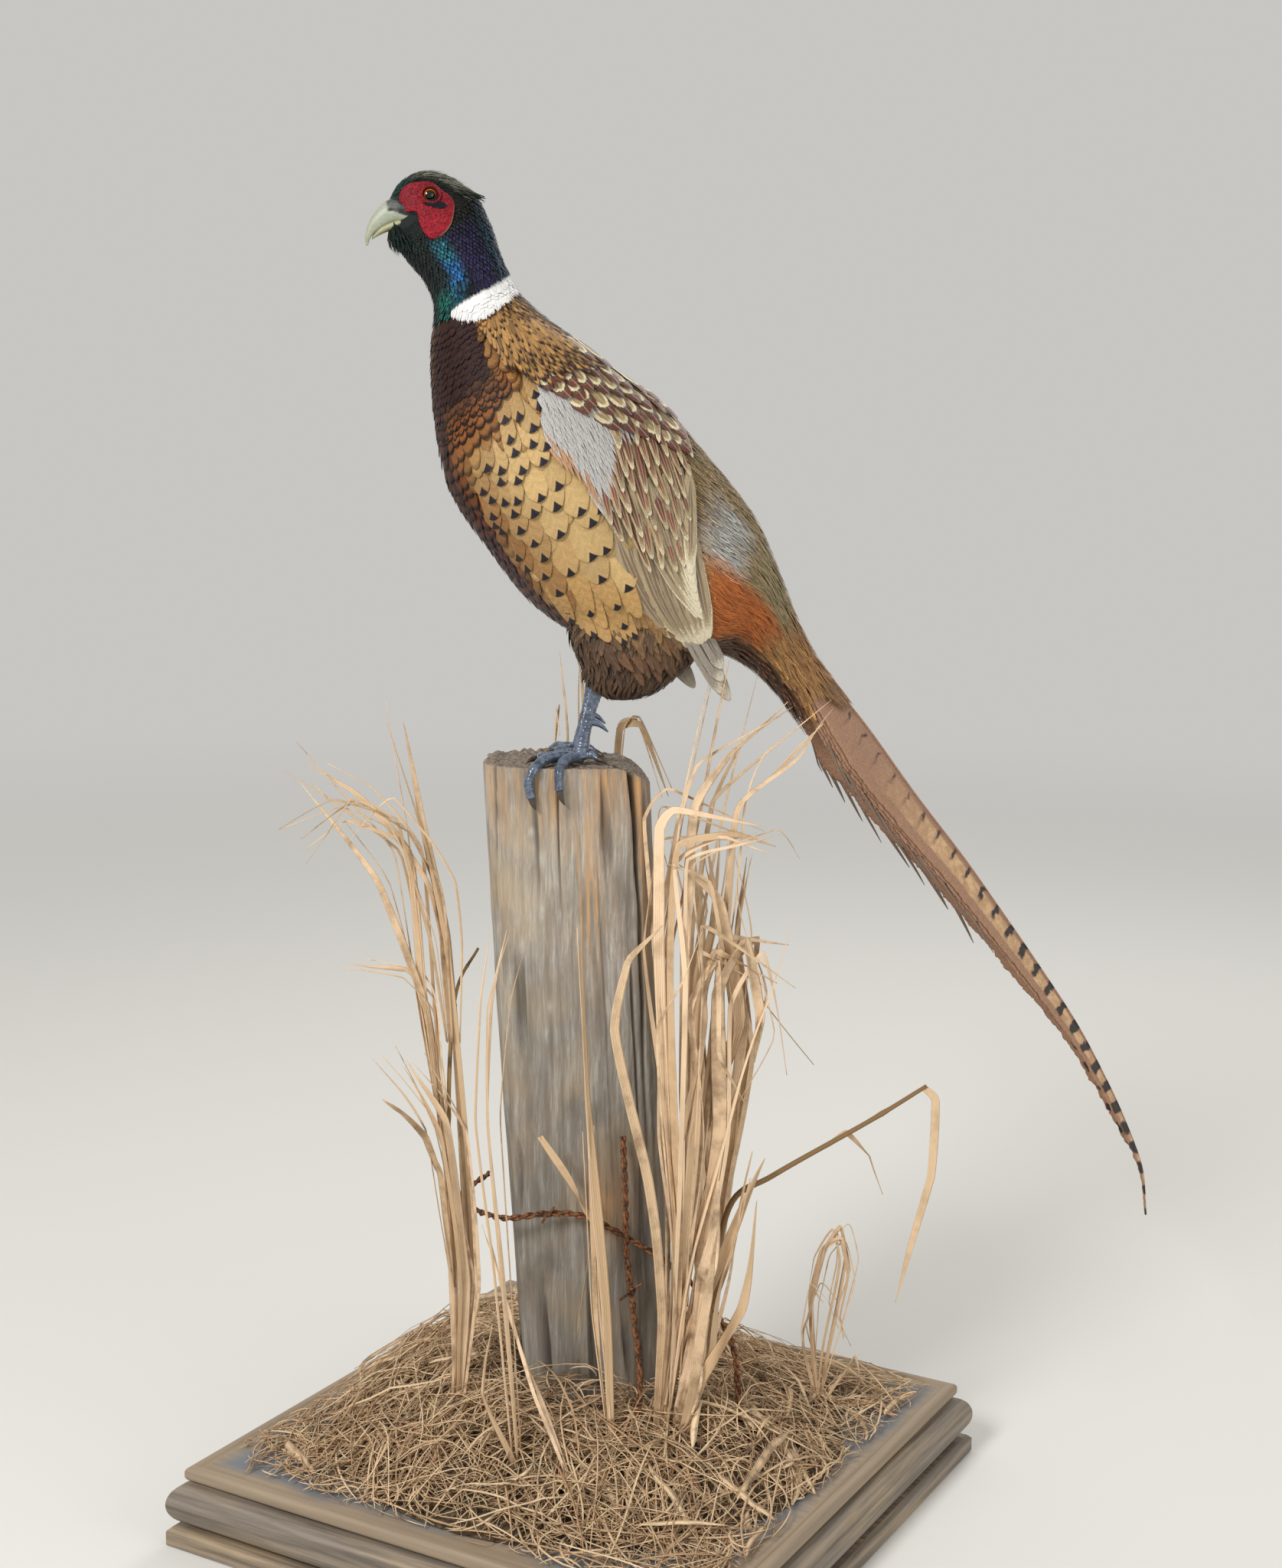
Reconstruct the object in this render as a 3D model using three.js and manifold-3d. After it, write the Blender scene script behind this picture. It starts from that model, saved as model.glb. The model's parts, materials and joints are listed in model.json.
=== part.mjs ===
// A mounted ring-necked pheasant cock, life size, standing on a weathered fence post that is set in a
// square moulded base with dried grass and rusty wire round it. Millimetres, +Z up. The origin is the
// middle of the base's underside, and the base's sides lie along X and Y.
import * as THREE from "three";
import { mergeVertices } from "three/addons/utils/BufferGeometryUtils.js";
import Module from "manifold-3d";

const GAP = 0.35; // left between touching pieces

// base
const BASE_SIDE = 402;
const BOARD_SIDE = 384;
const PLINTH_TOP = 13;
const MOULDING_TOP = 42.7;
const BOARD_TOP = 53;
const BOARD_RECESS = 1.2;

// post and ground
const FRONT_TURN = THREE.MathUtils.degToRad(31); // the post's flat face against the base's sides
const POST_TOP = 511;
const POST_TOP_ACROSS = -18.2;
const POST_FOOT_ACROSS = 7;
const POST_WIDTH = 106;
const POST_FOOT_WIDTH = 98;
const POST_DEPTH = 88;
const MOUND_RADIUS = 172;
const MOUND_HEIGHT = 38;

// bird
const BIRD_TURN = THREE.MathUtils.degToRad(45); // the tail points to the base's +X+Y corner
const BIRD_AT = new THREE.Vector3(-15.6, -9.4, 0);
const EYE_RADIUS = 5.6;
const EYE_AT = [-91.5, 862.5];
const EYE_STANDS_OUT = 1.5;
const WATTLE_THICK = 1.3;
const WING_THICK = 4.5;
const PRIMARIES_THICK = 2.2;
const FEATHER_THICK = 1.2;
const TAIL_ROOF = THREE.MathUtils.degToRad(52); // slope of each half of the folded tail

const COLOURS = {
  base_wood: [0x9a8870, 0.7],
  board_paint: [0x6f7276, 0.8],
  post_wood: [0x8d8578, 0.9],
  earth: [0x6d5a40, 0.95],
  straw: [0xc9ac78, 0.85],
  wire: [0x4a3527, 0.7],
  dark_plumage: [0x16302f, 0.5],
  body_plumage: [0x8f6332, 0.75],
  wing_plumage: [0xa89b86, 0.75],
  tail_plumage: [0x8c735a, 0.75],
  leg_scales: [0x58626e, 0.4],
  claw: [0x2b2926, 0.4],
  bill: [0xc9c4a8, 0.4],
  wattle: [0xa3202b, 0.6],
  eye_glass: [0xc97a1f, 0.08],
};

const wasm = await Module();
wasm.setup();

// ---- solids ----

function solid(geometry) {
  const bare = geometry.clone();
  bare.deleteAttribute("normal");
  bare.deleteAttribute("uv");
  const merged = mergeVertices(bare, 1e-3);
  return new wasm.Manifold(
    new wasm.Mesh({
      numProp: 3,
      vertProperties: new Float32Array(merged.attributes.position.array),
      triVerts: new Uint32Array(merged.index.array),
    }),
  );
}

function geometryOf(manifold) {
  const mesh = manifold.getMesh();
  const geometry = new THREE.BufferGeometry();
  geometry.setAttribute("position", new THREE.BufferAttribute(new Float32Array(mesh.vertProperties), 3));
  geometry.setIndex(new THREE.BufferAttribute(new Uint32Array(mesh.triVerts), 1));
  return geometry;
}

function join(...pieces) {
  return geometryOf(pieces.map(solid).reduce((sum, piece) => sum.add(piece)));
}

function cut(piece, ...tools) {
  return geometryOf(tools.map(solid).reduce((rest, tool) => rest.subtract(tool), solid(piece)));
}

function common(piece, tool) {
  return geometryOf(solid(piece).intersect(solid(tool)));
}

function signedVolume(points, index) {
  let sum = 0;
  for (let i = 0; i < index.length; i += 3) {
    const [a, b, c] = [points[index[i]], points[index[i + 1]], points[index[i + 2]]];
    sum += a.dot(b.clone().cross(c));
  }
  return sum / 6;
}

// A closed skin over a row of rings with equal numbers of points, with a fan on each end.
function loft(rings) {
  const around = rings[0].length;
  const points = rings.flat();
  const index = [];
  for (let k = 0; k + 1 < rings.length; k++) {
    for (let j = 0; j < around; j++) {
      const [a, b] = [k * around + j, k * around + ((j + 1) % around)];
      index.push(a, b, b + around, a, b + around, a + around);
    }
  }
  for (const [first, step] of [[0, -1], [(rings.length - 1) * around, 1]]) {
    const ring = points.slice(first, first + around);
    const middle = ring.reduce((sum, p) => sum.add(p), new THREE.Vector3()).divideScalar(around);
    points.push(middle);
    for (let j = 0; j < around; j++) {
      const edge = [first + j, first + ((j + 1) % around)];
      index.push(...(step < 0 ? edge.reverse() : edge), points.length - 1);
    }
  }
  if (signedVolume(points, index) < 0) {
    index.reverse();
  }
  return new THREE.BufferGeometry().setFromPoints(points).setIndex(index);
}

function mirrored(geometry) {
  const copy = geometry.clone().applyMatrix4(new THREE.Matrix4().makeScale(1, -1, 1));
  copy.setIndex([...copy.index.array].reverse());
  return copy;
}

// A round rod along a smooth line, its radius a function of the share of the length.
function rod(points, radius, sides = 6, steps = 6) {
  const line = new THREE.CatmullRomCurve3(points.map((p) => new THREE.Vector3(...p)));
  const frames = line.computeFrenetFrames(steps, false);
  const rings = Array.from({ length: steps + 1 }, (_, k) => {
    const middle = line.getPointAt(k / steps);
    return Array.from({ length: sides }, (_, j) => {
      const angle = (2 * Math.PI * j) / sides;
      return middle
        .clone()
        .addScaledVector(frames.normals[k], radius(k / steps) * Math.cos(angle))
        .addScaledVector(frames.binormals[k], radius(k / steps) * Math.sin(angle));
    });
  });
  return loft(rings);
}

// A dry leaf: a flat strip along a smooth line, widest before the middle, with its face to the front.
function leaf(points, width, thick = 1) {
  const steps = points.length - 1;
  const line = new THREE.CatmullRomCurve3(points.map((p) => new THREE.Vector3(...p)));
  const face = new THREE.Vector3(0.25, -1, 0.1).normalize();
  const rings = Array.from({ length: steps + 1 }, (_, k) => {
    const share = k / steps;
    const middle = line.getPoint(share);
    const side = line.getTangent(share).cross(face).normalize();
    const across = side.clone().cross(line.getTangent(share)).normalize();
    const half = width * (0.18 + 0.32 * Math.sin(Math.PI * Math.min(1, 0.15 + 0.85 * share)));
    const corners = [[-half, -thick / 2], [half, -thick / 2], [half, thick / 2], [-half, thick / 2]];
    return corners.map(([s, a]) => middle.clone().addScaledVector(side, s).addScaledVector(across, a));
  });
  return loft(rings);
}

// A turned profile on four corners gives a square slab with mitred, moulded edges.
function squareTurned(profile) {
  const points = profile.map(([half, z]) => new THREE.Vector2(half * Math.SQRT2, z));
  return new THREE.LatheGeometry(points, 4, Math.PI / 4).rotateX(Math.PI / 2);
}

function arc(across, up, radius, from, to, steps) {
  return Array.from({ length: steps + 1 }, (_, k) => {
    const angle = from + ((to - from) * k) / steps;
    return [across + radius * Math.cos(angle), up + radius * Math.sin(angle)];
  });
}

function add(group, name, geometry, finish) {
  const [colour, roughness] = COLOURS[finish];
  const material = new THREE.MeshStandardMaterial({ color: colour, roughness, metalness: 0 });
  const mesh = new THREE.Mesh(geometry, material);
  mesh.name = name;
  group.add(mesh);
}

const mount = new THREE.Group();

// ---- base: a chamfered plinth, a half-round moulding and a board with a beaded lip ----

const half = BASE_SIDE / 2;
const plinth = [[0, 0], [half, 0], [half, PLINTH_TOP - 3], [half - 3, PLINTH_TOP], [0, PLINTH_TOP]];
add(mount, "base_plinth", squareTurned(plinth), "base_wood");

const roundFrom = PLINTH_TOP + GAP;
const roundRadius = (MOULDING_TOP - roundFrom) / 2;
const moulding = [
  [0, roundFrom],
  ...arc(half - roundRadius, roundFrom + roundRadius, roundRadius, -Math.PI / 2, Math.PI / 2, 8),
  [0, MOULDING_TOP],
];
add(mount, "base_moulding", squareTurned(moulding), "base_wood");

const boardHalf = BOARD_SIDE / 2;
const boardFrom = MOULDING_TOP + GAP;
const board = [
  [0, boardFrom],
  [boardHalf - 3, boardFrom],
  ...arc(boardHalf - 4, BOARD_TOP - 4, 4, -Math.PI / 3, Math.PI / 2, 6),
  [boardHalf - 8, BOARD_TOP - 0.6],
  [boardHalf - 9, BOARD_TOP - BOARD_RECESS],
  [0, BOARD_TOP - BOARD_RECESS],
];
add(mount, "base_board", squareTurned(board), "board_paint");

// ---- post: a split, weathered length of timber, leaning a little ----

const front = new THREE.Group();
front.rotation.z = FRONT_TURN;
mount.add(front);

const GROUND = BOARD_TOP - BOARD_RECESS + GAP;
const POST_SIDES = 24;
const CRACK_SIDE = 20; // the split that runs down from the top, to the right of the front

function postRing(share, grow) {
  const across = THREE.MathUtils.lerp(POST_FOOT_ACROSS, POST_TOP_ACROSS, share);
  const a = THREE.MathUtils.lerp(POST_FOOT_WIDTH, POST_WIDTH, Math.min(1, share * 2)) / 2;
  const b = POST_DEPTH / 2;
  return Array.from({ length: POST_SIDES }, (_, j) => {
    const angle = (2 * Math.PI * j) / POST_SIDES;
    const [c, s] = [Math.cos(angle), Math.sin(angle)];
    const block = 1 / ((Math.abs(c) / a) ** 3.4 + (Math.abs(s) / b) ** 3.4) ** (1 / 3.4);
    const rough = 1.1 * Math.sin(5 * angle + 3 * share) + 0.7 * Math.sin(9 * angle - 5 * share);
    const split = j === CRACK_SIDE && share > 0.4 ? 3 : 0;
    const radius = block + rough - split + grow;
    const [x, y] = [across + radius * c, radius * s];
    const shoulder = Math.max(0, radius * c - 30) ** 2 / 45;
    const top = POST_TOP - 0.02 * y - shoulder + (radius * c < -40 ? 2 : 0);
    return new THREE.Vector3(x, y, THREE.MathUtils.lerp(GROUND - grow, top + grow, share));
  });
}

function postSolid(grow = 0) {
  const shares = [0, 0.35, 0.65, 0.95, 1];
  return loft(shares.map((share) => postRing(share, grow)));
}

add(front, "post", postSolid(), "post_wood");

// ---- ground: a low dome of earth and matted straw round the post ----

function moundSolid(lift = 0) {
  const dome = Array.from({ length: 6 }, (_, k) => {
    const radius = (MOUND_RADIUS * (5 - k)) / 5;
    const height = 0.8 + MOUND_HEIGHT * (1 - (radius / MOUND_RADIUS) ** 2);
    return [radius, GROUND + lift + height];
  });
  const outline = [[0, GROUND + lift], [MOUND_RADIUS, GROUND + lift], ...dome];
  const profile = outline.map(([radius, z]) => new THREE.Vector2(radius, z));
  return new THREE.LatheGeometry(profile, 16).rotateX(Math.PI / 2);
}

add(front, "ground_mound", cut(moundSolid(), postSolid(GAP)), "earth");

// ---- grass: bunches of dry leaves and stems, each grown together at its root ----

const groundTool = moundSolid(GAP);
const postTool = postSolid(GAP);

function rootAt([x, y, z]) {
  return rod([[x, y, GROUND + 1], [x, y, z - 2], [x, y, z + 18]], (t) => 7 - 4 * t, 5, 2);
}

function bunch(name, root, leaves) {
  const blades = leaves.map(([width, points]) => leaf(points, width));
  add(front, name, cut(join(rootAt(root), ...blades), groundTool, postTool), "straw");
}

const LEFT_ROOT = [-87, -45, 76];
bunch("grass_left", LEFT_ROOT, [
  [7, [LEFT_ROOT, [-90, -41, 167], [-94, -37, 241], [-108, -29, 349], [-141, -22, 435], [-192, -10, 496]]],
  [8, [LEFT_ROOT, [-80, -37, 166], [-87, -34, 266], [-97, -28, 395], [-113, -21, 471], [-124, -15, 537]]],
  [6, [[-97, -28, 395], [-107, -28, 437], [-119, -32, 468], [-154, -38, 489], [-185, -45, 467]]],
  [6, [[-108, -29, 349], [-122, -18, 450], [-158, -2, 486], [-192, 15, 505]]],
  [7, [[-90, -41, 167], [-93, -55, 247], [-105, -60, 275], [-122, -65, 292], [-136, -70, 303]]],
  [5, [[-94, -37, 241], [-103, -28, 349], [-121, -25, 374], [-160, -20, 380]]],
  [4, [[-94, -37, 241], [-93, -28, 317], [-89, -15, 361], [-76, -2, 385]]],
  [6, [LEFT_ROOT, [-80, -44, 170], [-96, -46, 280], [-122, -38, 323]]],
]);

const RIGHT_ROOT = [42, -82, 72];
bunch("grass_right", RIGHT_ROOT, [
  [12, [RIGHT_ROOT, [49, -77, 102], [64, -66, 199], [88, -56, 300], [110, -45, 365], [102, -40, 400]]],
  [9, [[49, -77, 102], [56, -68, 198], [50, -60, 284], [46, -54, 376], [71, -34, 490], [89, -20, 579]]],
  [7, [[64, -66, 199], [58, -55, 300], [58, -50, 398], [64, -40, 484], [86, -22, 519], [124, -10, 552]]],
  [7, [[64, -66, 199], [84, -39, 399], [93, -32, 485], [121, -26, 515], [146, -20, 537]]],
  [8, [[56, -68, 198], [48, -64, 298], [42, -58, 402], [40, -57, 476], [50, -56, 488], [104, -60, 477]]],
  [13, [RIGHT_ROOT, [44, -84, 160], [34, -82, 254], [16, -78, 350], [22, -70, 395], [43, -60, 414]]],
  [9, [[49, -77, 102], [71, -48, 271], [93, -45, 349], [79, -46, 426], [54, -50, 450]]],
  [8, [[64, -66, 199], [91, -47, 303], [98, -40, 348], [85, -36, 398], [72, -30, 467]]],
]);

bunch("grass_right_back", [80, 20, 74], [
  [9, [[80, 20, 74], [78, 10, 200], [66, 8, 330], [72, 4, 400], [64, -2, 462]]],
  [7, [[80, 20, 74], [92, 16, 220], [102, 12, 320], [94, 8, 390], [98, 6, 448]]],
]);

const STEM_FOOT = [72, -34, 76];
bunch("grass_bent_stem", STEM_FOOT, [
  [4, [STEM_FOOT, [80, -32, 150], [91, -30, 218], [182, -30, 277], [219, -30, 301]]],
  [4, [[217, -30, 300], [225, -30, 292], [224, -30, 240], [211, -30, 186], [203, -30, 151]]],
]);

bunch("grass_small_right", [157, 5, 60], [
  [8, [[157, 5, 60], [156, 5, 105], [162, 5, 142], [172, 5, 172], [175, 5, 204]]],
  [6, [[156, 5, 100], [150, 8, 140], [158, 10, 170], [171, 12, 186]]],
]);

bunch("grass_front", [14, -101, 78], [
  [4, [[14, -101, 78], [10, -84, 153], [4, -72, 228], [-2, -62, 302], [-6, -55, 417]]],
  [4, [[14, -101, 78], [3, -80, 171], [-3, -60, 282]]],
]);

bunch("grass_front_left", [-45, -112, 74], [
  [4, [[-45, -112, 74], [-56, -98, 200], [-66, -86, 293], [-63, -74, 366], [-54, -62, 410]]],
  [9, [[-45, -112, 74], [-66, -114, 125], [-62, -108, 169]]],
]);

bunch("grass_behind_post", [-14, 62, 74], [
  [9, [[-14, 62, 74], [-20, 62, 200], [-22, 60, 400], [-20, 56, 520], [-24, 54, 578]]],
  [7, [[-14, 62, 74], [-4, 64, 220], [0, 62, 400], [-4, 60, 500], [-11, 58, 567]]],
  [7, [[-14, 62, 74], [6, 62, 240], [12, 60, 420], [16, 54, 525], [30, 48, 528], [50, 47, 480]]],
]);

// ---- fence wire: one rusty strand across the front of the post, one hanging down it ----

const WIRE_RADIUS = 1.6;

// A barb: two short crossed points of wire, thickest where they are wound on the strand.
function barb([x, y, z]) {
  const thickness = (t) => 0.6 + 1.6 * t * (1 - t);
  return [[6, 3], [3, 6]].map(([across, up]) => {
    const [start, end] = [[x - across, y - 2, z + up], [x + across, y - 2, z - up]];
    return rod([start, [x, y - 1, z], end], thickness, 3, 2);
  });
}

function fenceWire(name, points, twists) {
  const strand = rod(points, () => WIRE_RADIUS, 5, Math.round(1.3 * points.length));
  add(front, name, cut(join(strand, ...twists.flatMap(barb)), groundTool, postTool), "wire");
}

const strandAcross = [
  [-70, 24, 222], [-88, 4, 214], [-80, -20, 213], [-56, -53, 218], [-28, -52, 221], [-5, -52, 219],
  [23, -52, 205], [50, -54, 188], [72, -46, 165], [92, -52, 135], [97, -58, 100], [94, -62, 74],
];
fenceWire("fence_wire_across", strandAcross, [[-28, -52, 221]]);
const strandDown = [
  [20, -50, 272], [22, -56, 230], [23, -56, 196], [28, -64, 157], [32, -76, 118], [30, -92, 76],
];
fenceWire("fence_wire_down", strandDown, [[25, -59, 176]]);

// ---- bird: one smooth body through these stations, parted by thin cuts ----
// Each row is a cut across the bird: its lower point, its upper point and its half width. x runs from
// the bill (-) to the tail (+) and z is the height.

const bird = new THREE.Group();
bird.position.copy(BIRD_AT);
bird.rotation.z = BIRD_TURN;
mount.add(bird);

const STATIONS = [
  { name: "tail root", low: [144, 551], high: [170, 576], half: 20 },
  { name: "under-tail", low: [121, 571], high: [154, 603], half: 28 },
  { name: "rump", low: [95, 580], high: [138, 638], half: 41 },
  { name: "vent", low: [66, 572], high: [120, 672], half: 54 },
  { name: "belly", low: [20, 586], high: [86, 711], half: 61 },
  { name: "flank", low: [-20, 610], high: [59.5, 739], half: 63 },
  { name: "breast", low: [-50, 646], high: [32, 756.5], half: 62 },
  { name: "crop", low: [-76, 684], high: [2, 779], half: 56 },
  { name: "shoulder", low: [-86, 733], high: [-19.5, 794], half: 46 },
  { name: "neck root", low: [-88, 770], high: [-33.5, 806.5], half: 34 },
  { name: "collar", low: [-86, 797], high: [-40, 817], half: 26 },
  { name: "lower neck", low: [-92, 812], high: [-46, 832], half: 22.5 },
  { name: "upper neck", low: [-100, 821], high: [-51.5, 848], half: 19.5 },
  { name: "throat", low: [-107, 829], high: [-60, 864], half: 18 },
  { name: "cheek", low: [-112, 834], high: [-76, 875], half: 17.5 },
  { name: "eye", low: [-114, 839], high: [-93, 878.5], half: 15.5 },
  { name: "brow", low: [-114.5, 842], high: [-107, 872], half: 11.5 },
  { name: "bill root", low: [-115, 844], high: [-114.5, 861], half: 8 },
];
const AROUND = 16;

const lowLine = new THREE.CatmullRomCurve3(
  STATIONS.map(({ low }) => new THREE.Vector3(low[0], 0, low[1])), false, "catmullrom", 0.5);
const highLine = new THREE.CatmullRomCurve3(
  STATIONS.map(({ high }) => new THREE.Vector3(high[0], 0, high[1])), false, "catmullrom", 0.5);
const halfLine = new THREE.CatmullRomCurve3(
  STATIONS.map(({ half: b }, k) => new THREE.Vector3(b, k, 0)), false, "catmullrom", 0.5);

// The ring at station s: a full oval, a little wider below than above, swollen by grow.
function bodyRing(s, grow) {
  const t = s / (STATIONS.length - 1);
  const [low, high] = [lowLine.getPoint(t), highLine.getPoint(t)];
  const up = high.clone().sub(low);
  const tall = up.length() / 2 + grow;
  up.normalize();
  const wide = halfLine.getPoint(t).x + grow;
  const middle = low.clone().add(high).multiplyScalar(0.5);
  return Array.from({ length: AROUND }, (_, j) => {
    const angle = (2 * Math.PI * j) / AROUND;
    const [c, n] = [Math.cos(angle), Math.sin(angle)];
    const side = new THREE.Vector3(0, wide * Math.sign(n) * Math.abs(n) ** 0.85 * (1 + 0.1 * c), 0);
    return middle.clone().addScaledVector(up, -tall * c).add(side);
  });
}

function bodySolid(from, to, grow = 0, perStation = 1.5) {
  const steps = Math.round((to - from) * perStation);
  return loft(Array.from({ length: steps + 1 }, (_, k) => bodyRing(from + ((to - from) * k) / steps, grow)));
}

const TRUNK = [0, 9.985];
const NECK = [10.015, 12.985];
const HEAD = [13.015, 17];
const trunk = bodySolid(...TRUNK);
const wholeGrown = (grow) => bodySolid(0, 17, grow);

// A slab that stands on the bird's middle plane and reaches out to its left, cut to an outline.
function leftSlab(outline) {
  const shape = new THREE.Shape(outline.map(([x, z]) => new THREE.Vector2(x, z)));
  return new THREE.ExtrudeGeometry(shape, { depth: 100, bevelEnabled: false }).rotateX(Math.PI / 2);
}

// ---- head: bill in two halves, a glass eye and a wattle on each side, an ear tuft behind each ----

const BILL_UPPER = [
  { low: [-104, 849.5], high: [-110, 858], half: 6.2 },
  { low: [-107, 848.8], high: [-116, 860], half: 6.2 },
  { low: [-112, 847], high: [-121, 854.5], half: 5 },
  { low: [-118.5, 844.5], high: [-125, 849], half: 3.6 },
  { low: [-123.5, 841], high: [-127.8, 842.5], half: 2.3 },
  { low: [-126.3, 837], high: [-129.3, 837], half: 1.2 },
  { low: [-127.8, 833], high: [-128.6, 833], half: 0.4 },
];
const BILL_LOWER = [
  { low: [-106, 845.2], high: [-104.5, 848.8], half: 5.6 },
  { low: [-110, 844], high: [-108, 847.7], half: 5 },
  { low: [-114, 842.7], high: [-112.3, 846.2], half: 4.2 },
  { low: [-118.8, 841], high: [-118.4, 843.7], half: 3 },
  { low: [-123.5, 838.3], high: [-123.3, 840.2], half: 1.7 },
  { low: [-125.8, 836.2], high: [-125.6, 837.2], half: 0.6 },
];

function billSolid(rows, grow = 0) {
  const sides = 8;
  return loft(rows.map(({ low, high, half: b }) => {
    const [a, d] = [new THREE.Vector3(low[0], 0, low[1]), new THREE.Vector3(high[0], 0, high[1])];
    const up = d.clone().sub(a);
    const tall = up.length() / 2 + grow;
    up.normalize();
    const middle = a.add(d).multiplyScalar(0.5);
    return Array.from({ length: sides }, (_, j) => {
      const angle = (2 * Math.PI * j) / sides;
      const out = new THREE.Vector3(0, (b + grow) * Math.sin(angle), 0);
      return middle.clone().addScaledVector(up, -tall * Math.cos(angle)).add(out);
    });
  }));
}

const billUpper = billSolid(BILL_UPPER);
const billLower = cut(billSolid(BILL_LOWER), billSolid(BILL_UPPER, GAP));

const HEAD_HALF_AT_EYE = 16.6;
const eyeOut = HEAD_HALF_AT_EYE - EYE_RADIUS + EYE_STANDS_OUT;
const ball = (radius) => new THREE.SphereGeometry(radius, 9, 6).translate(EYE_AT[0], -eyeOut, EYE_AT[1]);
const eyeLeft = ball(EYE_RADIUS);
const socketLeft = ball(EYE_RADIUS + GAP);
const socketRight = mirrored(socketLeft);

const head = cut(
  bodySolid(...HEAD),
  billSolid(BILL_UPPER, GAP), billSolid(BILL_LOWER, GAP), socketLeft, socketRight,
);
add(bird, "head", head, "dark_plumage");
add(bird, "neck", bodySolid(...NECK), "dark_plumage");
add(bird, "bill_upper", billUpper, "bill");
add(bird, "bill_lower", billLower, "bill");
add(bird, "eye_left", eyeLeft, "eye_glass");
add(bird, "eye_right", mirrored(eyeLeft), "eye_glass");

const WATTLE_OUTLINE = [
  [-109, 855], [-108, 863], [-103, 869], [-94, 870.5], [-86, 866.5], [-79, 860], [-78.5, 851],
  [-82, 842], [-88, 838], [-94, 837], [-99, 842], [-101, 850],
];
const headGrown = (grow) => bodySolid(12.5, 17, grow);
const wattleSlab = common(leftSlab(WATTLE_OUTLINE), headGrown(WATTLE_THICK));
const wattleLeft = cut(wattleSlab, headGrown(GAP), socketLeft, billSolid(BILL_UPPER, GAP));
add(bird, "wattle_left", wattleLeft, "wattle");
add(bird, "wattle_right", mirrored(wattleLeft), "wattle");

const earTuft = rod([[-74, -8, 864], [-64, -11.5, 864.5], [-52.5, -13, 865.5]], (t) => 2.8 - 2.3 * t, 6, 3);
const earTuftLeft = cut(earTuft, headGrown(GAP));
add(bird, "ear_tuft_left", earTuftLeft, "dark_plumage");
add(bird, "ear_tuft_right", mirrored(earTuftLeft), "dark_plumage");

// An outline moved out from its own middle, for a tool that leaves a gap round the piece.
function widened(outline, by) {
  const points = outline.map(([x, z]) => new THREE.Vector2(x, z));
  const sum = points.reduce((total, point) => total.add(point), new THREE.Vector2());
  const middle = sum.divideScalar(points.length);
  return points.map((point) => point.clone().sub(middle).setLength(by).add(point).toArray());
}

// ---- trunk, wings and thighs ----

add(bird, "trunk", trunk, "body_plumage");

const WING_OUTLINE = [
  [-40, 745], [-29, 716], [-10, 696], [8, 672], [20, 634], [48, 603], [72, 580], [80, 590],
  [75, 612], [66, 645], [62, 674], [44, 706], [6, 738], [-24, 756],
];
const wingLeft = cut(common(leftSlab(WING_OUTLINE), wholeGrown(WING_THICK)), wholeGrown(0.5));
add(bird, "wing_left", wingLeft, "wing_plumage");
add(bird, "wing_right", mirrored(wingLeft), "wing_plumage");

// The long flight feathers' ends: a thin plate that comes out from under the end of the folded wing.
const PRIMARIES_AT = [
  { x: 58, z: 612, half: 7, y: -46 },
  { x: 72, z: 592, half: 9, y: -46 },
  { x: 84, z: 573, half: 7.5, y: -43 },
  { x: 92, z: 559, half: 3, y: -41 },
];

function primariesPlate(grow = 0) {
  const thick = PRIMARIES_THICK / 2 + grow;
  return loft(PRIMARIES_AT.map(({ x, z, half: h, y }) => {
    const corners = [[-h - grow, -thick], [h + grow, -thick], [h + grow, thick], [-h - grow, thick]];
    return corners.map(([across, out]) => new THREE.Vector3(x + 0.8 * across, y + out, z + 0.6 * across));
  }));
}

const wingTool = common(leftSlab(widened(WING_OUTLINE, 1)), wholeGrown(WING_THICK + GAP));
const primariesLeft = cut(primariesPlate(), bodySolid(...TRUNK, GAP), wingTool);
add(bird, "primaries_left", primariesLeft, "wing_plumage");
add(bird, "primaries_right", mirrored(primariesLeft), "wing_plumage");

// Each thigh with its long soft feathers: flat ovals one below the other, and a cuff on the shank.
const THIGH_ROWS = [
  { z: 612, x: 42, half: 44, side: 23 },
  { z: 596, x: 42, half: 45, side: 23.5 },
  { z: 584, x: 40, half: 41, side: 23 },
  { z: 572, x: 38.5, half: 34, side: 21.5 },
  { z: 563, x: 35, half: 28, side: 19 },
  { z: 556, x: 32, half: 21, side: 14 },
  { z: 552, x: 31, half: 12, side: 8 },
];
const THIGH_SIDE = 24;
const CUFF_BOTTOM = 556;
const LEFT_SHANK_TOP = 14;
const RIGHT_SHANK_TOP = 23;

// cuffX is where the shank comes out; the whole thigh moves back with it.
function thigh(cuffX) {
  const back = cuffX - LEFT_SHANK_TOP;
  const rings = THIGH_ROWS.map(({ z, x, half: a, side }) =>
    Array.from({ length: 10 }, (_, j) => {
      const angle = (2 * Math.PI * j) / 10;
      return new THREE.Vector3(x + back + a * Math.cos(angle), -THIGH_SIDE + side * Math.sin(angle), z);
    }));
  const line = [
    [cuffX + 7, -THIGH_SIDE, 590], [cuffX + 3, -THIGH_SIDE, 572], [cuffX, -THIGH_SIDE, CUFF_BOTTOM],
  ];
  const cuff = rod(line, (t) => 15 - 8.5 * t, 8, 2);
  return join(loft(rings), cuff);
}

const belowCuff = new THREE.BoxGeometry(60, 40, 40).translate(0, -THIGH_SIDE, CUFF_BOTTOM - 20);

function thighSolid(cuffX) {
  const flatFoot = belowCuff.clone().translate(cuffX - 20, 0, 0);
  return cut(thigh(cuffX), bodySolid(...TRUNK, GAP), flatFoot, wingTool, primariesPlate(GAP));
}

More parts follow.
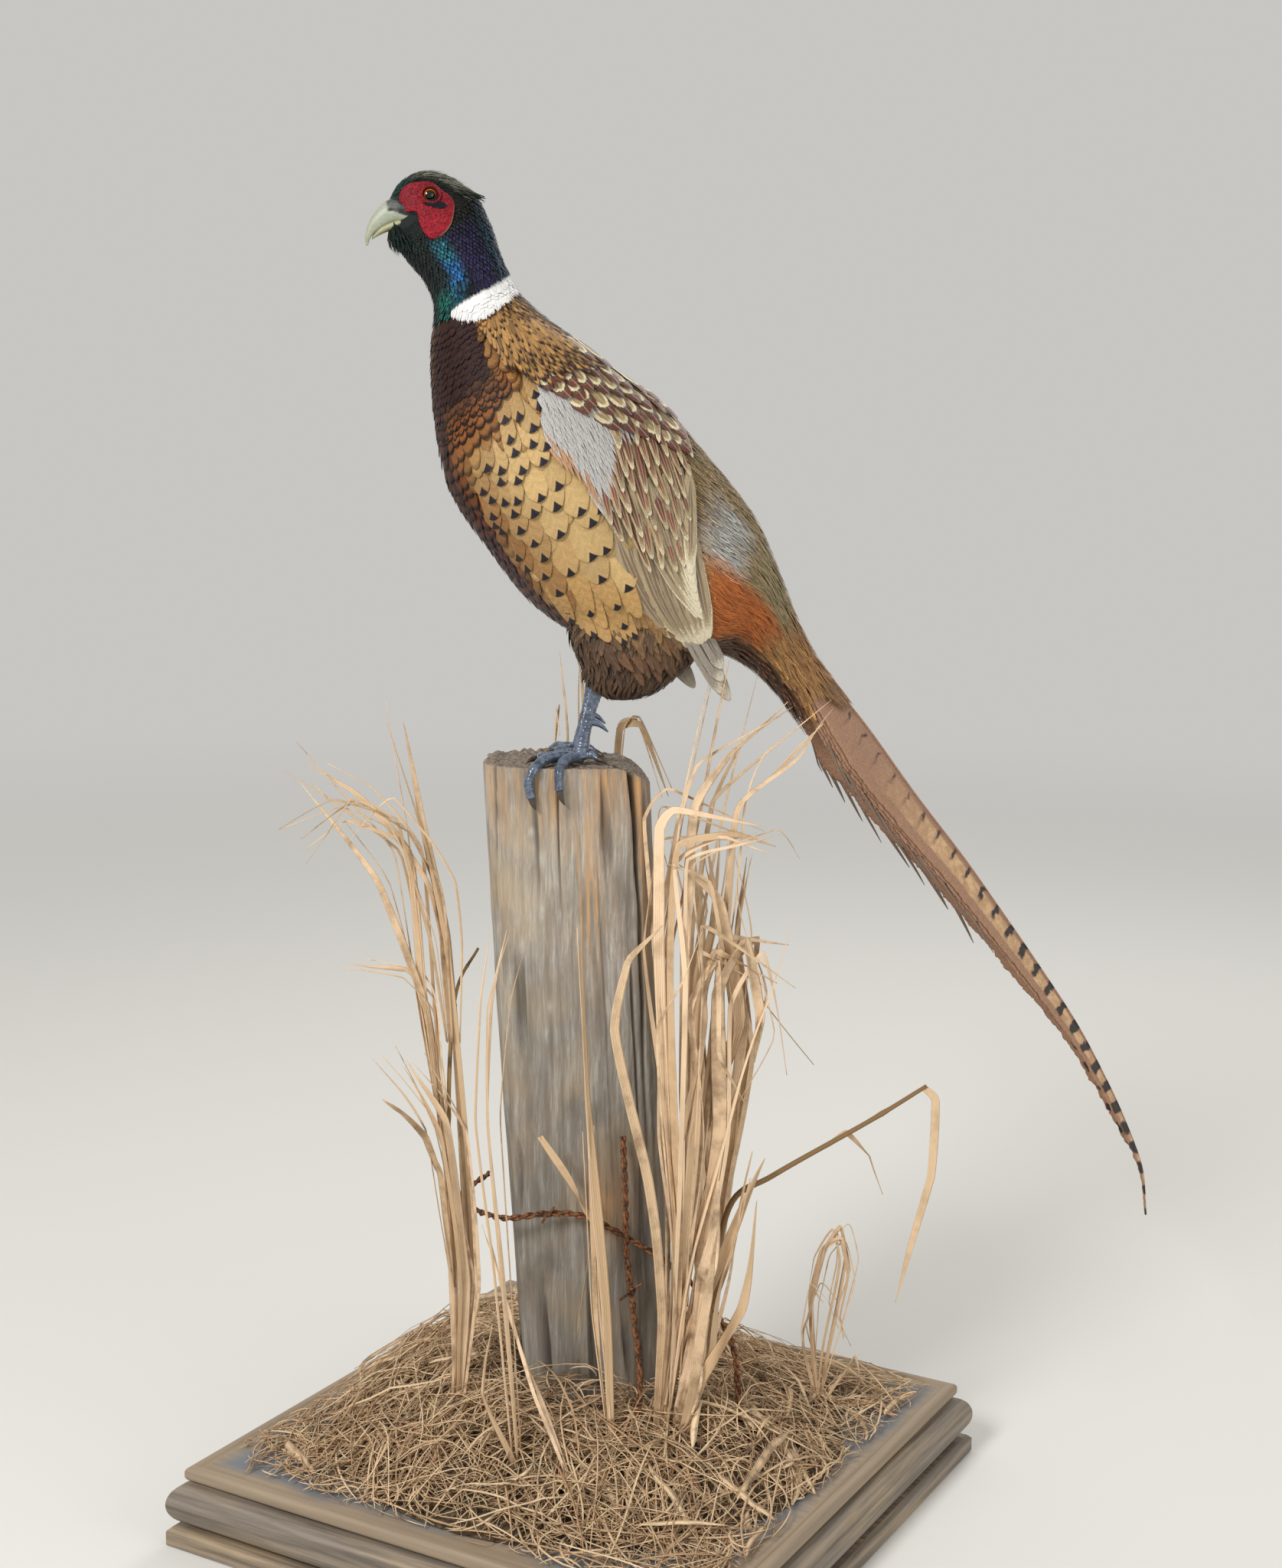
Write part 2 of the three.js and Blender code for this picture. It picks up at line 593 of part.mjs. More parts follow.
add(bird, "thigh_left", thighSolid(LEFT_SHANK_TOP), "body_plumage");
add(bird, "thigh_right", mirrored(thighSolid(RIGHT_SHANK_TOP)), "body_plumage");

// ---- tail: a long folded roof of thin feathers, the middle pair longest ----

const RIDGE = [
  [169.5, 575.5], [190, 551], [212, 525], [246, 481], [283, 436], [309, 402], [339, 362], [374, 313],
  [400, 269], [417, 236], [432, 201], [437, 165],
];
const ridge = new THREE.CatmullRomCurve3(RIDGE.map(([x, z]) => new THREE.Vector3(x, 0, z)));
const TAIL_LENGTH = ridge.getLength();

// How far down the slope the folded tail reaches, at a distance along the ridge.
function tailReach(along) {
  const root = 24 + 14 * Math.min(1, along / 67);
  return root * (1 - 0.96 * Math.max(0, (along - 67) / (TAIL_LENGTH - 67)));
}

// One vane of the left half: a strip down the roof's slope, in layer k under the top one.
function tailFeather(length, layer, start = 0.5) {
  const steps = Math.max(4, Math.round(length / 42));
  const depth = layer * (FEATHER_THICK + 0.6);
  const rings = Array.from({ length: steps + 1 }, (_, k) => {
    const along = start + ((length - start) * k) / steps;
    const at = ridge.getPointAt(along / TAIL_LENGTH);
    const tangent = ridge.getTangentAt(along / TAIL_LENGTH);
    const down = new THREE.Vector3(tangent.z, 0, -tangent.x);
    const from = (depth + FEATHER_THICK) * Math.tan(TAIL_ROOF) + 0.4;
    const to = from + Math.max(3, tailReach(along) - from + layer * Math.min(1, along / 60));
    const narrowing = 1 - Math.min(1, Math.sqrt(Math.max(0, length - along) / 45) + 0.08);
    const [inner, outer] = [from + 0.4 * (to - from) * narrowing, to - 0.6 * (to - from) * narrowing];
    const slope = new THREE.Vector3(0, -Math.cos(TAIL_ROOF), 0).addScaledVector(down, Math.sin(TAIL_ROOF));
    const under = new THREE.Vector3(0, Math.sin(TAIL_ROOF), 0).addScaledVector(down, Math.cos(TAIL_ROOF));
    const [top, bottom] = [depth, depth + FEATHER_THICK];
    return [[inner, top], [outer, top], [outer, bottom], [inner, bottom]].map(
      ([q, n]) => at.clone().addScaledVector(slope, q).addScaledVector(under, n));
  });
  return cut(loft(rings), bodySolid(0, 3, GAP));
}

const SIDE_LENGTHS = [330, 250, 175, 115];
const RIGHT_MIDDLE_SHORTER = 24;
const middleLeft = tailFeather(TAIL_LENGTH, 0);
const middleRight = mirrored(tailFeather(TAIL_LENGTH - RIGHT_MIDDLE_SHORTER, 0));
add(bird, "tail_middle_left", middleLeft, "tail_plumage");
add(bird, "tail_middle_right", middleRight, "tail_plumage");
SIDE_LENGTHS.forEach((length, k) => {
  const vane = tailFeather(length, k + 1);
  add(bird, `tail_side_left_${k + 1}`, vane, "tail_plumage");
  add(bird, `tail_side_right_${k + 1}`, mirrored(vane), "tail_plumage");
});

// The upper tail coverts: a thin saddle over the ridge at the tail's root.
const SADDLE_LENGTH = 78;
const saddleRings = Array.from({ length: 7 }, (_, k) => {
  const along = 0.5 + (SADDLE_LENGTH * k) / 6;
  const at = ridge.getPointAt(along / TAIL_LENGTH);
  const tangent = ridge.getTangentAt(along / TAIL_LENGTH);
  const down = new THREE.Vector3(tangent.z, 0, -tangent.x);
  const reach = (12 + 9 * Math.min(1, along / 50)) * (1 - 0.75 * (k / 6) ** 3);
  const thick = 2.9 - 0.6 * (k / 6);
  const arm = (side, q, n) => at
    .clone()
    .addScaledVector(down, q * Math.sin(TAIL_ROOF) - n)
    .add(new THREE.Vector3(0, side * q * Math.cos(TAIL_ROOF), 0));
  return [
    arm(-1, reach, 1.6), arm(0, 0, 1.2), arm(1, reach, 1.6),
    arm(1, reach, thick), arm(1, reach / 2, thick + 0.6), arm(0, 0, thick + 1),
    arm(-1, reach / 2, thick + 0.6), arm(-1, reach, thick),
  ];
});
add(bird, "tail_coverts", cut(loft(saddleRings), bodySolid(0, 4, GAP)), "body_plumage");

// ---- legs: shanks with a spur, four toes to a foot, and a claw on each toe ----
// The feet grip the post, so they are set out from the middle of its top.

const perch = new THREE.Group();
perch.position.set(POST_TOP_ACROSS, 0, 0);
front.add(perch);
const postFromPerch = (grow) => postSolid(grow).translate(-POST_TOP_ACROSS, 0, 0);

const ANKLE_HEIGHT = 520;
const FEET = {
  left: {
    ankle: [8.6, -21],
    shankTop: [LEFT_SHANK_TOP, -THIGH_SIDE],
    toes: {
      inner: [[-4, -21, 515.5], [-14, -23, 515.5], [-19, -27, 515.4]],
      middle: [
        [-4, -29, 516], [-14, -38, 515.3], [-20.5, -46.5, 509.5], [-23.5, -48, 502], [-22, -48.5, 493],
      ],
      outer: [[3, -31, 515.6], [-2, -41, 514], [-4.5, -47.5, 508], [-4.5, -48.5, 498]],
      hind: [[15.5, -23.5, 517], [19.5, -25.5, 514.8]],
    },
    claws: {
      inner: [[-19.6, -27.5, 515.2], [-22.8, -30.4, 514.6], [-25.6, -33, 512.6]],
      middle: [[-22, -48.6, 492.3], [-20.8, -49, 488.5], [-19, -48.6, 485]],
      outer: [[-4.5, -48.6, 497.3], [-3, -49, 492.5], [-0.5, -48.6, 488]],
      hind: [[20.1, -25.8, 514.5], [23, -27, 513.6], [25.5, -28.2, 511.8]],
    },
  },
  right: {
    ankle: [8, 21],
    shankTop: [RIGHT_SHANK_TOP, THIGH_SIDE],
    toes: {
      inner: [[-2, 17, 514.5], [-9, 14, 514]],
      middle: [[0, 27, 515], [-7, 36, 514.3], [-11.5, 44.5, 509.5], [-12.5, 47.5, 502]],
      outer: [[8, 31, 515], [7, 40, 514.2], [6.5, 46.5, 508.5], [6.5, 48, 501]],
      hind: [[14.5, 15, 516.5], [19, 10.5, 514.2]],
    },
    claws: {
      inner: [[-9.6, 13.7, 513.8], [-13, 12.3, 513.2], [-16, 11, 511.6]],
      middle: [[-12.5, 47.6, 501.3], [-12, 48.2, 496.5], [-10.5, 47.8, 492.5]],
      outer: [[6.5, 48.1, 500.3], [7, 48.6, 495.5], [8.5, 48.2, 491.5]],
      hind: [[19.5, 10, 513.9], [22, 7.6, 513], [24.2, 5.4, 511.4]],
    },
  },
};

// A point of the bird's own frame, seen from the top of the post.
function fromBird([x, y], z) {
  const angle = BIRD_TURN - FRONT_TURN;
  return [x * Math.cos(angle) - y * Math.sin(angle), x * Math.sin(angle) + y * Math.cos(angle), z];
}

const SPUR_SHARE = 0.5; // of the way up the shank
const TOE_THICK = 3.6;
const HIND_TOE_THICK = 2.6;
const box = new THREE.BoxGeometry(60, 60, 60);

for (const [side, foot] of Object.entries(FEET)) {
  const [ankleX, ankleY] = foot.ankle;
  const ankle = new THREE.Vector3(ankleX, ankleY, ANKLE_HEIGHT);
  const shankTop = new THREE.Vector3(...fromBird(foot.shankTop, CUFF_BOTTOM - GAP));
  const up = (share) => ankle.clone().lerp(shankTop, share);
  const shankLine = [up(0), up(0.5), up(1)].map((p) => p.toArray());
  const shank = rod(shankLine, (t) => 4.6 - 1.2 * Math.sin(Math.PI * t) + 0.8 * t, 8, 4);
  const spurLine = [[0, 0, 0], [7, 0.5, -2], [13, 1, -7]].map(
    (offset) => up(SPUR_SHARE).add(new THREE.Vector3(...offset)).toArray());
  const spur = rod(spurLine, (t) => 2.6 - 2.1 * t, 5, 2);
  const clearOfThigh = box.clone().translate(shankTop.x, shankTop.y, shankTop.z + 30);
  const clearOfFoot = box.clone().translate(ankleX, ankleY, ANKLE_HEIGHT - 30);
  add(perch, `shank_${side}`, cut(join(shank, spur), clearOfThigh, clearOfFoot), "leg_scales");

  const sole = [ankleX, ankleY, ANKLE_HEIGHT - 4.5];
  const knuckle = new THREE.SphereGeometry(5.6, 6, 4).scale(1.15, 1, 0.9).translate(...sole);
  const toes = Object.entries(foot.toes).map(([toe, points]) => {
    const thick = toe === "hind" ? HIND_TOE_THICK : TOE_THICK;
    return rod([sole, ...points], (t) => thick - 1.1 * t, 5, points.length);
  });
  const clearOfShank = box.clone().translate(ankleX, ankleY, ANKLE_HEIGHT - GAP + 30);
  const footSolid = cut(join(knuckle, ...toes), postFromPerch(GAP), clearOfShank);
  add(perch, `foot_${side}`, footSolid, "leg_scales");
  for (const [toe, points] of Object.entries(foot.claws)) {
    const claw = rod(points, (t) => 2 - 1.6 * t, 5, 2);
    add(perch, `claw_${side}_${toe}`, cut(claw, postFromPerch(GAP)), "claw");
  }
}

export default mount;
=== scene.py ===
"""A mounted ring-necked pheasant cock on a weathered fence post, set in a square moulded base with dry grass.

Places are in millimetres until a mesh is made. Three frames share the middle of the base's underside: the
base's own; the front frame, turned with the post (right, away, up); and the bird's (towards the tail, up,
towards its left side).
"""
import json
import bpy
import numpy as np
from mathutils import Matrix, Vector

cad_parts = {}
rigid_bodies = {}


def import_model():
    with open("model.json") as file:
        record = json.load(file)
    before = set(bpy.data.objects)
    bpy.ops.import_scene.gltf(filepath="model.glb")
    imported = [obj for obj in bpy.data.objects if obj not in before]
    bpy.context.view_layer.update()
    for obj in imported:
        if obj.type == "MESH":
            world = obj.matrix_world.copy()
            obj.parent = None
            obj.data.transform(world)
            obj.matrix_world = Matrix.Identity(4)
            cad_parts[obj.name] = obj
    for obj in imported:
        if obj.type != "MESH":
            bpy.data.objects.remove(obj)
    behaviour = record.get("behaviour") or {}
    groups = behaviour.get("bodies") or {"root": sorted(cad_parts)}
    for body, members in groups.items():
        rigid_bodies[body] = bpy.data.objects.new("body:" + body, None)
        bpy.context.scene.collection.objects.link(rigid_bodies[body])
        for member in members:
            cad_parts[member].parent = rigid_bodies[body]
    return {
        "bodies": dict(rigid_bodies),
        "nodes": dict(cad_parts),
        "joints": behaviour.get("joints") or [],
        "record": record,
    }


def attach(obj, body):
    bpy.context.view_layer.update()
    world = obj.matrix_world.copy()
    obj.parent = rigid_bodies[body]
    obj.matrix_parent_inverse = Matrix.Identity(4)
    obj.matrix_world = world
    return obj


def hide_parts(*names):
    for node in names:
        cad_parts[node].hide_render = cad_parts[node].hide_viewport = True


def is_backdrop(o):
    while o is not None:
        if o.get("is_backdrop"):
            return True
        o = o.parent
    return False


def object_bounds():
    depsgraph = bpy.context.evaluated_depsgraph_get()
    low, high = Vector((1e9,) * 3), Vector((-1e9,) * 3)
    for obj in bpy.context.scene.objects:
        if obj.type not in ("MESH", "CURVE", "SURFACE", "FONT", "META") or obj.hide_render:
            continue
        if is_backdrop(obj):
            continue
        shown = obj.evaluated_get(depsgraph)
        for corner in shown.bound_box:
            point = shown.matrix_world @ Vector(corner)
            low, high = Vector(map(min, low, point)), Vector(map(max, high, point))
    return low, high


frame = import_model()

cad_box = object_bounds()
rng = np.random.default_rng(7)

# ---- studio ---------------------------------------------------------------------------------------------
# A pale matt floor under a pale sky, a soft lamp high on the left, a weaker one on the right and a small
# one behind that picks out the outline. The camera stands level with the bird's breast.

YAW, PITCH, ROLL = np.radians([-29.714, 8.466, 0.655])
CAMERA_AT = np.array([0.71039, -1.18391, 0.70049])
LENS_MM = 49.05
SENSOR_MM = 36

forward = np.array([np.sin(YAW) * np.cos(PITCH), np.cos(YAW) * np.cos(PITCH), -np.sin(PITCH)])
level_right = np.array([np.cos(YAW), -np.sin(YAW), 0])
level_up = np.cross(level_right, forward)
view_right = level_right * np.cos(ROLL) + level_up * np.sin(ROLL)
view_up = level_up * np.cos(ROLL) - level_right * np.sin(ROLL)

camera_data = bpy.data.cameras.new("camera")
camera_data.lens = LENS_MM
camera_data.sensor_width = SENSOR_MM
camera = bpy.data.objects.new("camera", camera_data)
camera.matrix_world = Matrix.Translation(CAMERA_AT) @ Matrix(
    np.column_stack([view_right, view_up, -forward]).tolist()).to_4x4()
bpy.context.scene.collection.objects.link(camera)
bpy.context.scene.camera = camera

AIM = np.array([0.0, 0.0, 0.5])
AWAY = np.array([-level_right[1], level_right[0], 0])
# name: (to the right, away, up) in metres from the aim, size in metres, power in watts
LAMPS = {
    "key": ((-1.3, -1.9, 1.5), 0.8, 60),
    "fill": ((2.2, -1.5, 0.5), 2.2, 18),
    "back": ((0.9, 1.7, 1.5), 1.2, 16),
}
for name, (place, size, power) in LAMPS.items():
    lamp = bpy.data.lights.new(name, "AREA")
    lamp.shape = "DISK"
    lamp.size = size
    lamp.energy = power
    at = AIM + place[0] * level_right + place[1] * AWAY + np.array([0, 0, place[2]])
    back = (at - AIM) / np.linalg.norm(at - AIM)
    side = np.cross([0, 0, 1], back)
    side /= np.linalg.norm(side)
    lamp_object = bpy.data.objects.new(name, lamp)
    lamp_object.matrix_world = Matrix.Translation(at) @ Matrix(
        np.column_stack([side, np.cross(back, side), back]).tolist()).to_4x4()
    bpy.context.scene.collection.objects.link(lamp_object)


def linear(hexcolour):
    """A hex sRGB colour as linear red, green, blue and full alpha."""
    value = np.array([int(hexcolour[i:i + 2], 16) for i in (1, 3, 5)]) / 255
    value = np.where(value <= 0.04045, value / 12.92, ((value + 0.055) / 1.055) ** 2.4)
    return (*value.tolist(), 1.0)


def add(material, kind, inputs=None, out=0, **settings):
    """Adds a node. Inputs are sockets to link or plain values; the output socket asked for comes back."""
    node = material.node_tree.nodes.new("ShaderNode" + kind)
    for name, value in settings.items():
        setattr(node, name, value)
    for name, value in (inputs or {}).items():
        if isinstance(value, bpy.types.NodeSocket):
            material.node_tree.links.new(value, node.inputs[name])
        else:
            node.inputs[name].default_value = value
    return node.outputs[out] if len(node.outputs) else node


def blank(name):
    """A new material with no nodes in it."""
    material = bpy.data.materials.new(name)
    material.use_nodes = True
    material.node_tree.nodes.clear()
    return material


SKY_COLOUR = "#e9e8e4"
SKY_STRENGTH = 0.7
world = bpy.data.worlds.new("pale_sky")
world.use_nodes = True
world.node_tree.nodes["Background"].inputs["Color"].default_value = linear(SKY_COLOUR)
world.node_tree.nodes["Background"].inputs["Strength"].default_value = SKY_STRENGTH
bpy.context.scene.world = world
bpy.context.scene.view_settings.view_transform = "Standard"

# matt pale paper: even, so that only the soft shadow shows; far off it glows as the sky does
floor_material = blank("pale_matt_floor")
place = add(floor_material, "TexCoord", out="Object")
far_off = add(floor_material, "VectorMath", {0: place}, out=1, operation="LENGTH")
fade = add(floor_material, "MapRange", {"Value": far_off, "From Min": 0.7, "From Max": 4.5},
           interpolation_type="SMOOTHSTEP")
near_floor = add(floor_material, "BsdfPrincipled", {"Base Color": linear("#d9d7d2"), "Roughness": 0.85})
far_floor = add(floor_material, "Emission", {"Color": linear(SKY_COLOUR), "Strength": SKY_STRENGTH})
shader = add(floor_material, "MixShader", {0: fade, 1: near_floor, 2: far_floor})
add(floor_material, "OutputMaterial", {"Surface": shader})
floor_mesh = bpy.data.meshes.new("floor")
FLOOR_HALF = 60
floor_mesh.from_pydata([(x, y, 0) for x, y in ((-1, -1), (1, -1), (1, 1), (-1, 1))], [], [(0, 1, 2, 3)])
floor_mesh.transform(Matrix.Scale(FLOOR_HALF, 4))
floor_mesh.materials.append(floor_material)
floor = bpy.data.objects.new("floor", floor_mesh)
bpy.context.scene.collection.objects.link(floor)
floor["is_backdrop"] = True

# ---- base -----------------------------------------------------------------------------------------------
# Softwood mouldings mitred round a board: a plain plinth, a full half-round and a thin board with a beaded
# lip. The moulding is stained grey-brown and worn to tan on its high lines; the board is painted blue-grey.

MM = 0.001
GAP = 0.35  # left between two parts that lie on one another


def grid_faces(rows, columns, wrap=False):
    """Quads between neighbours in a rows by columns grid; wrap joins the last column to the first."""
    j = np.arange(columns if wrap else columns - 1)
    a = (np.arange(rows - 1)[:, None] * columns + j).ravel()
    b = (np.arange(rows - 1)[:, None] * columns + (j + 1) % columns).ravel()
    return np.column_stack([a, b, b + columns, a + columns])


def piece(name, points, faces, material, replaces=(), uv=None, colours=None, bake=None, sharp=None):
    """One mesh object from points in mm. faces is one array of corner numbers, or a list of such arrays.

    uv goes into a map named vane, bake into OFBake, and each entry of colours into an attribute of its name;
    a row of each belongs to a point, or in uv's case to a corner. Edges sharper than sharp degrees stay hard.
    """
    groups = faces if isinstance(faces, list) else [faces]
    corners = np.concatenate([group.ravel() for group in groups])
    sizes = np.concatenate([np.full(len(group), group.shape[1]) for group in groups])
    mesh = bpy.data.meshes.new(name)
    mesh.vertices.add(len(points))
    mesh.vertices.foreach_set("co", (np.asarray(points) * MM).astype(np.float32).ravel())
    mesh.loops.add(len(corners))
    mesh.loops.foreach_set("vertex_index", corners.astype(np.int32))
    mesh.polygons.add(len(sizes))
    mesh.polygons.foreach_set("loop_start", (np.cumsum(sizes) - sizes).astype(np.int32))
    mesh.update(calc_edges=True)
    mesh.polygons.foreach_set("use_smooth", np.ones(len(sizes), bool))
    for layer, values in (("vane", uv), ("OFBake", bake)):
        if values is not None:
            values = np.asarray(values, np.float32)
            values = values if len(values) == len(corners) else values[corners]
            mesh.uv_layers.new(name=layer).data.foreach_set("uv", values.ravel())
    for label, values in (colours or {}).items():
        rgba = np.ones((len(points), 4), np.float32)
        rgba[:, :values.shape[1]] = values
        mesh.attributes.new(label, "FLOAT_COLOR", "POINT").data.foreach_set("color", rgba.ravel())
    if sharp is not None:
        mesh.set_sharp_from_angle(angle=np.radians(sharp))
    mesh.materials.append(material)
    made = bpy.data.objects.new(name, mesh)
    bpy.context.scene.collection.objects.link(made)
    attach(made, "root")
    if replaces:
        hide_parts(*replaces)
    return made


SIDE_SHIFT = 1000  # between the maps of two sides of a square, so that no grain line runs on round a corner


def square_solid(name, profile, material, replaces):
    """A closed square slab: the profile's (half side, height) points carried round four mitred corners.

    The map gives metres along the side and metres down the profile, shifted on each side of the square.
    """
    profile = np.array(profile, float)
    turns = np.array([(-1, -1), (1, -1), (1, 1), (-1, 1)])
    flat = profile[:, None, :1] * turns
    points = np.dstack([flat, np.broadcast_to(profile[:, 1:, None], flat.shape[:2] + (1,))]).reshape(-1, 3)
    faces = grid_faces(len(profile), 4, wrap=True)
    down = np.concatenate([[0], np.cumsum(np.linalg.norm(np.diff(profile, axis=0), axis=1))])
    rows = np.repeat(np.arange(len(profile) - 1), 4)
    sides = np.tile(np.arange(4), len(profile) - 1)
    half = profile[:, 0]
    corner_uv = np.stack([
        np.stack([way * half[row] + SIDE_SHIFT * sides, down[row]], -1)
        for way, row in ((-1, rows), (1, rows), (1, rows + 1), (-1, rows + 1))], 1).reshape(-1, 2)
    caps = np.array([[3, 2, 1, 0], [0, 1, 2, 3] + np.array(4 * (len(profile) - 1))])
    cap_uv = points[caps.ravel(), :2] + [5 * SIDE_SHIFT, 0]
    return piece(name, points, [faces, caps], material, replaces,
                 uv=np.vstack([corner_uv, cap_uv]) * MM, sharp=35)


def arc(across, up, radius, start, stop, steps):
    """Points of a round stretch, from start to stop in degrees, as (half side, height) rows."""
    angle = np.radians(np.linspace(start, stop, steps + 1))
    return np.column_stack([across + radius * np.cos(angle), up + radius * np.sin(angle)]).tolist()


# a Mix node with these settings blends colours, and its third output holds the result
COLOUR_MIX = {"data_type": "RGBA", "out": 2}

# stained pine moulding: long grain lines a few millimetres apart, tan where handling wore the stain away
base_wood = blank("stained_pine_moulding")
along = add(base_wood, "UVMap", uv_map="vane")
stretched = add(base_wood, "Mapping", {"Vector": along, "Scale": (3.5, 95, 1)})
grain = add(base_wood, "TexNoise", {"Vector": stretched, "Scale": 2.2, "Detail": 8, "Roughness": 0.65})
less_stretched = add(base_wood, "Mapping", {"Vector": along, "Scale": (4, 30, 1)})
broad = add(base_wood, "TexNoise", {"Vector": less_stretched, "Scale": 1.3, "Detail": 3})
worn = add(base_wood, "MapRange", {"Value": broad, "From Min": 0.42, "From Max": 0.66},
           interpolation_type="SMOOTHSTEP")
dark_line = add(base_wood, "MapRange", {"Value": grain, "From Min": 0.36, "From Max": 0.6})
stain = add(base_wood, "Mix", {0: worn, 6: linear("#81766a"), 7: linear("#a08c70")}, **COLOUR_MIX)
wood = add(base_wood, "Mix", {0: dark_line, 6: linear("#5c5247"), 7: stain}, **COLOUR_MIX)
relief = add(base_wood, "Bump", {"Strength": 0.35, "Distance": 0.0006, "Height": grain})
shader = add(base_wood, "BsdfPrincipled", {"Base Color": wood, "Roughness": 0.52, "Normal": relief})
add(base_wood, "OutputMaterial", {"Surface": shader})

BASE_SIDE = 402
PLINTH_TOP = 13
MOULDING_TOP = 42.7
BOARD_TOP = 53
BOARD_SIDE = 384
UNDER_BOARD = 12  # how far the half round runs in behind its middle
base_half = BASE_SIDE / 2
square_solid("base_plinth_moulded", [
    (base_half - 1, 0), (base_half, 1), (base_half, PLINTH_TOP - 3.4), (base_half - 0.6, PLINTH_TOP - 2.4),
    (base_half - 3, PLINTH_TOP - 0.2), (base_half - 4, PLINTH_TOP)], base_wood, ["base_plinth"])
round_radius = (MOULDING_TOP - PLINTH_TOP - GAP) / 2
square_solid("base_moulding_half_round", [
    (base_half - round_radius - UNDER_BOARD, PLINTH_TOP + GAP),
    *arc(base_half - round_radius, PLINTH_TOP + GAP + round_radius, round_radius, -90, 90, 22),
    (base_half - round_radius - UNDER_BOARD, MOULDING_TOP)], base_wood, ["base_moulding"])

# thin blue-grey paint on a pine board: rubbed through to brown wood along the lip, dusty towards the middle
board_paint = blank("rubbed_blue_grey_paint")
place = add(board_paint, "TexCoord", out="Object")
from_middle = add(board_paint, "VectorMath", {0: place}, operation="ABSOLUTE")
sideways = add(board_paint, "SeparateXYZ", {0: from_middle}).node
edge = add(board_paint, "Math", {0: sideways.outputs[0], 1: sideways.outputs[1]}, operation="MAXIMUM")
cloud = add(board_paint, "TexNoise", {"Vector": place, "Scale": 16, "Detail": 5})
uneven = add(board_paint, "Math", {0: cloud, 1: 0.034, 2: edge}, operation="MULTIPLY_ADD")
bare = add(board_paint, "MapRange", {"Value": uneven, "From Min": 0.182, "From Max": 0.2},
           interpolation_type="SMOOTHSTEP")
lines = add(board_paint, "TexNoise", {"Vector": add(board_paint, "Mapping", {
    "Vector": add(board_paint, "UVMap", uv_map="vane"), "Scale": (5, 120, 1)}), "Scale": 2, "Detail": 6})
brown = add(board_paint, "Mix", {0: lines, 6: linear("#6f6253"), 7: linear("#a8947a")}, **COLOUR_MIX)
grey = add(board_paint, "Mix", {0: cloud, 6: linear("#565b62"), 7: linear("#83878b")}, **COLOUR_MIX)
painted = add(board_paint, "Mix", {0: bare, 6: grey, 7: brown}, **COLOUR_MIX)
relief = add(board_paint, "Bump", {"Strength": 0.3, "Distance": 0.0005, "Height": lines})
shader = add(board_paint, "BsdfPrincipled", {"Base Color": painted, "Roughness": 0.66, "Normal": relief})
add(board_paint, "OutputMaterial", {"Surface": shader})

BOARD_RECESS = 1.2
BEAD = 4  # radius of the board's rounded edge
board_half = BOARD_SIDE / 2
square_solid("base_board_beaded", [
    (board_half - BEAD, MOULDING_TOP + GAP),
    *arc(board_half - BEAD, MOULDING_TOP + GAP + BEAD, BEAD, -80, 10, 6),
    *arc(board_half - BEAD, BOARD_TOP - BEAD, BEAD, 0, 90, 8),
    (board_half - 6.4, BOARD_TOP - 0.2), (board_half - 8, BOARD_TOP - 1.6),
    (board_half - 9, BOARD_TOP - BOARD_RECESS - 0.5), (board_half - 10, BOARD_TOP - BOARD_RECESS)],
    board_paint, ["base_board"])

# ---- post -----------------------------------------------------------------------------------------------
# The sawn-off top of a squared fence post, long out in the weather: silver-grey, with open grain, one deep
# split near its right corner and a broken, crumbling rim. It stands through the ground on the board.

FRONT_TURN = np.radians(31)
GROUND = BOARD_TOP - BOARD_RECESS + GAP
POST_TOP = 511
POST_TOP_ACROSS = -18.2
POST_FOOT_ACROSS = 7
POST_WIDTH = 106
POST_FOOT_WIDTH = 98
POST_DEPTH = 88
NOISE_REPEAT = 64


def turned(points, angle=FRONT_TURN):
    """Points of the front frame in the base's frame: turned about the upright axis."""
    c, s = np.cos(angle), np.sin(angle)
    points = np.asarray(points, float)
    return np.stack([points[..., 0] * c - points[..., 1] * s, points[..., 0] * s + points[..., 1] * c,
                     points[..., 2]], -1)


def noise(x, y, seed):
    """Smooth noise from 0 to 1: a random height at each whole place, eased between its four neighbours.

    It repeats every NOISE_REPEAT places both ways, so a surface with as many places to its turn closes up.
    """
    heights = np.random.default_rng(seed).random((NOISE_REPEAT, NOISE_REPEAT))
    i, j = np.floor(x).astype(int), np.floor(y).astype(int)
    u, v = x - i, y - j
    u, v = u * u * (3 - 2 * u), v * v * (3 - 2 * v)
    corner = lambda right, up: heights[(i + right) % NOISE_REPEAT, (j + up) % NOISE_REPEAT]
    near = corner(0, 0) * (1 - u) + corner(1, 0) * u
    far = corner(0, 1) * (1 - u) + corner(1, 1) * u
    return near * (1 - v) + far * v


def bump(x, middle, reach):
    """A soft bell, 1 at the middle and near 0 beyond the reach."""
    return np.exp(-((x - middle) / reach) ** 2 * 2)


def closed_faces(rows, columns, items=1):
    """Faces of closed tubes: quads round each, and a fan to one extra point at each end, kept last."""
    quads = grid_faces(rows, columns, wrap=True)
    j = np.arange(columns)
    end = (rows - 1) * columns
    first = np.column_stack([(j + 1) % columns, j, np.full(columns, rows * columns)])
    last = np.column_stack([end + j, end + (j + 1) % columns, np.full(columns, rows * columns + 1)])
    step = np.arange(items)[:, None, None] * (rows * columns + 2)
    return [(quads + step).reshape(-1, 4), (np.vstack([first, last]) + step).reshape(-1, 3)]


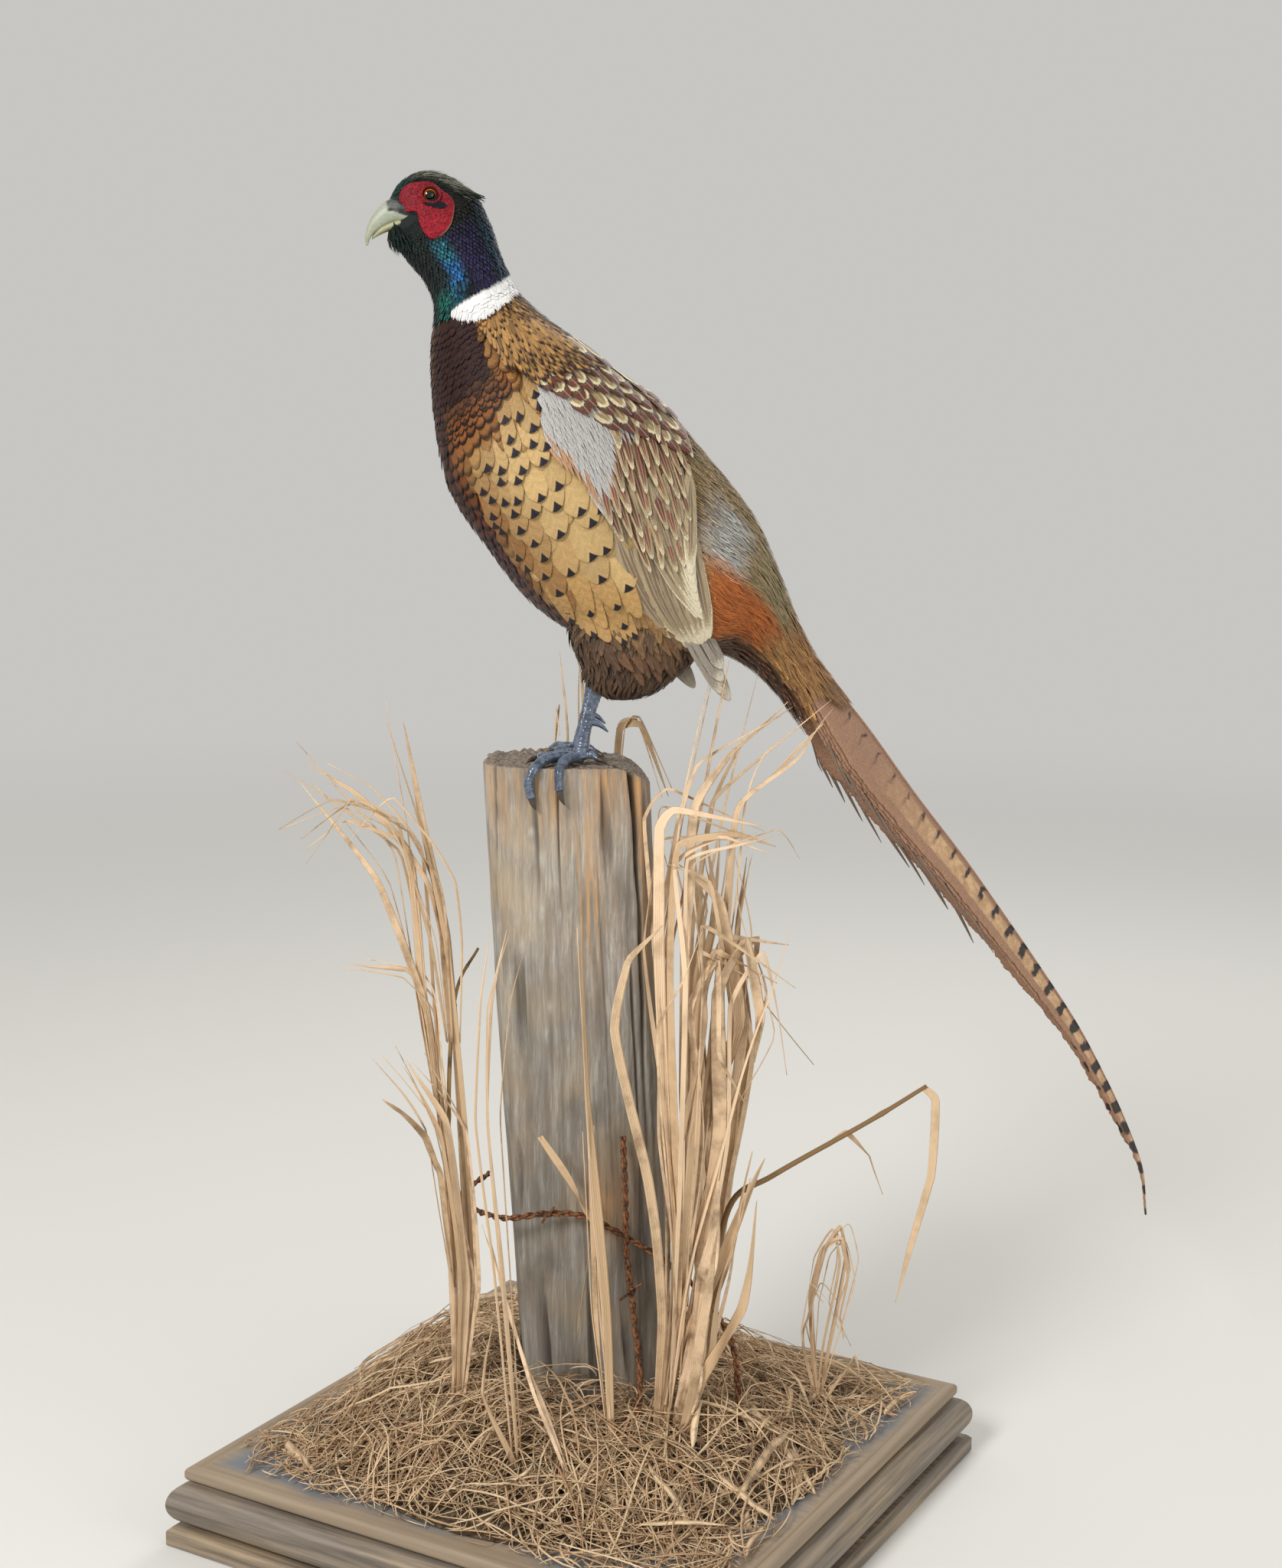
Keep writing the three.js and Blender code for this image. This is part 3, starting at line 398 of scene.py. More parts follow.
def with_ends(grid):
    """Rows of points round n tubes, (n, rows, columns, 3), as flat points with each tube's two end points."""
    n = len(grid)
    return np.concatenate([grid.reshape(n, -1, 3), grid[:, 0].mean(1)[:, None], grid[:, -1].mean(1)[:, None]],
                          1).reshape(-1, 3)


POST_COLUMNS = 384
POST_SIDE_ROWS = 150
POST_TOP_ROWS = 30
POST_SQUARENESS = 3.4  # 2 would be an oval, more is squarer
CRACK_ANGLE = np.radians(319)
SIDE_CRACK_ANGLE = np.radians(262)

# Radius by angle: a squared block with rounded corners, wavering, less the grain's furrows and the split.
# The side rows share out the height; the top rows close in to the middle over the broken end.
angle, level = np.meshgrid(np.linspace(0, 2 * np.pi, POST_COLUMNS, endpoint=False),
                           np.concatenate([np.linspace(0, 1, POST_SIDE_ROWS) ** 0.8,
                                           1 + np.linspace(0, 1, POST_TOP_ROWS + 1)[1:]]))
share = np.minimum(level, 1)
c, s = np.cos(angle), np.sin(angle)
half_width = (POST_FOOT_WIDTH + (POST_WIDTH - POST_FOOT_WIDTH) * np.minimum(1, share * 2)) / 2
block = 1 / ((np.abs(c) / half_width) ** POST_SQUARENESS
             + (np.abs(s) / (POST_DEPTH / 2)) ** POST_SQUARENESS) ** (1 / POST_SQUARENESS)
around = angle / (2 * np.pi) * NOISE_REPEAT
height = GROUND + (POST_TOP - GROUND) * share
waver = 1.1 * np.sin(5 * angle + 3 * share) + 0.7 * np.sin(9 * angle - 5 * share)
drift = noise(around, height / 90, 3) * 1.6
ridge = noise(2 * around + drift, height / 70, 4)
fine = noise(4 * around + 2 * drift, height / 34, 5)
furrow = noise(around + drift, height / 120, 6)
long_split = np.clip(0.16 - furrow, 0, 1) / 0.16
crack_at = CRACK_ANGLE + 0.05 * (noise(height / 30, height * 0, 8) - 0.5)
crack_depth = np.clip((height - 330) / 120, 0, 1) * 9 + np.clip((height - 240) / 90, 0, 1) * 3
crack = bump(angle, crack_at, 0.028 + 0.03 * np.clip((height - 430) / 80, 0, 1)) * crack_depth
side_crack_at = SIDE_CRACK_ANGLE + 0.03 * np.sin(height / 40)
side_crack = bump(angle, side_crack_at, 0.02) * np.clip((height - 400) / 80, 0, 1) * 3
radius = block + waver * 0.7 + (ridge - 0.5) * 1.5 + (fine - 0.5) * 0.7 - long_split * 3 - crack - side_crack
close_in = np.clip(2 - level, 0, 1) ** 0.8
radius = radius * np.where(level > 1, close_in, 1)
rim = np.clip(1 - np.abs(close_in - 0.93) / 0.12, 0, 1) * (level > 0.99)
crumble = noise(2 * around, close_in * 9, 11) * rim
shoulder = np.maximum(0, radius * c - 30) ** 2 / 45
left_back = np.clip(-c * 0.8 + s * 0.7 + 0.1, 0, 1)
knobbly = ((noise(radius * c / 3.5, radius * s / 3.5, 12) - 0.5) * 3
           + (noise(radius * c / 1.6, radius * s / 1.6, 13) - 0.5) * 1.2)
top = (POST_TOP - 0.02 * radius * s - shoulder + knobbly * np.clip((level - 1) * 12, 0.15, 1) * 0.6 - 1.2
       + crumble * 5 * left_back - 5 * bump(angle, crack_at, 0.06) * np.clip(close_in - 0.55, 0, 1) / 0.45)
z = np.where(level < 1, GROUND + (top - GROUND) * share, top)
middle = POST_FOOT_ACROSS + (POST_TOP_ACROSS - POST_FOOT_ACROSS) * share
grid = np.stack([middle + radius * c, radius * s, z], -1)

# Marks, by place: red is rust and fresh tan wood, green pale droppings, blue painted shade in the splits,
# alpha the sawn top.
front_side = s < 0.2
x_front = grid[..., 0] - middle
tan_scar = (bump(x_front, 10, 17) * bump(z, 430, 60) * (ridge > 0.35)) * 0.8
under_rim = np.clip((z - 455) / 45, 0, 1) * np.clip(noise(2 * around, height / 200, 14) * 2.4 - 0.9, 0, 1)
crack_tan = bump(angle, crack_at + 0.09, 0.08) * np.clip((z - 330) / 60, 0, 1) * 0.9
rust = bump(x_front, 14, 20) * bump(z, 222, 34) * 0.9
orange = np.where(front_side, tan_scar + crack_tan + rust, 0) + under_rim * 0.8
# each dropping: across from the post's middle, height, half width and half length
DROPPINGS = [(-19, 452, 2.6, 9), (-20, 418, 2.2, 6), (-18, 356, 2.4, 5), (-21, 338, 2, 7), (42, 300, 2, 26),
             (41, 250, 1.6, 14), (-24, 470, 3, 4)]
drops = sum(bump(x_front, across, width) * bump(z, up, tall) for across, up, width, tall in DROPPINGS)
drops = np.where(front_side & (level < 1), 0.5 * drops * np.clip(noise(4 * around, z / 3, 15) * 2.2, 0, 1), 0)
# painted shade in the splits: darker the deeper the crack, the side crack and the long furrows
painted_shade = np.clip(crack / 5, 0, 1) + np.clip(side_crack / 3, 0, 1) + long_split * 0.8
on_top = np.clip((level - 0.992) * 60, 0, 1)
marks = np.stack([orange, drops, np.clip(painted_shade, 0, 1), on_top], -1)

# weathered softwood: silver-grey fibres between darker furrows, tan where it has split lately
post_wood = blank("weathered_fence_post")
place = add(post_wood, "TexCoord", out="Object")
bend = add(post_wood, "TexNoise", {"Vector": place, "Scale": 13, "Detail": 3}, out=1)
bent_place = add(post_wood, "VectorMath", {0: bend, 1: (0.009, 0.009, 0), 2: place}, operation="MULTIPLY_ADD")
fibre_place = add(post_wood, "Mapping", {"Vector": bent_place, "Scale": (1, 1, 0.035)})
band_place = add(post_wood, "Mapping", {"Vector": bent_place, "Scale": (1, 1, 0.09)})
fibre = add(post_wood, "TexNoise", {"Vector": fibre_place, "Scale": 900, "Detail": 6, "Roughness": 0.75})
band = add(post_wood, "TexNoise", {"Vector": band_place, "Scale": 170, "Detail": 5, "Roughness": 0.65})
patchy = add(post_wood, "TexNoise", {"Vector": place, "Scale": 22, "Detail": 5})
stain_place = add(post_wood, "Mapping", {"Vector": place, "Scale": (1, 1, 0.5)})
stain = add(post_wood, "TexNoise", {"Vector": stain_place, "Scale": 46, "Detail": 4})
speck = add(post_wood, "TexNoise", {"Vector": place, "Scale": 520, "Detail": 3, "Roughness": 0.7})
mark = add(post_wood, "Attribute", attribute_name="marks")
split = add(post_wood, "SeparateColor", {0: mark}).node
pale_fibre = add(post_wood, "MapRange", {"Value": fibre, "From Min": 0.34, "From Max": 0.66})
light = add(post_wood, "Mix", {0: pale_fibre, 6: linear("#79746c"), 7: linear("#b6b0a6")}, **COLOUR_MIX)
band_share = add(post_wood, "MapRange", {"Value": band, "From Min": 0.4, "From Max": 0.62})
banded = add(post_wood, "Mix", {0: band_share, 6: linear("#7f766b"), 7: light}, **COLOUR_MIX)
warm_share = add(post_wood, "MapRange", {"Value": patchy, "From Min": 0.45, "From Max": 0.7, "To Max": 0.55})
warm = add(post_wood, "Mix", {0: warm_share, 6: banded, 7: linear("#a58f70")}, **COLOUR_MIX)
stain_share = add(post_wood, "MapRange", {"Value": stain, "From Min": 0.52, "From Max": 0.68, "To Max": 0.5})
stained = add(post_wood, "Mix", {0: stain_share, 6: warm, 7: linear("#625a50")}, **COLOUR_MIX)
fibre_share = add(post_wood, "MapRange", {"Value": fibre, "From Min": 0.3, "From Max": 0.6})
tan_share = add(post_wood, "Math", {0: split.outputs[0], 1: fibre_share}, operation="MULTIPLY",
                use_clamp=True)
tan = add(post_wood, "Mix", {0: tan_share, 6: stained, 7: linear("#bb8d58")}, **COLOUR_MIX)
speck_share = add(post_wood, "MapRange", {"Value": speck, "From Min": 0.35, "From Max": 0.62})
top_colour = add(post_wood, "Mix", {0: speck_share, 6: linear("#453c32"), 7: linear("#8e8070")}, **COLOUR_MIX)
on_end = add(post_wood, "Attribute", attribute_name="marks", out=3)
topped = add(post_wood, "Mix", {0: on_end, 6: tan, 7: top_colour}, **COLOUR_MIX)
dropped = add(post_wood, "Mix", {0: split.outputs[1], 6: topped, 7: linear("#c3bfb6")}, **COLOUR_MIX)
# painted shade: the splits darkened by their depth
split_shaded = add(post_wood, "Mix", {0: split.outputs[2], 6: dropped, 7: linear("#2a231c")}, **COLOUR_MIX)
upward = add(post_wood, "SeparateXYZ", {0: place}, out=2)
height_share = add(post_wood, "MapRange", {
    "Value": upward, "From Min": 0.24, "From Max": 0.4, "To Min": 0.82, "To Max": 1.12})
brighter_up = add(post_wood, "CombineColor", {i: height_share for i in range(3)})
shaded = add(post_wood, "Mix", {0: 1.0, 6: split_shaded, 7: brighter_up}, **COLOUR_MIX, blend_type="MULTIPLY")
relief_height = add(post_wood, "Math", {0: fibre, 1: 0.5, 2: band}, operation="MULTIPLY_ADD")
relief = add(post_wood, "Bump", {"Strength": 0.7, "Distance": 0.0011, "Height": relief_height})
shader = add(post_wood, "BsdfPrincipled", {"Base Color": shaded, "Roughness": 0.88, "Normal": relief})
add(post_wood, "OutputMaterial", {"Surface": shader})

rows = POST_SIDE_ROWS + POST_TOP_ROWS
piece("post_weathered", turned(with_ends(grid[None, :-1])), closed_faces(rows - 1, POST_COLUMNS), post_wood,
      ["post"],
      colours={"marks": np.vstack([marks[:-1].reshape(-1, 4), marks[0, :1], marks[-1, :1]])})

# ---- ground ---------------------------------------------------------------------------------------------
# A low dome of dark earth round the post, glued down and covered in a tangle of dry straw and leaf stems
# that spills over most of the board.

MOUND_RADIUS = 172
MOUND_HEIGHT = 38
MOUND_SEGMENTS = 192
MOUND_ROWS = 60


def ground_height(x, y):
    """Height of the ground at places of the front frame: a rough parabola dome, flat on the board beyond."""
    across = np.hypot(x, y)
    dome = MOUND_HEIGHT * np.clip(1 - (across / MOUND_RADIUS) ** 2, 0, 1)
    rough = (noise(x / 14 + 30, y / 14 + 30, 21) - 0.5) * 5 + (noise(x / 4 + 30, y / 4 + 30, 22) - 0.5) * 2
    return GROUND + 0.8 + dome + rough * np.clip(dome / 8, 0, 1)


spread, sector = np.meshgrid(np.linspace(1, 0.02, MOUND_ROWS),
                             np.linspace(0, 2 * np.pi, MOUND_SEGMENTS, endpoint=False), indexing="ij")
across = MOUND_RADIUS * spread
dome = np.stack([across * np.cos(sector), across * np.sin(sector), 0 * across], -1)
dome[..., 2] = ground_height(dome[..., 0], dome[..., 1])
skirt = dome[:1] * [1, 1, 0] + [0, 0, GROUND]
# dry peaty earth: dark crumbs with paler chaff between them
earth = blank("dry_earth_and_chaff")
place = add(earth, "TexCoord", out="Object")
crumb = add(earth, "TexNoise", {"Vector": place, "Scale": 240, "Detail": 6, "Roughness": 0.7})
chaff = add(earth, "MapRange", {"Value": crumb, "From Min": 0.36, "From Max": 0.62})
soil = add(earth, "Mix", {0: chaff, 6: linear("#2a2119"), 7: linear("#6f5c45")}, **COLOUR_MIX)
relief = add(earth, "Bump", {"Strength": 0.9, "Distance": 0.002, "Height": crumb})
shader = add(earth, "BsdfPrincipled", {"Base Color": soil, "Roughness": 0.95, "Normal": relief})
add(earth, "OutputMaterial", {"Surface": shader})
mound = np.concatenate([skirt, dome])
piece("ground_earth", turned(with_ends(mound[None])), closed_faces(MOUND_ROWS + 1, MOUND_SEGMENTS), earth,
      ["ground_mound"])


def smooth_row(table, s):
    """Values of a table at row s, whole or not: a cubic through the rows, sloped by the rows either side."""
    table = np.asarray(table, float)
    padded = np.vstack([2 * table[0] - table[1], table, 2 * table[-1] - table[-2]])
    s = np.clip(s, 0, len(table) - 1 - 1e-6)
    k = np.floor(s).astype(int)
    t = (s - k)[..., None]
    before, start, stop, after = (padded[k + i] for i in range(4))
    leave, arrive = (stop - before) / 2, (after - start) / 2
    return ((2 * t**3 - 3 * t**2 + 1) * start + (t**3 - 2 * t**2 + t) * leave
            + (-2 * t**3 + 3 * t**2) * stop + (t**3 - t**2) * arrive)


def smooth_line(points, rows):
    """That many points, evenly shared out, of the smooth line through the given ones."""
    return smooth_row(points, np.linspace(0, len(points) - 1, rows))


def run_of(line):
    """The distance along a line of points, at each of them."""
    return np.concatenate([[0], np.cumsum(np.linalg.norm(np.diff(line, axis=0), axis=1))])


def unit(vectors):
    """Vectors made one long."""
    return vectors / np.maximum(np.linalg.norm(vectors, axis=-1, keepdims=True), 1e-9)


def strips(line, face, half, thick, fold, around):
    """Closed thin strips: an ellipse carried along each line, its wide way across the face, its edges lifted.

    line and face are (n, rows, 3), half and thick (n, rows); fold is the lift as a share of the half width.
    Gives the points and the (across, along) map of the n strips.
    """
    tangent = unit(np.gradient(line, axis=1))
    side = unit(np.cross(tangent, np.broadcast_to(face, line.shape)))
    up = np.cross(side, tangent)
    turn = -2 * np.pi * np.arange(around) / around
    out = half[..., None] * np.cos(turn)
    lift = thick[..., None] / 2 * np.sin(turn) + fold * np.abs(out)
    grid = line[:, :, None] + side[:, :, None] * out[..., None] + up[:, :, None] * lift[..., None]
    n = len(line)
    steps = np.linalg.norm(np.diff(line, axis=1), axis=-1)
    length = np.concatenate([np.zeros((n, 1)), np.cumsum(steps, axis=1)], 1)
    uv = np.stack([np.broadcast_to(0.5 + 0.5 * np.cos(turn), grid.shape[:3]),
                   np.broadcast_to(length[..., None] * MM, grid.shape[:3])], -1)
    uv = np.concatenate([uv.reshape(n, -1, 2), uv[:, 0, :1], uv[:, -1, :1]], 1).reshape(-1, 2)
    return with_ends(grid), uv


def tone(count, per_item, low=0.0, high=1.0):
    """Four random shares for each of count items, repeated for its points: the tone attribute."""
    return np.repeat(low + (high - low) * rng.random((count, 4)), per_item, axis=0)


def dried_plant(name, dark, middle, pale, gloss):
    """Dry grass: straw-coloured, each blade its own tone, ribbed along its length, browner in places."""
    material = blank(name)
    own = add(material, "SeparateColor", {0: add(material, "Attribute", attribute_name="tone")}).node
    across = add(material, "SeparateXYZ", {0: add(material, "UVMap", uv_map="vane")}).node
    rib_phase = add(material, "Math", {0: across.outputs[0], 1: 40}, operation="MULTIPLY")
    ribs = add(material, "Math", {0: rib_phase}, operation="SINE")
    place = add(material, "TexCoord", out="Object")
    spots = add(material, "TexNoise", {"Vector": place, "Scale": 60, "Detail": 5, "Roughness": 0.65})
    base = add(material, "Mix", {0: own.outputs[0], 6: linear(middle), 7: linear(pale)}, **COLOUR_MIX)
    share = add(material, "MapRange", {"Value": spots, "From Min": 0.46, "From Max": 0.7})
    brown = add(material, "Math", {0: share, 1: own.outputs[1]}, operation="MULTIPLY", use_clamp=True)
    colour = add(material, "Mix", {0: brown, 6: base, 7: linear(dark)}, **COLOUR_MIX)
    relief = add(material, "Bump", {"Strength": 0.35, "Distance": 0.0004, "Height": ribs})
    shader = add(material, "BsdfPrincipled", {"Base Color": colour, "Roughness": gloss, "Normal": relief})
    add(material, "OutputMaterial", {"Surface": shader})
    return material


# dried meadow straw: matt, flattened and curled stems from pale buff to brown
straw_material = dried_plant("dried_meadow_straw", "#4a3322", "#b18b66", "#f0d4ab", 0.75)
STRAW_ROWS = 9
STRAW_SIDES = 3
BARE_CORNER = turned([-192, -192, 0], -FRONT_TURN)[:2]  # the corner of the board that straw leaves bare
BARE_REACH = 40
BOARD_FREE = 180  # straw lies within this of the board's middle, both ways
POST_FREE = (50, 43)  # and outside the post, by its half width and half depth
THIN_PLACES = 0.5  # share of the straw left out where it lies thin


def lying(name, count, lengths, halves, bend, pile, thick, tones=(0.0, 1.0)):
    """Loose stems strewn inside the board's lip, heaped towards the post, each bent and a little humped."""
    along = np.linspace(-1, 1, STRAW_ROWS)
    strewn = rng.uniform(-BOARD_FREE, BOARD_FREE, (count, 2))
    start = turned(np.concatenate([strewn, np.zeros((count, 1))], 1), -FRONT_TURN)
    length = rng.uniform(*lengths, (count, 1))
    heading = (2 * np.pi * rng.random((count, 1)) + rng.normal(0, bend, (count, 1)) * along
               + rng.normal(0, bend * 0.6, (count, 1)) * np.abs(along - rng.uniform(-0.7, 0.7, (count, 1))))
    step = length / (STRAW_ROWS - 1)
    x = start[:, :1] + np.cumsum(np.cos(heading) * step, axis=1) - length / 2 * np.cos(heading[:, 4:5])
    y = start[:, 1:2] + np.cumsum(np.sin(heading) * step, axis=1) - length / 2 * np.sin(heading[:, 4:5])
    on_board = turned(np.stack([x, y, 0 * x], -1))
    over_edge = np.abs(on_board[..., :2]).max(axis=(1, 2)) > BOARD_FREE
    in_post = ((np.abs(x - 5) < POST_FREE[0]) & (np.abs(y) < POST_FREE[1])).any(axis=1)
    bare = (np.hypot(x - BARE_CORNER[0], y - BARE_CORNER[1]) < BARE_REACH).any(axis=1)
    thin = np.sin(start[:, 0] / 23 + 1) * np.sin(start[:, 1] / 31 + 2) > 0.25
    sparse = rng.random(len(x)) < THIN_PLACES * thin
    keep = ~(over_edge | in_post | bare | sparse)
    x, y, length = x[keep], y[keep], length[keep]
    n = len(x)
    heap = np.clip(1 - np.hypot(x, y) / 200, 0, 1) + 0.5 * bump(np.hypot(x + 90, y - 55), 0, 60)
    hump = rng.uniform(0, 0.1, (n, 1)) * length * (1 - along**2)
    z = ground_height(x, y) + 0.8 + rng.random((n, 1)) ** 1.6 * (5 + pile * heap) + hump
    z = z + rng.normal(0, 0.09, (n, 1)) * along * length * rng.integers(0, 2, (n, 1)) * heap
    z = np.maximum(z, ground_height(x, y) + 0.8)
    tilt = rng.normal(0, 0.6, (n, 1, 2))
    face = unit(np.concatenate([np.broadcast_to(tilt, (n, STRAW_ROWS, 2)), np.ones((n, STRAW_ROWS, 1))], -1))
    half = rng.uniform(*halves, (n, 1)) * (1.02 - np.abs(along) ** 3 * 0.75)
    points, uv = strips(np.stack([x, y, z], -1), face, half, np.full(half.shape, thick), 0.25, STRAW_SIDES)
    faces = closed_faces(STRAW_ROWS, STRAW_SIDES, n)
    piece(name, turned(points), faces, straw_material,
          uv=uv[np.concatenate([f.ravel() for f in faces])],
          colours={"tone": tone(n, STRAW_ROWS * STRAW_SIDES + 2, *tones)})


lying("straw_long_on_ground", 4200, (34, 115), (0.35, 1.0), 0.35, 34, 0.55)
lying("straw_short_on_ground", 3700, (12, 50), (0.3, 1.1), 0.8, 30, 0.5)
lying("leaves_on_ground", 190, (30, 85), (1.7, 4.0), 0.5, 38, 0.3, (0.45, 1.0))

# ---- standing grass -------------------------------------------------------------------------------------
# Long dry grass leaves and stems in bunches either side of the post, pushed into the ground at their
# roots. The leaves are creased along the middle, twist as they rise and have drooped and broken in places.

# dried cocksfoot leaves: satin, ribbed, straw yellow going brown at tips and breaks
leaf_material = dried_plant("dried_grass_leaf", "#86684a", "#c1a27b", "#ebcda9", 0.55)
LEAF_ROWS = 44


def creased_line(points):
    """Rows along a dry leaf: nearly straight between its points, and bent over sharply at each of them."""
    share = np.linspace(0, len(points) - 1, LEAF_ROWS)
    straight = np.stack([np.interp(share, np.arange(len(points)), points[:, k]) for k in range(3)], -1)
    return 0.3 * smooth_row(points, share) + 0.7 * straight


def leaf_rows(leaves, wander=2.2, twist=1.1, fold=0.32, thick=0.55):
    """Points, map and count of leaves, each given as (width, points): widest before the middle, pointed."""
    lines = np.stack([creased_line(np.array(points, float)) for width, points in leaves])
    along = np.linspace(0, 1, LEAF_ROWS)
    n = len(leaves)
    wave = 0
    for k in range(1, 5):
        size = rng.normal(0, wander / k, (n, 1, 3))
        wave = wave + size * np.sin(np.pi * k * along + rng.uniform(0, 6, (n, 1)))[..., None]
    lines = lines + wave * np.minimum(1, along * 3)[:, None]
    widths = np.array([width for width, points in leaves])[:, None] / 2
    half = widths * np.clip(1.25 * (along + 0.16) ** 0.4 * (1 - along**2.4) + 0.06, 0.06, 1)
    turn = (rng.uniform(-1, 1, (n, 1)) * twist + rng.normal(0, twist, (n, 1)) * along
            + rng.normal(0, 0.3, (n, 1)) * np.sin(along * 9))
    face = np.stack([np.sin(turn), -np.cos(turn), 0.25 + 0 * turn], -1)
    points, uv = strips(lines, unit(face), half, np.full(half.shape, thick), fold, 8)
    return points, uv, n


def grass(name, leaves, replaces=(), **shape):
    """One piece of grass from its leaves, in the front frame."""
    points, uv, n = leaf_rows(leaves, **shape)
    piece(name, turned(points), closed_faces(LEAF_ROWS, 8, n), leaf_material, replaces, uv=uv,
          colours={"tone": tone(n, LEAF_ROWS * 8 + 2)})


def strays(leaves, count, spread, shrink=0.75):
    """Thinner copies of leaves, moved aside a little more at every point on the way up."""
    more = []
    for _ in range(count):
        width, points = leaves[rng.integers(len(leaves))]
        shift = rng.normal(0, spread, 3) * [1, 1, 0.4]
        rise = np.linspace(0, 1, len(points))[:, None]
        wander = rng.normal(0, 0.7 * spread, (len(points), 3)) * rise
        moved = np.array(points) + shift * (0.25 + rise) + wander
        more.append((width * rng.uniform(0.3, 1) * shrink, moved.tolist()))
    return more


LEFT_ROOT = [-87, -45, 76]
left_leaves = [
    (7, [LEFT_ROOT, [-90, -41, 167], [-94, -37, 241], [-108, -29, 349], [-141, -22, 435], [-192, -10, 496]]),
    (8, [LEFT_ROOT, [-80, -37, 166], [-87, -34, 266], [-97, -28, 395], [-113, -21, 471], [-124, -15, 537]]),
    (6, [[-92, -33, 330], [-97, -28, 395], [-107, -28, 437], [-119, -32, 468], [-154, -38, 489],
         [-185, -45, 467]]),
    (6, [[-96, -35, 270], [-108, -29, 349], [-122, -18, 450], [-158, -2, 486], [-192, 15, 505]]),
    (7, [[-90, -41, 167], [-93, -55, 247], [-105, -60, 275], [-122, -65, 292], [-136, -70, 303]]),
    (5, [[-94, -37, 241], [-103, -28, 349], [-121, -25, 374], [-160, -20, 380]]),
    (6, [LEFT_ROOT, [-80, -44, 170], [-96, -46, 280], [-122, -38, 323]]),
]
twigs = [(3.2, [[-94, -37, 241], [-93, -28, 317], [-89, -15, 361], [-76, -2, 385]]),
         (2.6, [[-90, -20, 350], [-96, -18, 380], [-98, -16, 402]])]
grass("grass_left_leaves", left_leaves + strays(left_leaves, 20, 8, 0.6), ["grass_left"])

RIGHT_ROOT = [42, -82, 72]
right_leaves = [
    (9, [RIGHT_ROOT, [49, -77, 102], [64, -66, 199], [88, -56, 300], [110, -45, 365], [102, -40, 400]]),
    (9, [[49, -77, 102], [56, -68, 198], [50, -60, 284], [46, -54, 376], [71, -34, 490], [89, -20, 579]]),
    (7, [[64, -66, 199], [58, -55, 300], [58, -50, 398], [64, -40, 484], [86, -22, 519], [124, -10, 552]]),
    (7, [[64, -66, 199], [84, -39, 399], [93, -32, 485], [121, -26, 515], [146, -20, 537]]),
    (8, [[56, -68, 198], [48, -64, 298], [42, -58, 402], [40, -57, 476], [50, -56, 488], [104, -60, 477]]),
    (8, [RIGHT_ROOT, [44, -84, 160], [34, -82, 254], [16, -78, 350], [22, -70, 395], [43, -60, 414]]),
    (9, [[49, -77, 102], [71, -48, 271], [93, -45, 349], [79, -46, 426], [54, -50, 450]]),
    (8, [[64, -66, 199], [91, -47, 303], [98, -40, 348], [85, -36, 398], [72, -30, 467]]),
    (17, [[58, -78, 86], [66, -76, 130], [74, -72, 190], [82, -66, 245]]),
    (15, [[62, -74, 84], [72, -66, 140], [92, -58, 210], [104, -52, 262]]),
    (11, [[70, -62, 190], [82, -58, 280], [78, -58, 370], [96, -50, 402], [108, -46, 352], [104, -46, 320]]),
    (9, [[58, -70, 160], [62, -64, 260], [66, -60, 352], [78, -54, 398], [118, -46, 372]]),
    (7, [[52, -76, 100], [56, -68, 240], [52, -62, 380], [54, -58, 462], [88, -52, 470], [116, -46, 462]]),
]
grass("grass_right_leaves", right_leaves + strays(right_leaves, 30, 13, 0.65), ["grass_right"])
back_leaves = [
    (9, [[80, 20, 74], [78, 10, 200], [66, 8, 330], [72, 4, 400], [64, -2, 462]]),
    (7, [[80, 20, 74], [92, 16, 220], [102, 12, 320], [94, 8, 390], [98, 6, 448]]),
]
grass("grass_right_back_leaves", back_leaves + strays(back_leaves, 9, 8), ["grass_right_back"])
small_leaves = [
    (4, [[157, 5, 60], [152, 5, 105], [150, 5, 142], [158, 5, 176], [170, 5, 186], [174, 5, 160],
         [168, 5, 128], [172, 5, 112]]),
    (3.4, [[157, 5, 62], [162, 5, 100], [170, 8, 136], [176, 10, 168], [172, 10, 190], [160, 8, 176],
           [154, 6, 150]]),
    (3, [[157, 5, 60], [148, 4, 90], [142, 2, 120], [150, 0, 150], [162, -2, 140]]),
    (2.6, [[158, 5, 60], [170, 6, 84], [180, 8, 96], [186, 8, 82]]),
]
grass("grass_small_right_leaves", small_leaves + strays(small_leaves, 7, 4), ["grass_small_right"], wander=2)
front_leaves = [
    (7, [[14, -101, 78], [10, -84, 153], [4, -72, 228], [-2, -62, 302], [-6, -55, 417]]),
    (4, [[14, -101, 78], [3, -80, 171], [-3, -60, 282]]),
    (7, [[-33, -62, 276], [-10, -65, 240], [3, -67, 220], [-7, -70, 147]]),
]
grass("grass_front_leaves", front_leaves + strays(front_leaves, 3, 5), ["grass_front"], wander=1)
front_left_leaves = [
    (4, [[-45, -112, 74], [-56, -98, 200], [-66, -86, 293], [-63, -74, 366], [-54, -62, 410]]),
    (9, [[-45, -112, 74], [-66, -114, 125], [-62, -108, 169]]),
    (5, [[-12, -130, 75], [-31, -107, 121], [-52, -83, 163], [-70, -60, 217]]),
]
grass("grass_front_left_leaves", front_left_leaves + strays(front_left_leaves, 4, 5), ["grass_front_left"],
      wander=1)
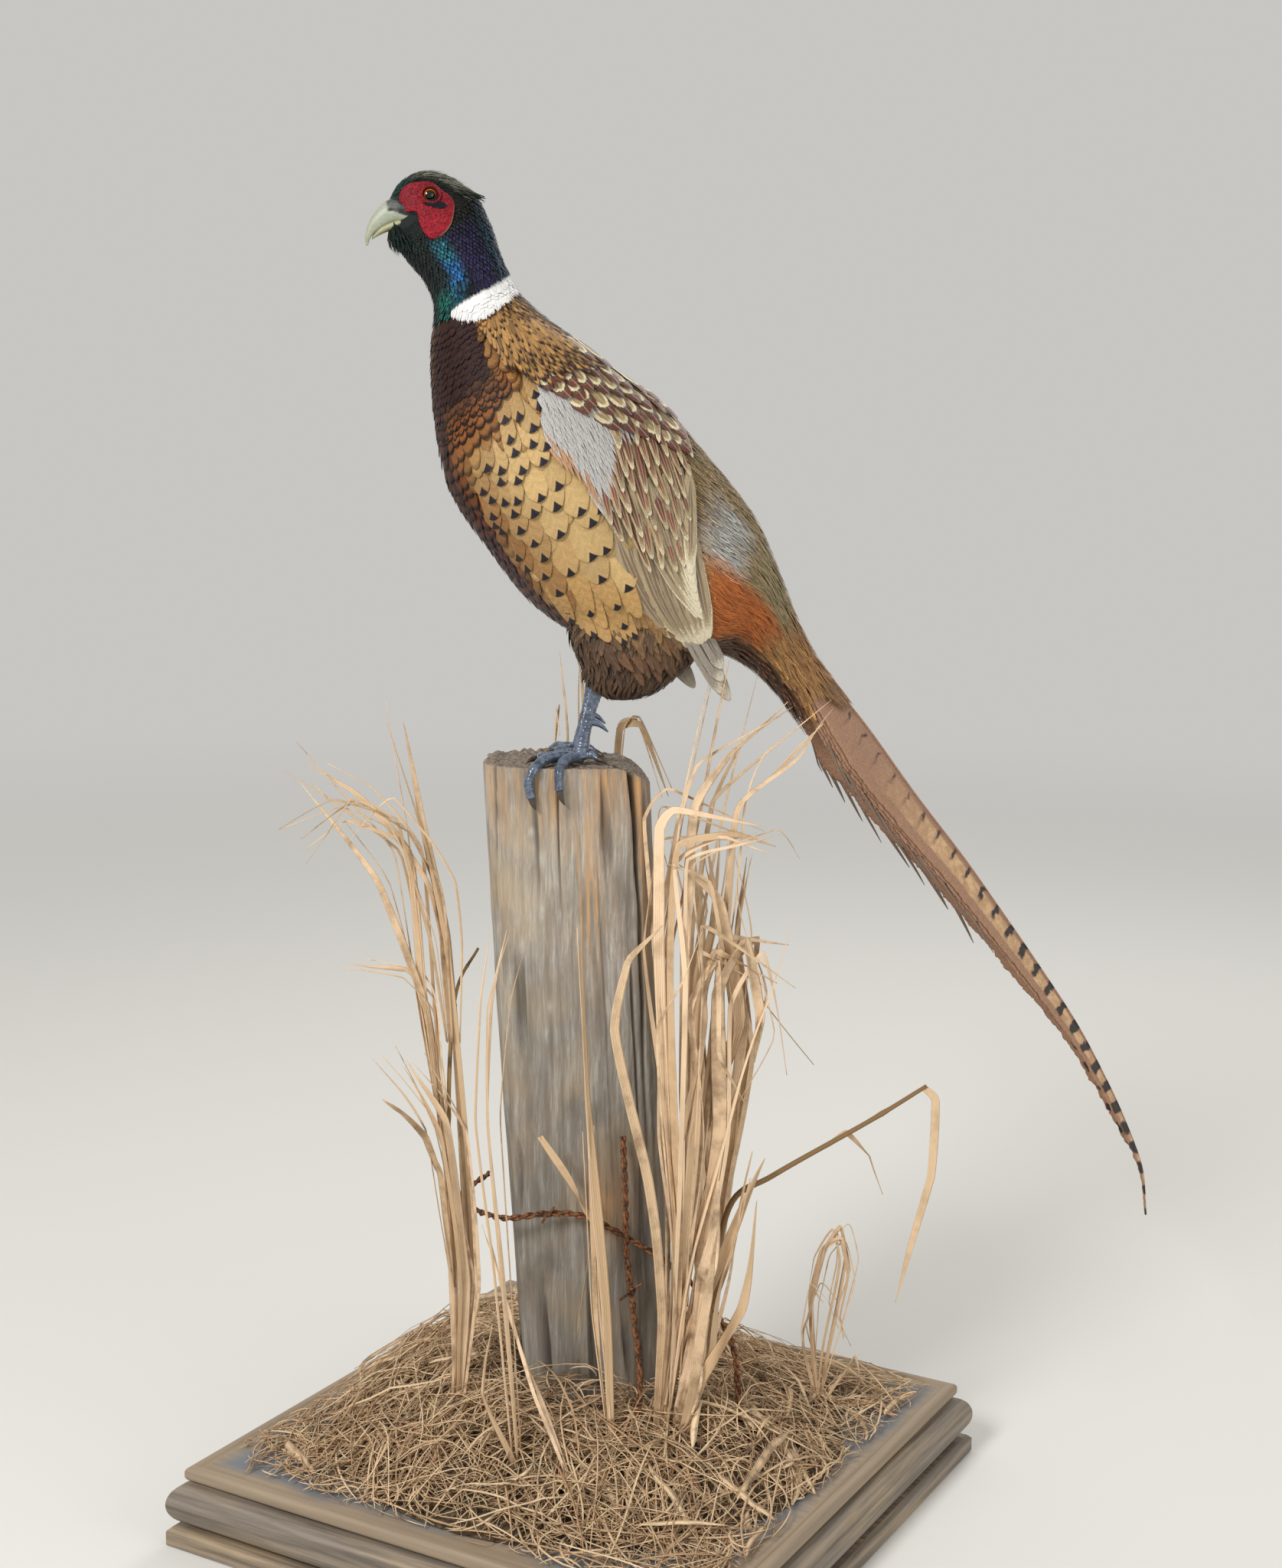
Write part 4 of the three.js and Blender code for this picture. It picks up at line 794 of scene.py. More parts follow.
behind_leaves = [
    (9, [[-14, 62, 74], [-20, 62, 200], [-22, 60, 400], [-20, 56, 520], [-24, 54, 578]]),
    (7, [[-14, 62, 74], [-4, 64, 220], [0, 62, 400], [-4, 60, 500], [-11, 58, 567]]),
    (7, [[-14, 62, 74], [6, 62, 240], [12, 60, 420], [16, 54, 525], [30, 48, 528], [50, 47, 480]]),
    (6, [[-14, 62, 74], [-30, 60, 260], [-34, 56, 420], [-30, 50, 500], [-26, 40, 540], [-22, 30, 522]]),
]
grass("grass_behind_post_leaves", behind_leaves + strays(behind_leaves, 5, 5), ["grass_behind_post"],
      wander=1)

# dry brown dock stem and twigs: round, dull, jointed
stem_material = dried_plant("dry_brown_stem", "#3f2d1b", "#7d5f38", "#a98a54", 0.6)
STEM_FOOT = [72, -34, 76]
stems = [(5, [STEM_FOOT, [80, -32, 150], [91, -30, 218], [120, -30, 240], [182, -30, 277], [219, -30, 301]]),
         *twigs]
lines = np.stack([smooth_line(points, LEAF_ROWS) for width, points in stems])
half = np.array([width for width, points in stems])[:, None] / 2 * np.linspace(1, 0.55, LEAF_ROWS)
half = half * (1 + 0.25 * bump(np.linspace(0, 6, LEAF_ROWS) % 2, 1, 0.12))
points, uv = strips(lines, np.array([0, -1.0, 0.1]), half, 2 * half, 0, 8)
piece("grass_bent_stem_round", turned(points), closed_faces(LEAF_ROWS, 8, len(stems)), stem_material,
      ["grass_bent_stem"], uv=uv, colours={"tone": tone(len(stems), LEAF_ROWS * 8 + 2)})
stem_leaves = [
    (6, [[217, -30, 300], [225, -30, 292], [224, -30, 240], [211, -30, 186], [203, -30, 151]]),
    (4, [[150, -30, 258], [170, -28, 268], [186, -26, 252], [192, -24, 225]]),
]
grass("grass_bent_stem_leaf", stem_leaves, wander=1)

# ---- fence wire -----------------------------------------------------------------------------------------
# Old two-strand barbed fence wire, twisted, with short barbs wound round it. One length crosses the front
# of the post and goes to ground on the right; the other hangs down from the first.

# rusted galvanised wire: brown oxide, rough, with hardly any metal left to shine
wire_material = blank("rusted_fence_wire")
place = add(wire_material, "TexCoord", out="Object")
flake = add(wire_material, "TexNoise", {"Vector": place, "Scale": 380, "Detail": 5})
flake_share = add(wire_material, "MapRange", {"Value": flake, "From Min": 0.38, "From Max": 0.62})
rusty = add(wire_material, "Mix", {0: flake_share, 6: linear("#3a2418"), 7: linear("#8c5a34")}, **COLOUR_MIX)
relief = add(wire_material, "Bump", {"Strength": 0.6, "Distance": 0.0005, "Height": flake})
shader = add(wire_material, "BsdfPrincipled", {
    "Base Color": rusty, "Roughness": 0.72, "Metallic": 0.25, "Normal": relief})
add(wire_material, "OutputMaterial", {"Surface": shader})

STRAND_RADIUS = 1.15
TWIST_PITCH = 17
BARB_REACH = 12
BARB_RADIUS = 0.85


def twisted(points, rows):
    """Two strands wound round a smooth line through the points, half a turn apart, one pitch to a turn."""
    line = smooth_line(points, rows)
    tangent = unit(np.gradient(line, axis=0))
    side = unit(np.cross(tangent, [0.1, 1.0, 0.2]))
    up = np.cross(side, tangent)
    run = run_of(line)
    turn = 2 * np.pi * run / TWIST_PITCH
    wound = STRAND_RADIUS * 0.95 * (side * np.cos(turn)[:, None] + up * np.sin(turn)[:, None])
    return np.stack([line + wound, line - wound])


def barbs(places):
    """Two short crossed points of wire at each place, wound once round the strand between them."""
    t = np.linspace(-1, 1, 40)
    coil = np.clip(1 - np.abs(t) / 0.45, 0, 1) ** 0.4
    lines = []
    for x, y, z, lean in places:
        for way in (1, -1):
            reach = BARB_REACH * np.sign(t) * np.clip(np.abs(t) - 0.3, 0, 1)
            turn = 9 * t * way
            lines.append(np.stack([x + reach * np.sin(lean + way * 0.7) + 2.6 * coil * np.cos(turn),
                                   y - 1 + 2.6 * coil * np.sin(turn) - np.abs(reach) * 0.15,
                                   z + reach * np.cos(lean + way * 0.7) + 2.0 * t * way], -1))
    return np.array(lines)


WIRE_ROWS = 240
strand_across = [[-70, 24, 222], [-88, 4, 214], [-80, -20, 213], [-56, -53, 218], [-28, -52, 221],
                 [-5, -52, 219], [23, -52, 205], [50, -54, 188], [72, -46, 165], [92, -52, 135],
                 [97, -58, 100], [94, -62, 74]]
strand_down = [[20, -50, 272], [22, -56, 230], [23, -56, 196], [28, -64, 157], [32, -76, 118], [30, -92, 76]]
for name, route, rows, places, solid in (
        ("wire_across_twisted", strand_across, WIRE_ROWS, [(-28, -53, 221, 1.2)], "fence_wire_across"),
        ("wire_down_twisted", strand_down, WIRE_ROWS // 2, [(26, -60, 172, 0.4)], "fence_wire_down")):
    line = twisted(route, rows)
    half = np.full(line.shape[:2], STRAND_RADIUS)
    strand_points, uv = strips(line, np.array([0.0, -1.0, 0.2]), half, 2 * half, 0, 8)
    barb_line = barbs(places)
    barb_half = np.full(barb_line.shape[:2], BARB_RADIUS)
    barb_points, uv = strips(barb_line, np.array([0.0, -1.0, 0.2]), barb_half, 2 * barb_half, 0, 6)
    more = [faces + len(strand_points) for faces in closed_faces(barb_line.shape[1], 6, len(barb_line))]
    piece(name, turned(np.vstack([strand_points, barb_points])), closed_faces(rows, 8, 2) + more,
          wire_material, [solid])

# ---- skin -----------------------------------------------------------------------------------------------
# The tanned skin drawn over the carved body, neck, head and thighs: one continuous surface a few millimetres
# under the ends of the feathers, in their colours darkened by painted shade, seen only where they part.

BIRD_TURN = np.radians(45)
BIRD_AT = np.array([-15.6, -9.4, 0])
# Cuts across the bird, tail end first: lower point and upper point (towards the tail, up) and half width.
STATIONS = np.array([
    (188, 497, 214, 524, 13), (166, 522, 192, 550, 16),
    (144, 551, 170, 576, 20), (121, 571, 154, 603, 28), (95, 580, 138, 638, 41), (66, 572, 120, 672, 54),
    (20, 586, 86, 711, 61), (-20, 610, 59.5, 739, 63), (-50, 646, 32, 756.5, 62), (-76, 684, 2, 779, 56),
    (-86, 733, -19.5, 794, 46), (-88, 770, -33.5, 806.5, 34), (-86, 797, -40, 817, 26),
    (-92, 812, -46, 832, 22.5), (-100, 821, -51.5, 848, 19.5), (-107, 829, -60, 864, 18),
    (-112, 834, -76, 875, 16.6), (-114, 839, -93, 878.5, 13.6), (-114.5, 842, -107, 872, 10.2),
    (-115, 844, -114.5, 861, 7.4)])
TAIL_CUTS = 2
BILL_ROOT = 17


def body(s, phi, grow=0.0):
    """A point (towards the tail, up, to the bird's left) at cut s, phi round it from below, grow outside.

    Each cut is an oval between its two points, a little wider below; cuts between the listed ones are smooth.
    The face is hollowed beside the bill.
    """
    row = smooth_row(STATIONS, np.asarray(s) + TAIL_CUTS)
    low, high, half = row[..., 0:2], row[..., 2:4], row[..., 4]
    up = high - low
    tall = np.linalg.norm(up, axis=-1)
    up = up / tall[..., None]
    middle = (low + high) / 2
    c, n = np.cos(phi), np.sin(phi)
    rise = -(tall / 2 + grow) * c
    round_from_below = np.abs((phi + np.pi) % (2 * np.pi) - np.pi)
    beside_bill = np.clip((np.asarray(s) - 14) / 1.2, 0, 1) * np.exp(-((round_from_below - 1.05) / 0.7) ** 2)
    out = (half * (1 - 0.36 * beside_bill) + grow) * np.sign(n) * np.abs(n) ** 0.85 * (1 + 0.1 * c)
    return np.stack([middle[..., 0] + up[..., 0] * rise, middle[..., 1] + up[..., 1] * rise, out], -1)


def in_bird(points):
    """Points of the bird's frame (towards the tail, up, to its left) in the base's frame."""
    points = np.asarray(points, float)
    across = np.stack([points[..., 0], -points[..., 2], points[..., 1]], -1)
    return turned(across, BIRD_TURN) + BIRD_AT


THIGH_OUT = 24
# Cuts of the thigh and of the feathered cuff round the shank below it: height, middle (towards the tail),
# half length and half width.
THIGH_CUTS = np.array([
    (622, 42, 42, 21), (612, 42, 44, 23), (596, 42, 45, 23.5), (584, 40, 41, 23), (572, 38.5, 34, 21.5),
    (563, 35, 28, 19), (556, 32, 21, 14), (552, 31, 12, 8)])
CUFF_CUTS = np.array([(592, 21, 15, 14), (580, 19, 13.5, 13), (570, 17, 11.5, 11), (562, 15, 9, 8.5),
                      (556, 14, 7, 6.5)])
SHANK_BACK = {1: 0, -1: 9}  # the right leg, -1, stands farther back


def hanging(cuts, side):
    """The surface of a thigh or cuff on one side: ovals one below the other, t from the top and phi round."""
    def surface(t, phi, grow=0.0):
        row = smooth_row(cuts, t)
        towards_tail = row[..., 1] + SHANK_BACK[side] + (row[..., 2] + grow) * np.cos(phi)
        to_left = side * THIGH_OUT + (row[..., 3] + grow) * np.sin(phi)
        return np.stack([towards_tail, row[..., 0] + 0 * phi, to_left], -1)
    return surface


def skin_depth(s):
    """How far the skin lies under the ends of the feathers: 3 mm on the trunk, under 1 on the face."""
    return np.interp(s, [0, 9, 10.5, 13.5, 17], [2.0, 3.2, 1.8, 0.9, 0.5])


SKIN_START = -0.3
SKIN_VOXEL = 0.0024
LEG_NET = 40
rows, sectors = 170, 96
s, phi = np.meshgrid(np.linspace(SKIN_START, BILL_ROOT, rows),
                     np.linspace(0, 2 * np.pi, sectors, endpoint=False), indexing="ij")
parts = [(body(s, phi, -skin_depth(s)), rows)]
for side in (1, -1):
    for cuts in (THIGH_CUTS, CUFF_CUTS):
        t, turn = np.meshgrid(np.linspace(len(cuts) - 1, 0, LEG_NET),
                              np.linspace(0, 2 * np.pi, LEG_NET, endpoint=False), indexing="ij")
        parts.append((hanging(cuts, side)(t, -turn, -3.0), LEG_NET))
skin_points, skin_faces = [], []
for grid, count in parts:
    base = sum(len(points) for points in skin_points)
    skin_faces += [faces + base for faces in closed_faces(count, grid.shape[1])]
    skin_points.append(with_ends(grid[None]))

# Colours of the coat by tract: the part of the body (cut from, to, degrees from below from, to), then the
# ground colour of its feathers and the colours of mark and rim. Later tracts lie over earlier ones.
TRACTS = [
    ("mantle", -3, 18, 0, 181, ("#a67a42", "#1c120d", "#7c5026")),
    ("golden flank", 3.3, 7.15, 22, 112, ("#b2935f", "#1d1018", "#a08252")),
    ("golden shoulder", 6.6, 7.4, 50, 112, ("#a27a42", "#1d1018", "#6b4320")),
    ("copper breast", 7.1, 7.9, -1, 90, ("#7d4a22", "#1d0f10", "#190c08")),
    ("copper breast front", 6.0, 7.2, -1, 34, ("#6d3c1b", "#1d0f10", "#1c0d08")),
    ("maroon upper breast", 7.7, 9.8, -1, 80, ("#2e1510", "#22120f", "#1c0d0a")),
    ("dark breast front", 6.3, 8.2, -1, 16, ("#331811", "#1d0f10", "#160b08")),
    ("purple belly", 2.8, 6.4, -1, 19, ("#4c2219", "#140c14", "#24101c")),
    ("vent", 1.2, 3.4, -1, 62, ("#4a3021", "#2a1a12", "#5e412a")),
    ("under tail", -3, 1.5, -1, 52, ("#3f2617", "#1b110c", "#7c4c28")),
    ("back", 3.6, 7.0, 104, 181, ("#967345", "#40201a", "#5a2e1e")),
    ("upper rump", 2.6, 4.3, 118, 181, ("#9f8658", "#46301f", "#b39c6c")),
    ("grey rump", 2.7, 3.6, 98, 136, ("#b3afa6", "#5f6468", "#b3ada0")),
    ("lower rump", -0.2, 2.6, 98, 181, ("#9b8862", "#6d6346", "#b39a6a")),
    ("rusty rump", 1.0, 3.35, 56, 100, ("#b5652b", "#8a4418", "#cb8744")),
    ("tail coverts", -3, 0.9, 52, 181, ("#a97d4c", "#6b452a", "#b98d5a")),
]


def within(x, low, high, soft):
    """1 between two values and 0 outside them, with edges soft wide."""
    return np.clip((x - low) / soft + 0.5, 0, 1) * np.clip((high - x) / soft + 0.5, 0, 1)


def from_below(phi):
    """Degrees round the body from its lowest line, either way."""
    return np.abs(np.degrees(phi))


def hexes(n, hexcolour):
    """One colour, n times."""
    return np.tile(np.array(linear(hexcolour)[:3]), (n, 1))


def laid_over(first, areas, s, phi):
    """A first colour with areas (cut from, to, degrees from, to, colour) laid over it in turn, soft-edged."""
    colour = np.zeros(s.shape + (3,)) + first
    for s_low, s_high, low, high, tint in areas:
        share = within(s, s_low, s_high, 0.5) * within(from_below(phi), low, high, 12)
        colour += share[..., None] * (hexes(1, tint) - colour)
    return colour


def tract_colours(s, phi, kind):
    """Ground (0), mark (1) or rim (2) colour of the coat at places of the body."""
    return laid_over(0, [(*area, tints[kind]) for name, *area, tints in TRACTS], s, phi)


# Colours of the glossy head and neck: blue down the side, violet behind, a bronze crown.
NECK_AREAS = [
    (9, 10.2, 14, 58, "#0c4d44"), (9.7, 10.6, 46, 68, "#14495e"), (10.3, 11.5, 56, 78, "#185080"),
    (11.3, 12.4, 58, 80, "#1c5c68"), (9, 12.7, 82, 124, "#1f1b3a"), (9, 12.9, 128, 181, "#142c3c"),
    (12.4, 14.6, 84, 140, "#12140f"), (13, 16.2, 140, 181, "#55564a"), (15.4, 17, 120, 181, "#123a33"),
    (12.6, 15.4, -1, 40, "#10231f")]


def neck_colours(s, phi):
    """Ground colour of the glossy head and neck: black-green under the areas of colour."""
    return laid_over(hexes(1, "#0b1615"), NECK_AREAS, s, phi)


COLLAR_ANGLES = [40, 45, 60, 75, 90, 135, 150, 180]
OPEN_FRONT = 42  # degrees from below where the collar's two ends stop


def collar_edges(phi):
    """The lower and upper edge of the white collar round the neck, as cuts; they meet at the open front."""
    degrees = from_below(phi)
    return (np.interp(degrees, COLLAR_ANGLES, [9.66, 9.5, 9.3, 9.08, 9.0, 9.0, 9.0, 9.0]),
            np.interp(degrees, COLLAR_ANGLES, [9.6, 9.7, 9.8, 9.83, 9.87, 9.9, 9.98, 9.98]))


THIGHS_BELOW = 588
# painted shade: the skin is this share as bright as the feathers over it
SKIN_PAINTED_SHADE = 0.75
mesh = bpy.data.meshes.new("skin_parts")
mesh.from_pydata((np.vstack(skin_points) * MM).tolist(), [],
                 [face for faces in skin_faces for face in faces.tolist()])
parts_object = bpy.data.objects.new("skin_parts", mesh)
bpy.context.scene.collection.objects.link(parts_object)
remesh = parts_object.modifiers.new("one_skin", "REMESH")
remesh.mode = "VOXEL"
remesh.voxel_size = SKIN_VOXEL
joined = parts_object.evaluated_get(bpy.context.evaluated_depsgraph_get()).to_mesh()
skin_at = np.empty(len(joined.vertices) * 3, np.float32)
joined.vertices.foreach_get("co", skin_at)
skin_at = skin_at.reshape(-1, 3) / MM
skin_quads = np.empty(len(joined.loops), np.int32)
joined.loops.foreach_get("vertex_index", skin_quads)
bpy.data.objects.remove(parts_object)


BLOCK = 4000  # points measured against all samples at one time


def nearest(points, samples):
    """Number of the nearest sample to each point."""
    squares = (samples ** 2).sum(1)
    return np.concatenate([
        (squares - 2 * points[i:i + BLOCK] @ samples.T).argmin(1) for i in range(0, len(points), BLOCK)])


s, phi = np.meshgrid(np.linspace(SKIN_START, BILL_ROOT, 120),
                     np.linspace(-np.pi, np.pi, 64, endpoint=False), indexing="ij")
s, phi = s.ravel(), phi.ravel()
close = nearest(skin_at, body(s, phi, -skin_depth(s)))
skin_s, skin_phi = s[close], phi[close]
low_edge, high_edge = collar_edges(skin_phi)
skin_colour = tract_colours(skin_s, skin_phi, 0)
skin_colour = np.where((skin_s > low_edge)[:, None], hexes(1, "#d9d8d4"), skin_colour)
skin_colour = np.where((skin_s > high_edge)[:, None], neck_colours(skin_s, skin_phi), skin_colour)
skin_colour = np.where((skin_at[:, 1] < THIGHS_BELOW)[:, None], hexes(1, "#3b2417"), skin_colour)

# tanned skin under down: matt, faintly fibrous, in the colour of the feathers over it with painted shade
skin_material = blank("tanned_skin_under_down")
place = add(skin_material, "TexCoord", out="Object")
down = add(skin_material, "TexNoise", {"Vector": place, "Scale": 300, "Detail": 4})
relief = add(skin_material, "Bump", {"Strength": 0.5, "Distance": 0.001, "Height": down})
own = add(skin_material, "Attribute", attribute_name="ground")
shader = add(skin_material, "BsdfPrincipled", {"Base Color": own, "Roughness": 0.9, "Normal": relief})
add(skin_material, "OutputMaterial", {"Surface": shader})
piece("skin_whole", in_bird(skin_at), skin_quads.reshape(-1, 4), skin_material,
      ["head", "neck", "trunk", "thigh_left", "thigh_right"], colours={"ground": skin_colour * SKIN_PAINTED_SHADE})

# ---- plumage --------------------------------------------------------------------------------------------
# Thousands of contour feathers, each a thin curved vane rooted in the skin and lying back over the next one.
# They are set in rows by their tips, tract by tract, from the bill to the tail.


def spans(surface, s, phi):
    """Millimetres per unit of s and of phi on a surface."""
    step = 0.04
    along = np.linalg.norm(surface(s + step, phi) - surface(s - step, phi), axis=-1) / (2 * step)
    around = np.linalg.norm(surface(s, phi + step) - surface(s, phi - step), axis=-1) / (2 * step)
    return np.maximum(along, 4), np.maximum(around, 2)


def tips(s_low, s_high, gap_along, gap_around, surface=body, uneven=0.25):
    """Tip places in rows round a surface, every other row shifted by half a gap, all a little uneven."""
    turn = np.linspace(-np.pi, np.pi, 181)
    rows_s, rows_phi = [], []
    s = s_low
    while s < s_high:
        ring = surface(np.full(turn.shape, s), turn)
        run = run_of(ring)
        count = max(6, int(run[-1] / gap_around))
        share = (np.arange(count) + 0.5 * (len(rows_s) % 2) + uneven * rng.uniform(-0.5, 0.5, count)) / count
        rows_phi.append(np.interp((share % 1) * run[-1], run, turn))
        along = spans(surface, np.array([s]), np.array([np.pi / 2]))[0][0]
        rows_s.append(s + uneven * gap_along / along * rng.uniform(-1, 1, count))
        s += gap_along / along
    return np.concatenate(rows_s), np.concatenate(rows_phi)


def lean_roots(surface, s, phi, length, lean, headward=1):
    """Where feathers with these tips are rooted: length back towards the head, leaning that many radians."""
    root_s, root_phi = s.copy(), phi.copy()
    for _ in range(4):
        along, around = spans(surface, root_s, root_phi)
        root_s = root_s + headward * np.cos(lean) * length / 4 / along
        root_phi = root_phi - np.sin(lean) * length / 4 / around
    return root_s, root_phi


def vanes(surface, root, tip, half, rise, rows=7, columns=7, rounding=0.3, point=0.0, crown=0.06):
    """Feathers as small curved grids on a surface, from root to tip, both (s, phi).

    half is the half width; rise gives the height over the surface at root and tip. The vane widens from its
    root, its end is rounded by drawing the edges back, point narrows it towards the tip, and the edges dip by
    crown times the half width. Gives grids (n, rows, columns, 3) and each point's across and along.
    """
    t, u = np.meshgrid(np.linspace(0, 1, rows), np.linspace(-1, 1, columns), indexing="ij")
    drawn = t * (1 - rounding * np.abs(u) ** 2.4)
    width = np.minimum(1, 0.35 + 2.2 * t) * (1 - point * t**2)
    (root_s, root_phi), (tip_s, tip_phi) = root, tip
    middle_s, middle_phi = (root_s + tip_s) / 2, (root_phi + tip_phi) / 2
    along, around = spans(surface, middle_s, middle_phi)
    run_s, run_phi = (tip_s - root_s) * along, (tip_phi - root_phi) * around
    size = np.maximum(np.hypot(run_s, run_phi), 1e-6)
    forward_s, forward_phi = run_s / size, run_phi / size
    aside = u * width * half[:, None, None]
    s = (root_s[:, None, None] + (tip_s - root_s)[:, None, None] * drawn
         + aside * (forward_phi / along)[:, None, None])
    phi = (root_phi[:, None, None] + (tip_phi - root_phi)[:, None, None] * drawn
           - aside * (forward_s / around)[:, None, None])
    low, high = rise[0][:, None, None], rise[1][:, None, None]
    grow = low + (high - low) * drawn - crown * half[:, None, None] * u**2
    return surface(s, phi, grow), np.stack([0.5 + 0.5 * u, t], -1)


FEATHER_PATCH = 0.003  # side of one feather's patch in the bake map
CARRIED = ("ground", "mark", "rim", "pattern")  # the attributes that a feather's material reads


def batch(grid, place, root, ground, mark, rim, pattern):
    """Feather grids with what their points carry, ready to be joined into one piece.

    The bake map gives each feather a small patch at its root's place on the skin's unwrap.
    """
    n, rows, columns = grid.shape[:3]
    each = rows * columns
    faces = (grid_faces(rows, columns)[:, ::-1] + np.arange(n)[:, None, None] * each).reshape(-1, 4)
    unwrap = np.stack([(root[1] / (2 * np.pi) + 0.5) % 1, (root[0] + 3) / 21], -1) * 0.96 + 0.02
    bake = unwrap[:, None] + (place.reshape(1, each, 2) - 0.5) * FEATHER_PATCH
    made = dict(points=grid.reshape(-1, 3), faces=faces, uv=np.tile(place.reshape(-1, 2), (n, 1)),
                bake=bake.reshape(-1, 2))
    for key, values in zip(CARRIED, (ground, mark, rim, pattern)):
        made[key] = np.repeat(np.broadcast_to(values, (n, np.shape(values)[-1])), each, axis=0)
    return made


def coat(name, batches, material, replaces=()):
    """One piece made of batches of feathers."""
    starts = np.cumsum([0] + [len(b["points"]) for b in batches[:-1]])
    faces = [b["faces"] + start for b, start in zip(batches, starts)]
    joined = {key: np.concatenate([b[key] for b in batches]) for key in ("points", "uv", "bake", *CARRIED)}
    piece(name, in_bird(joined["points"]), faces, material, replaces, uv=joined["uv"],
          bake=joined["bake"], colours={key: joined[key] for key in CARRIED})


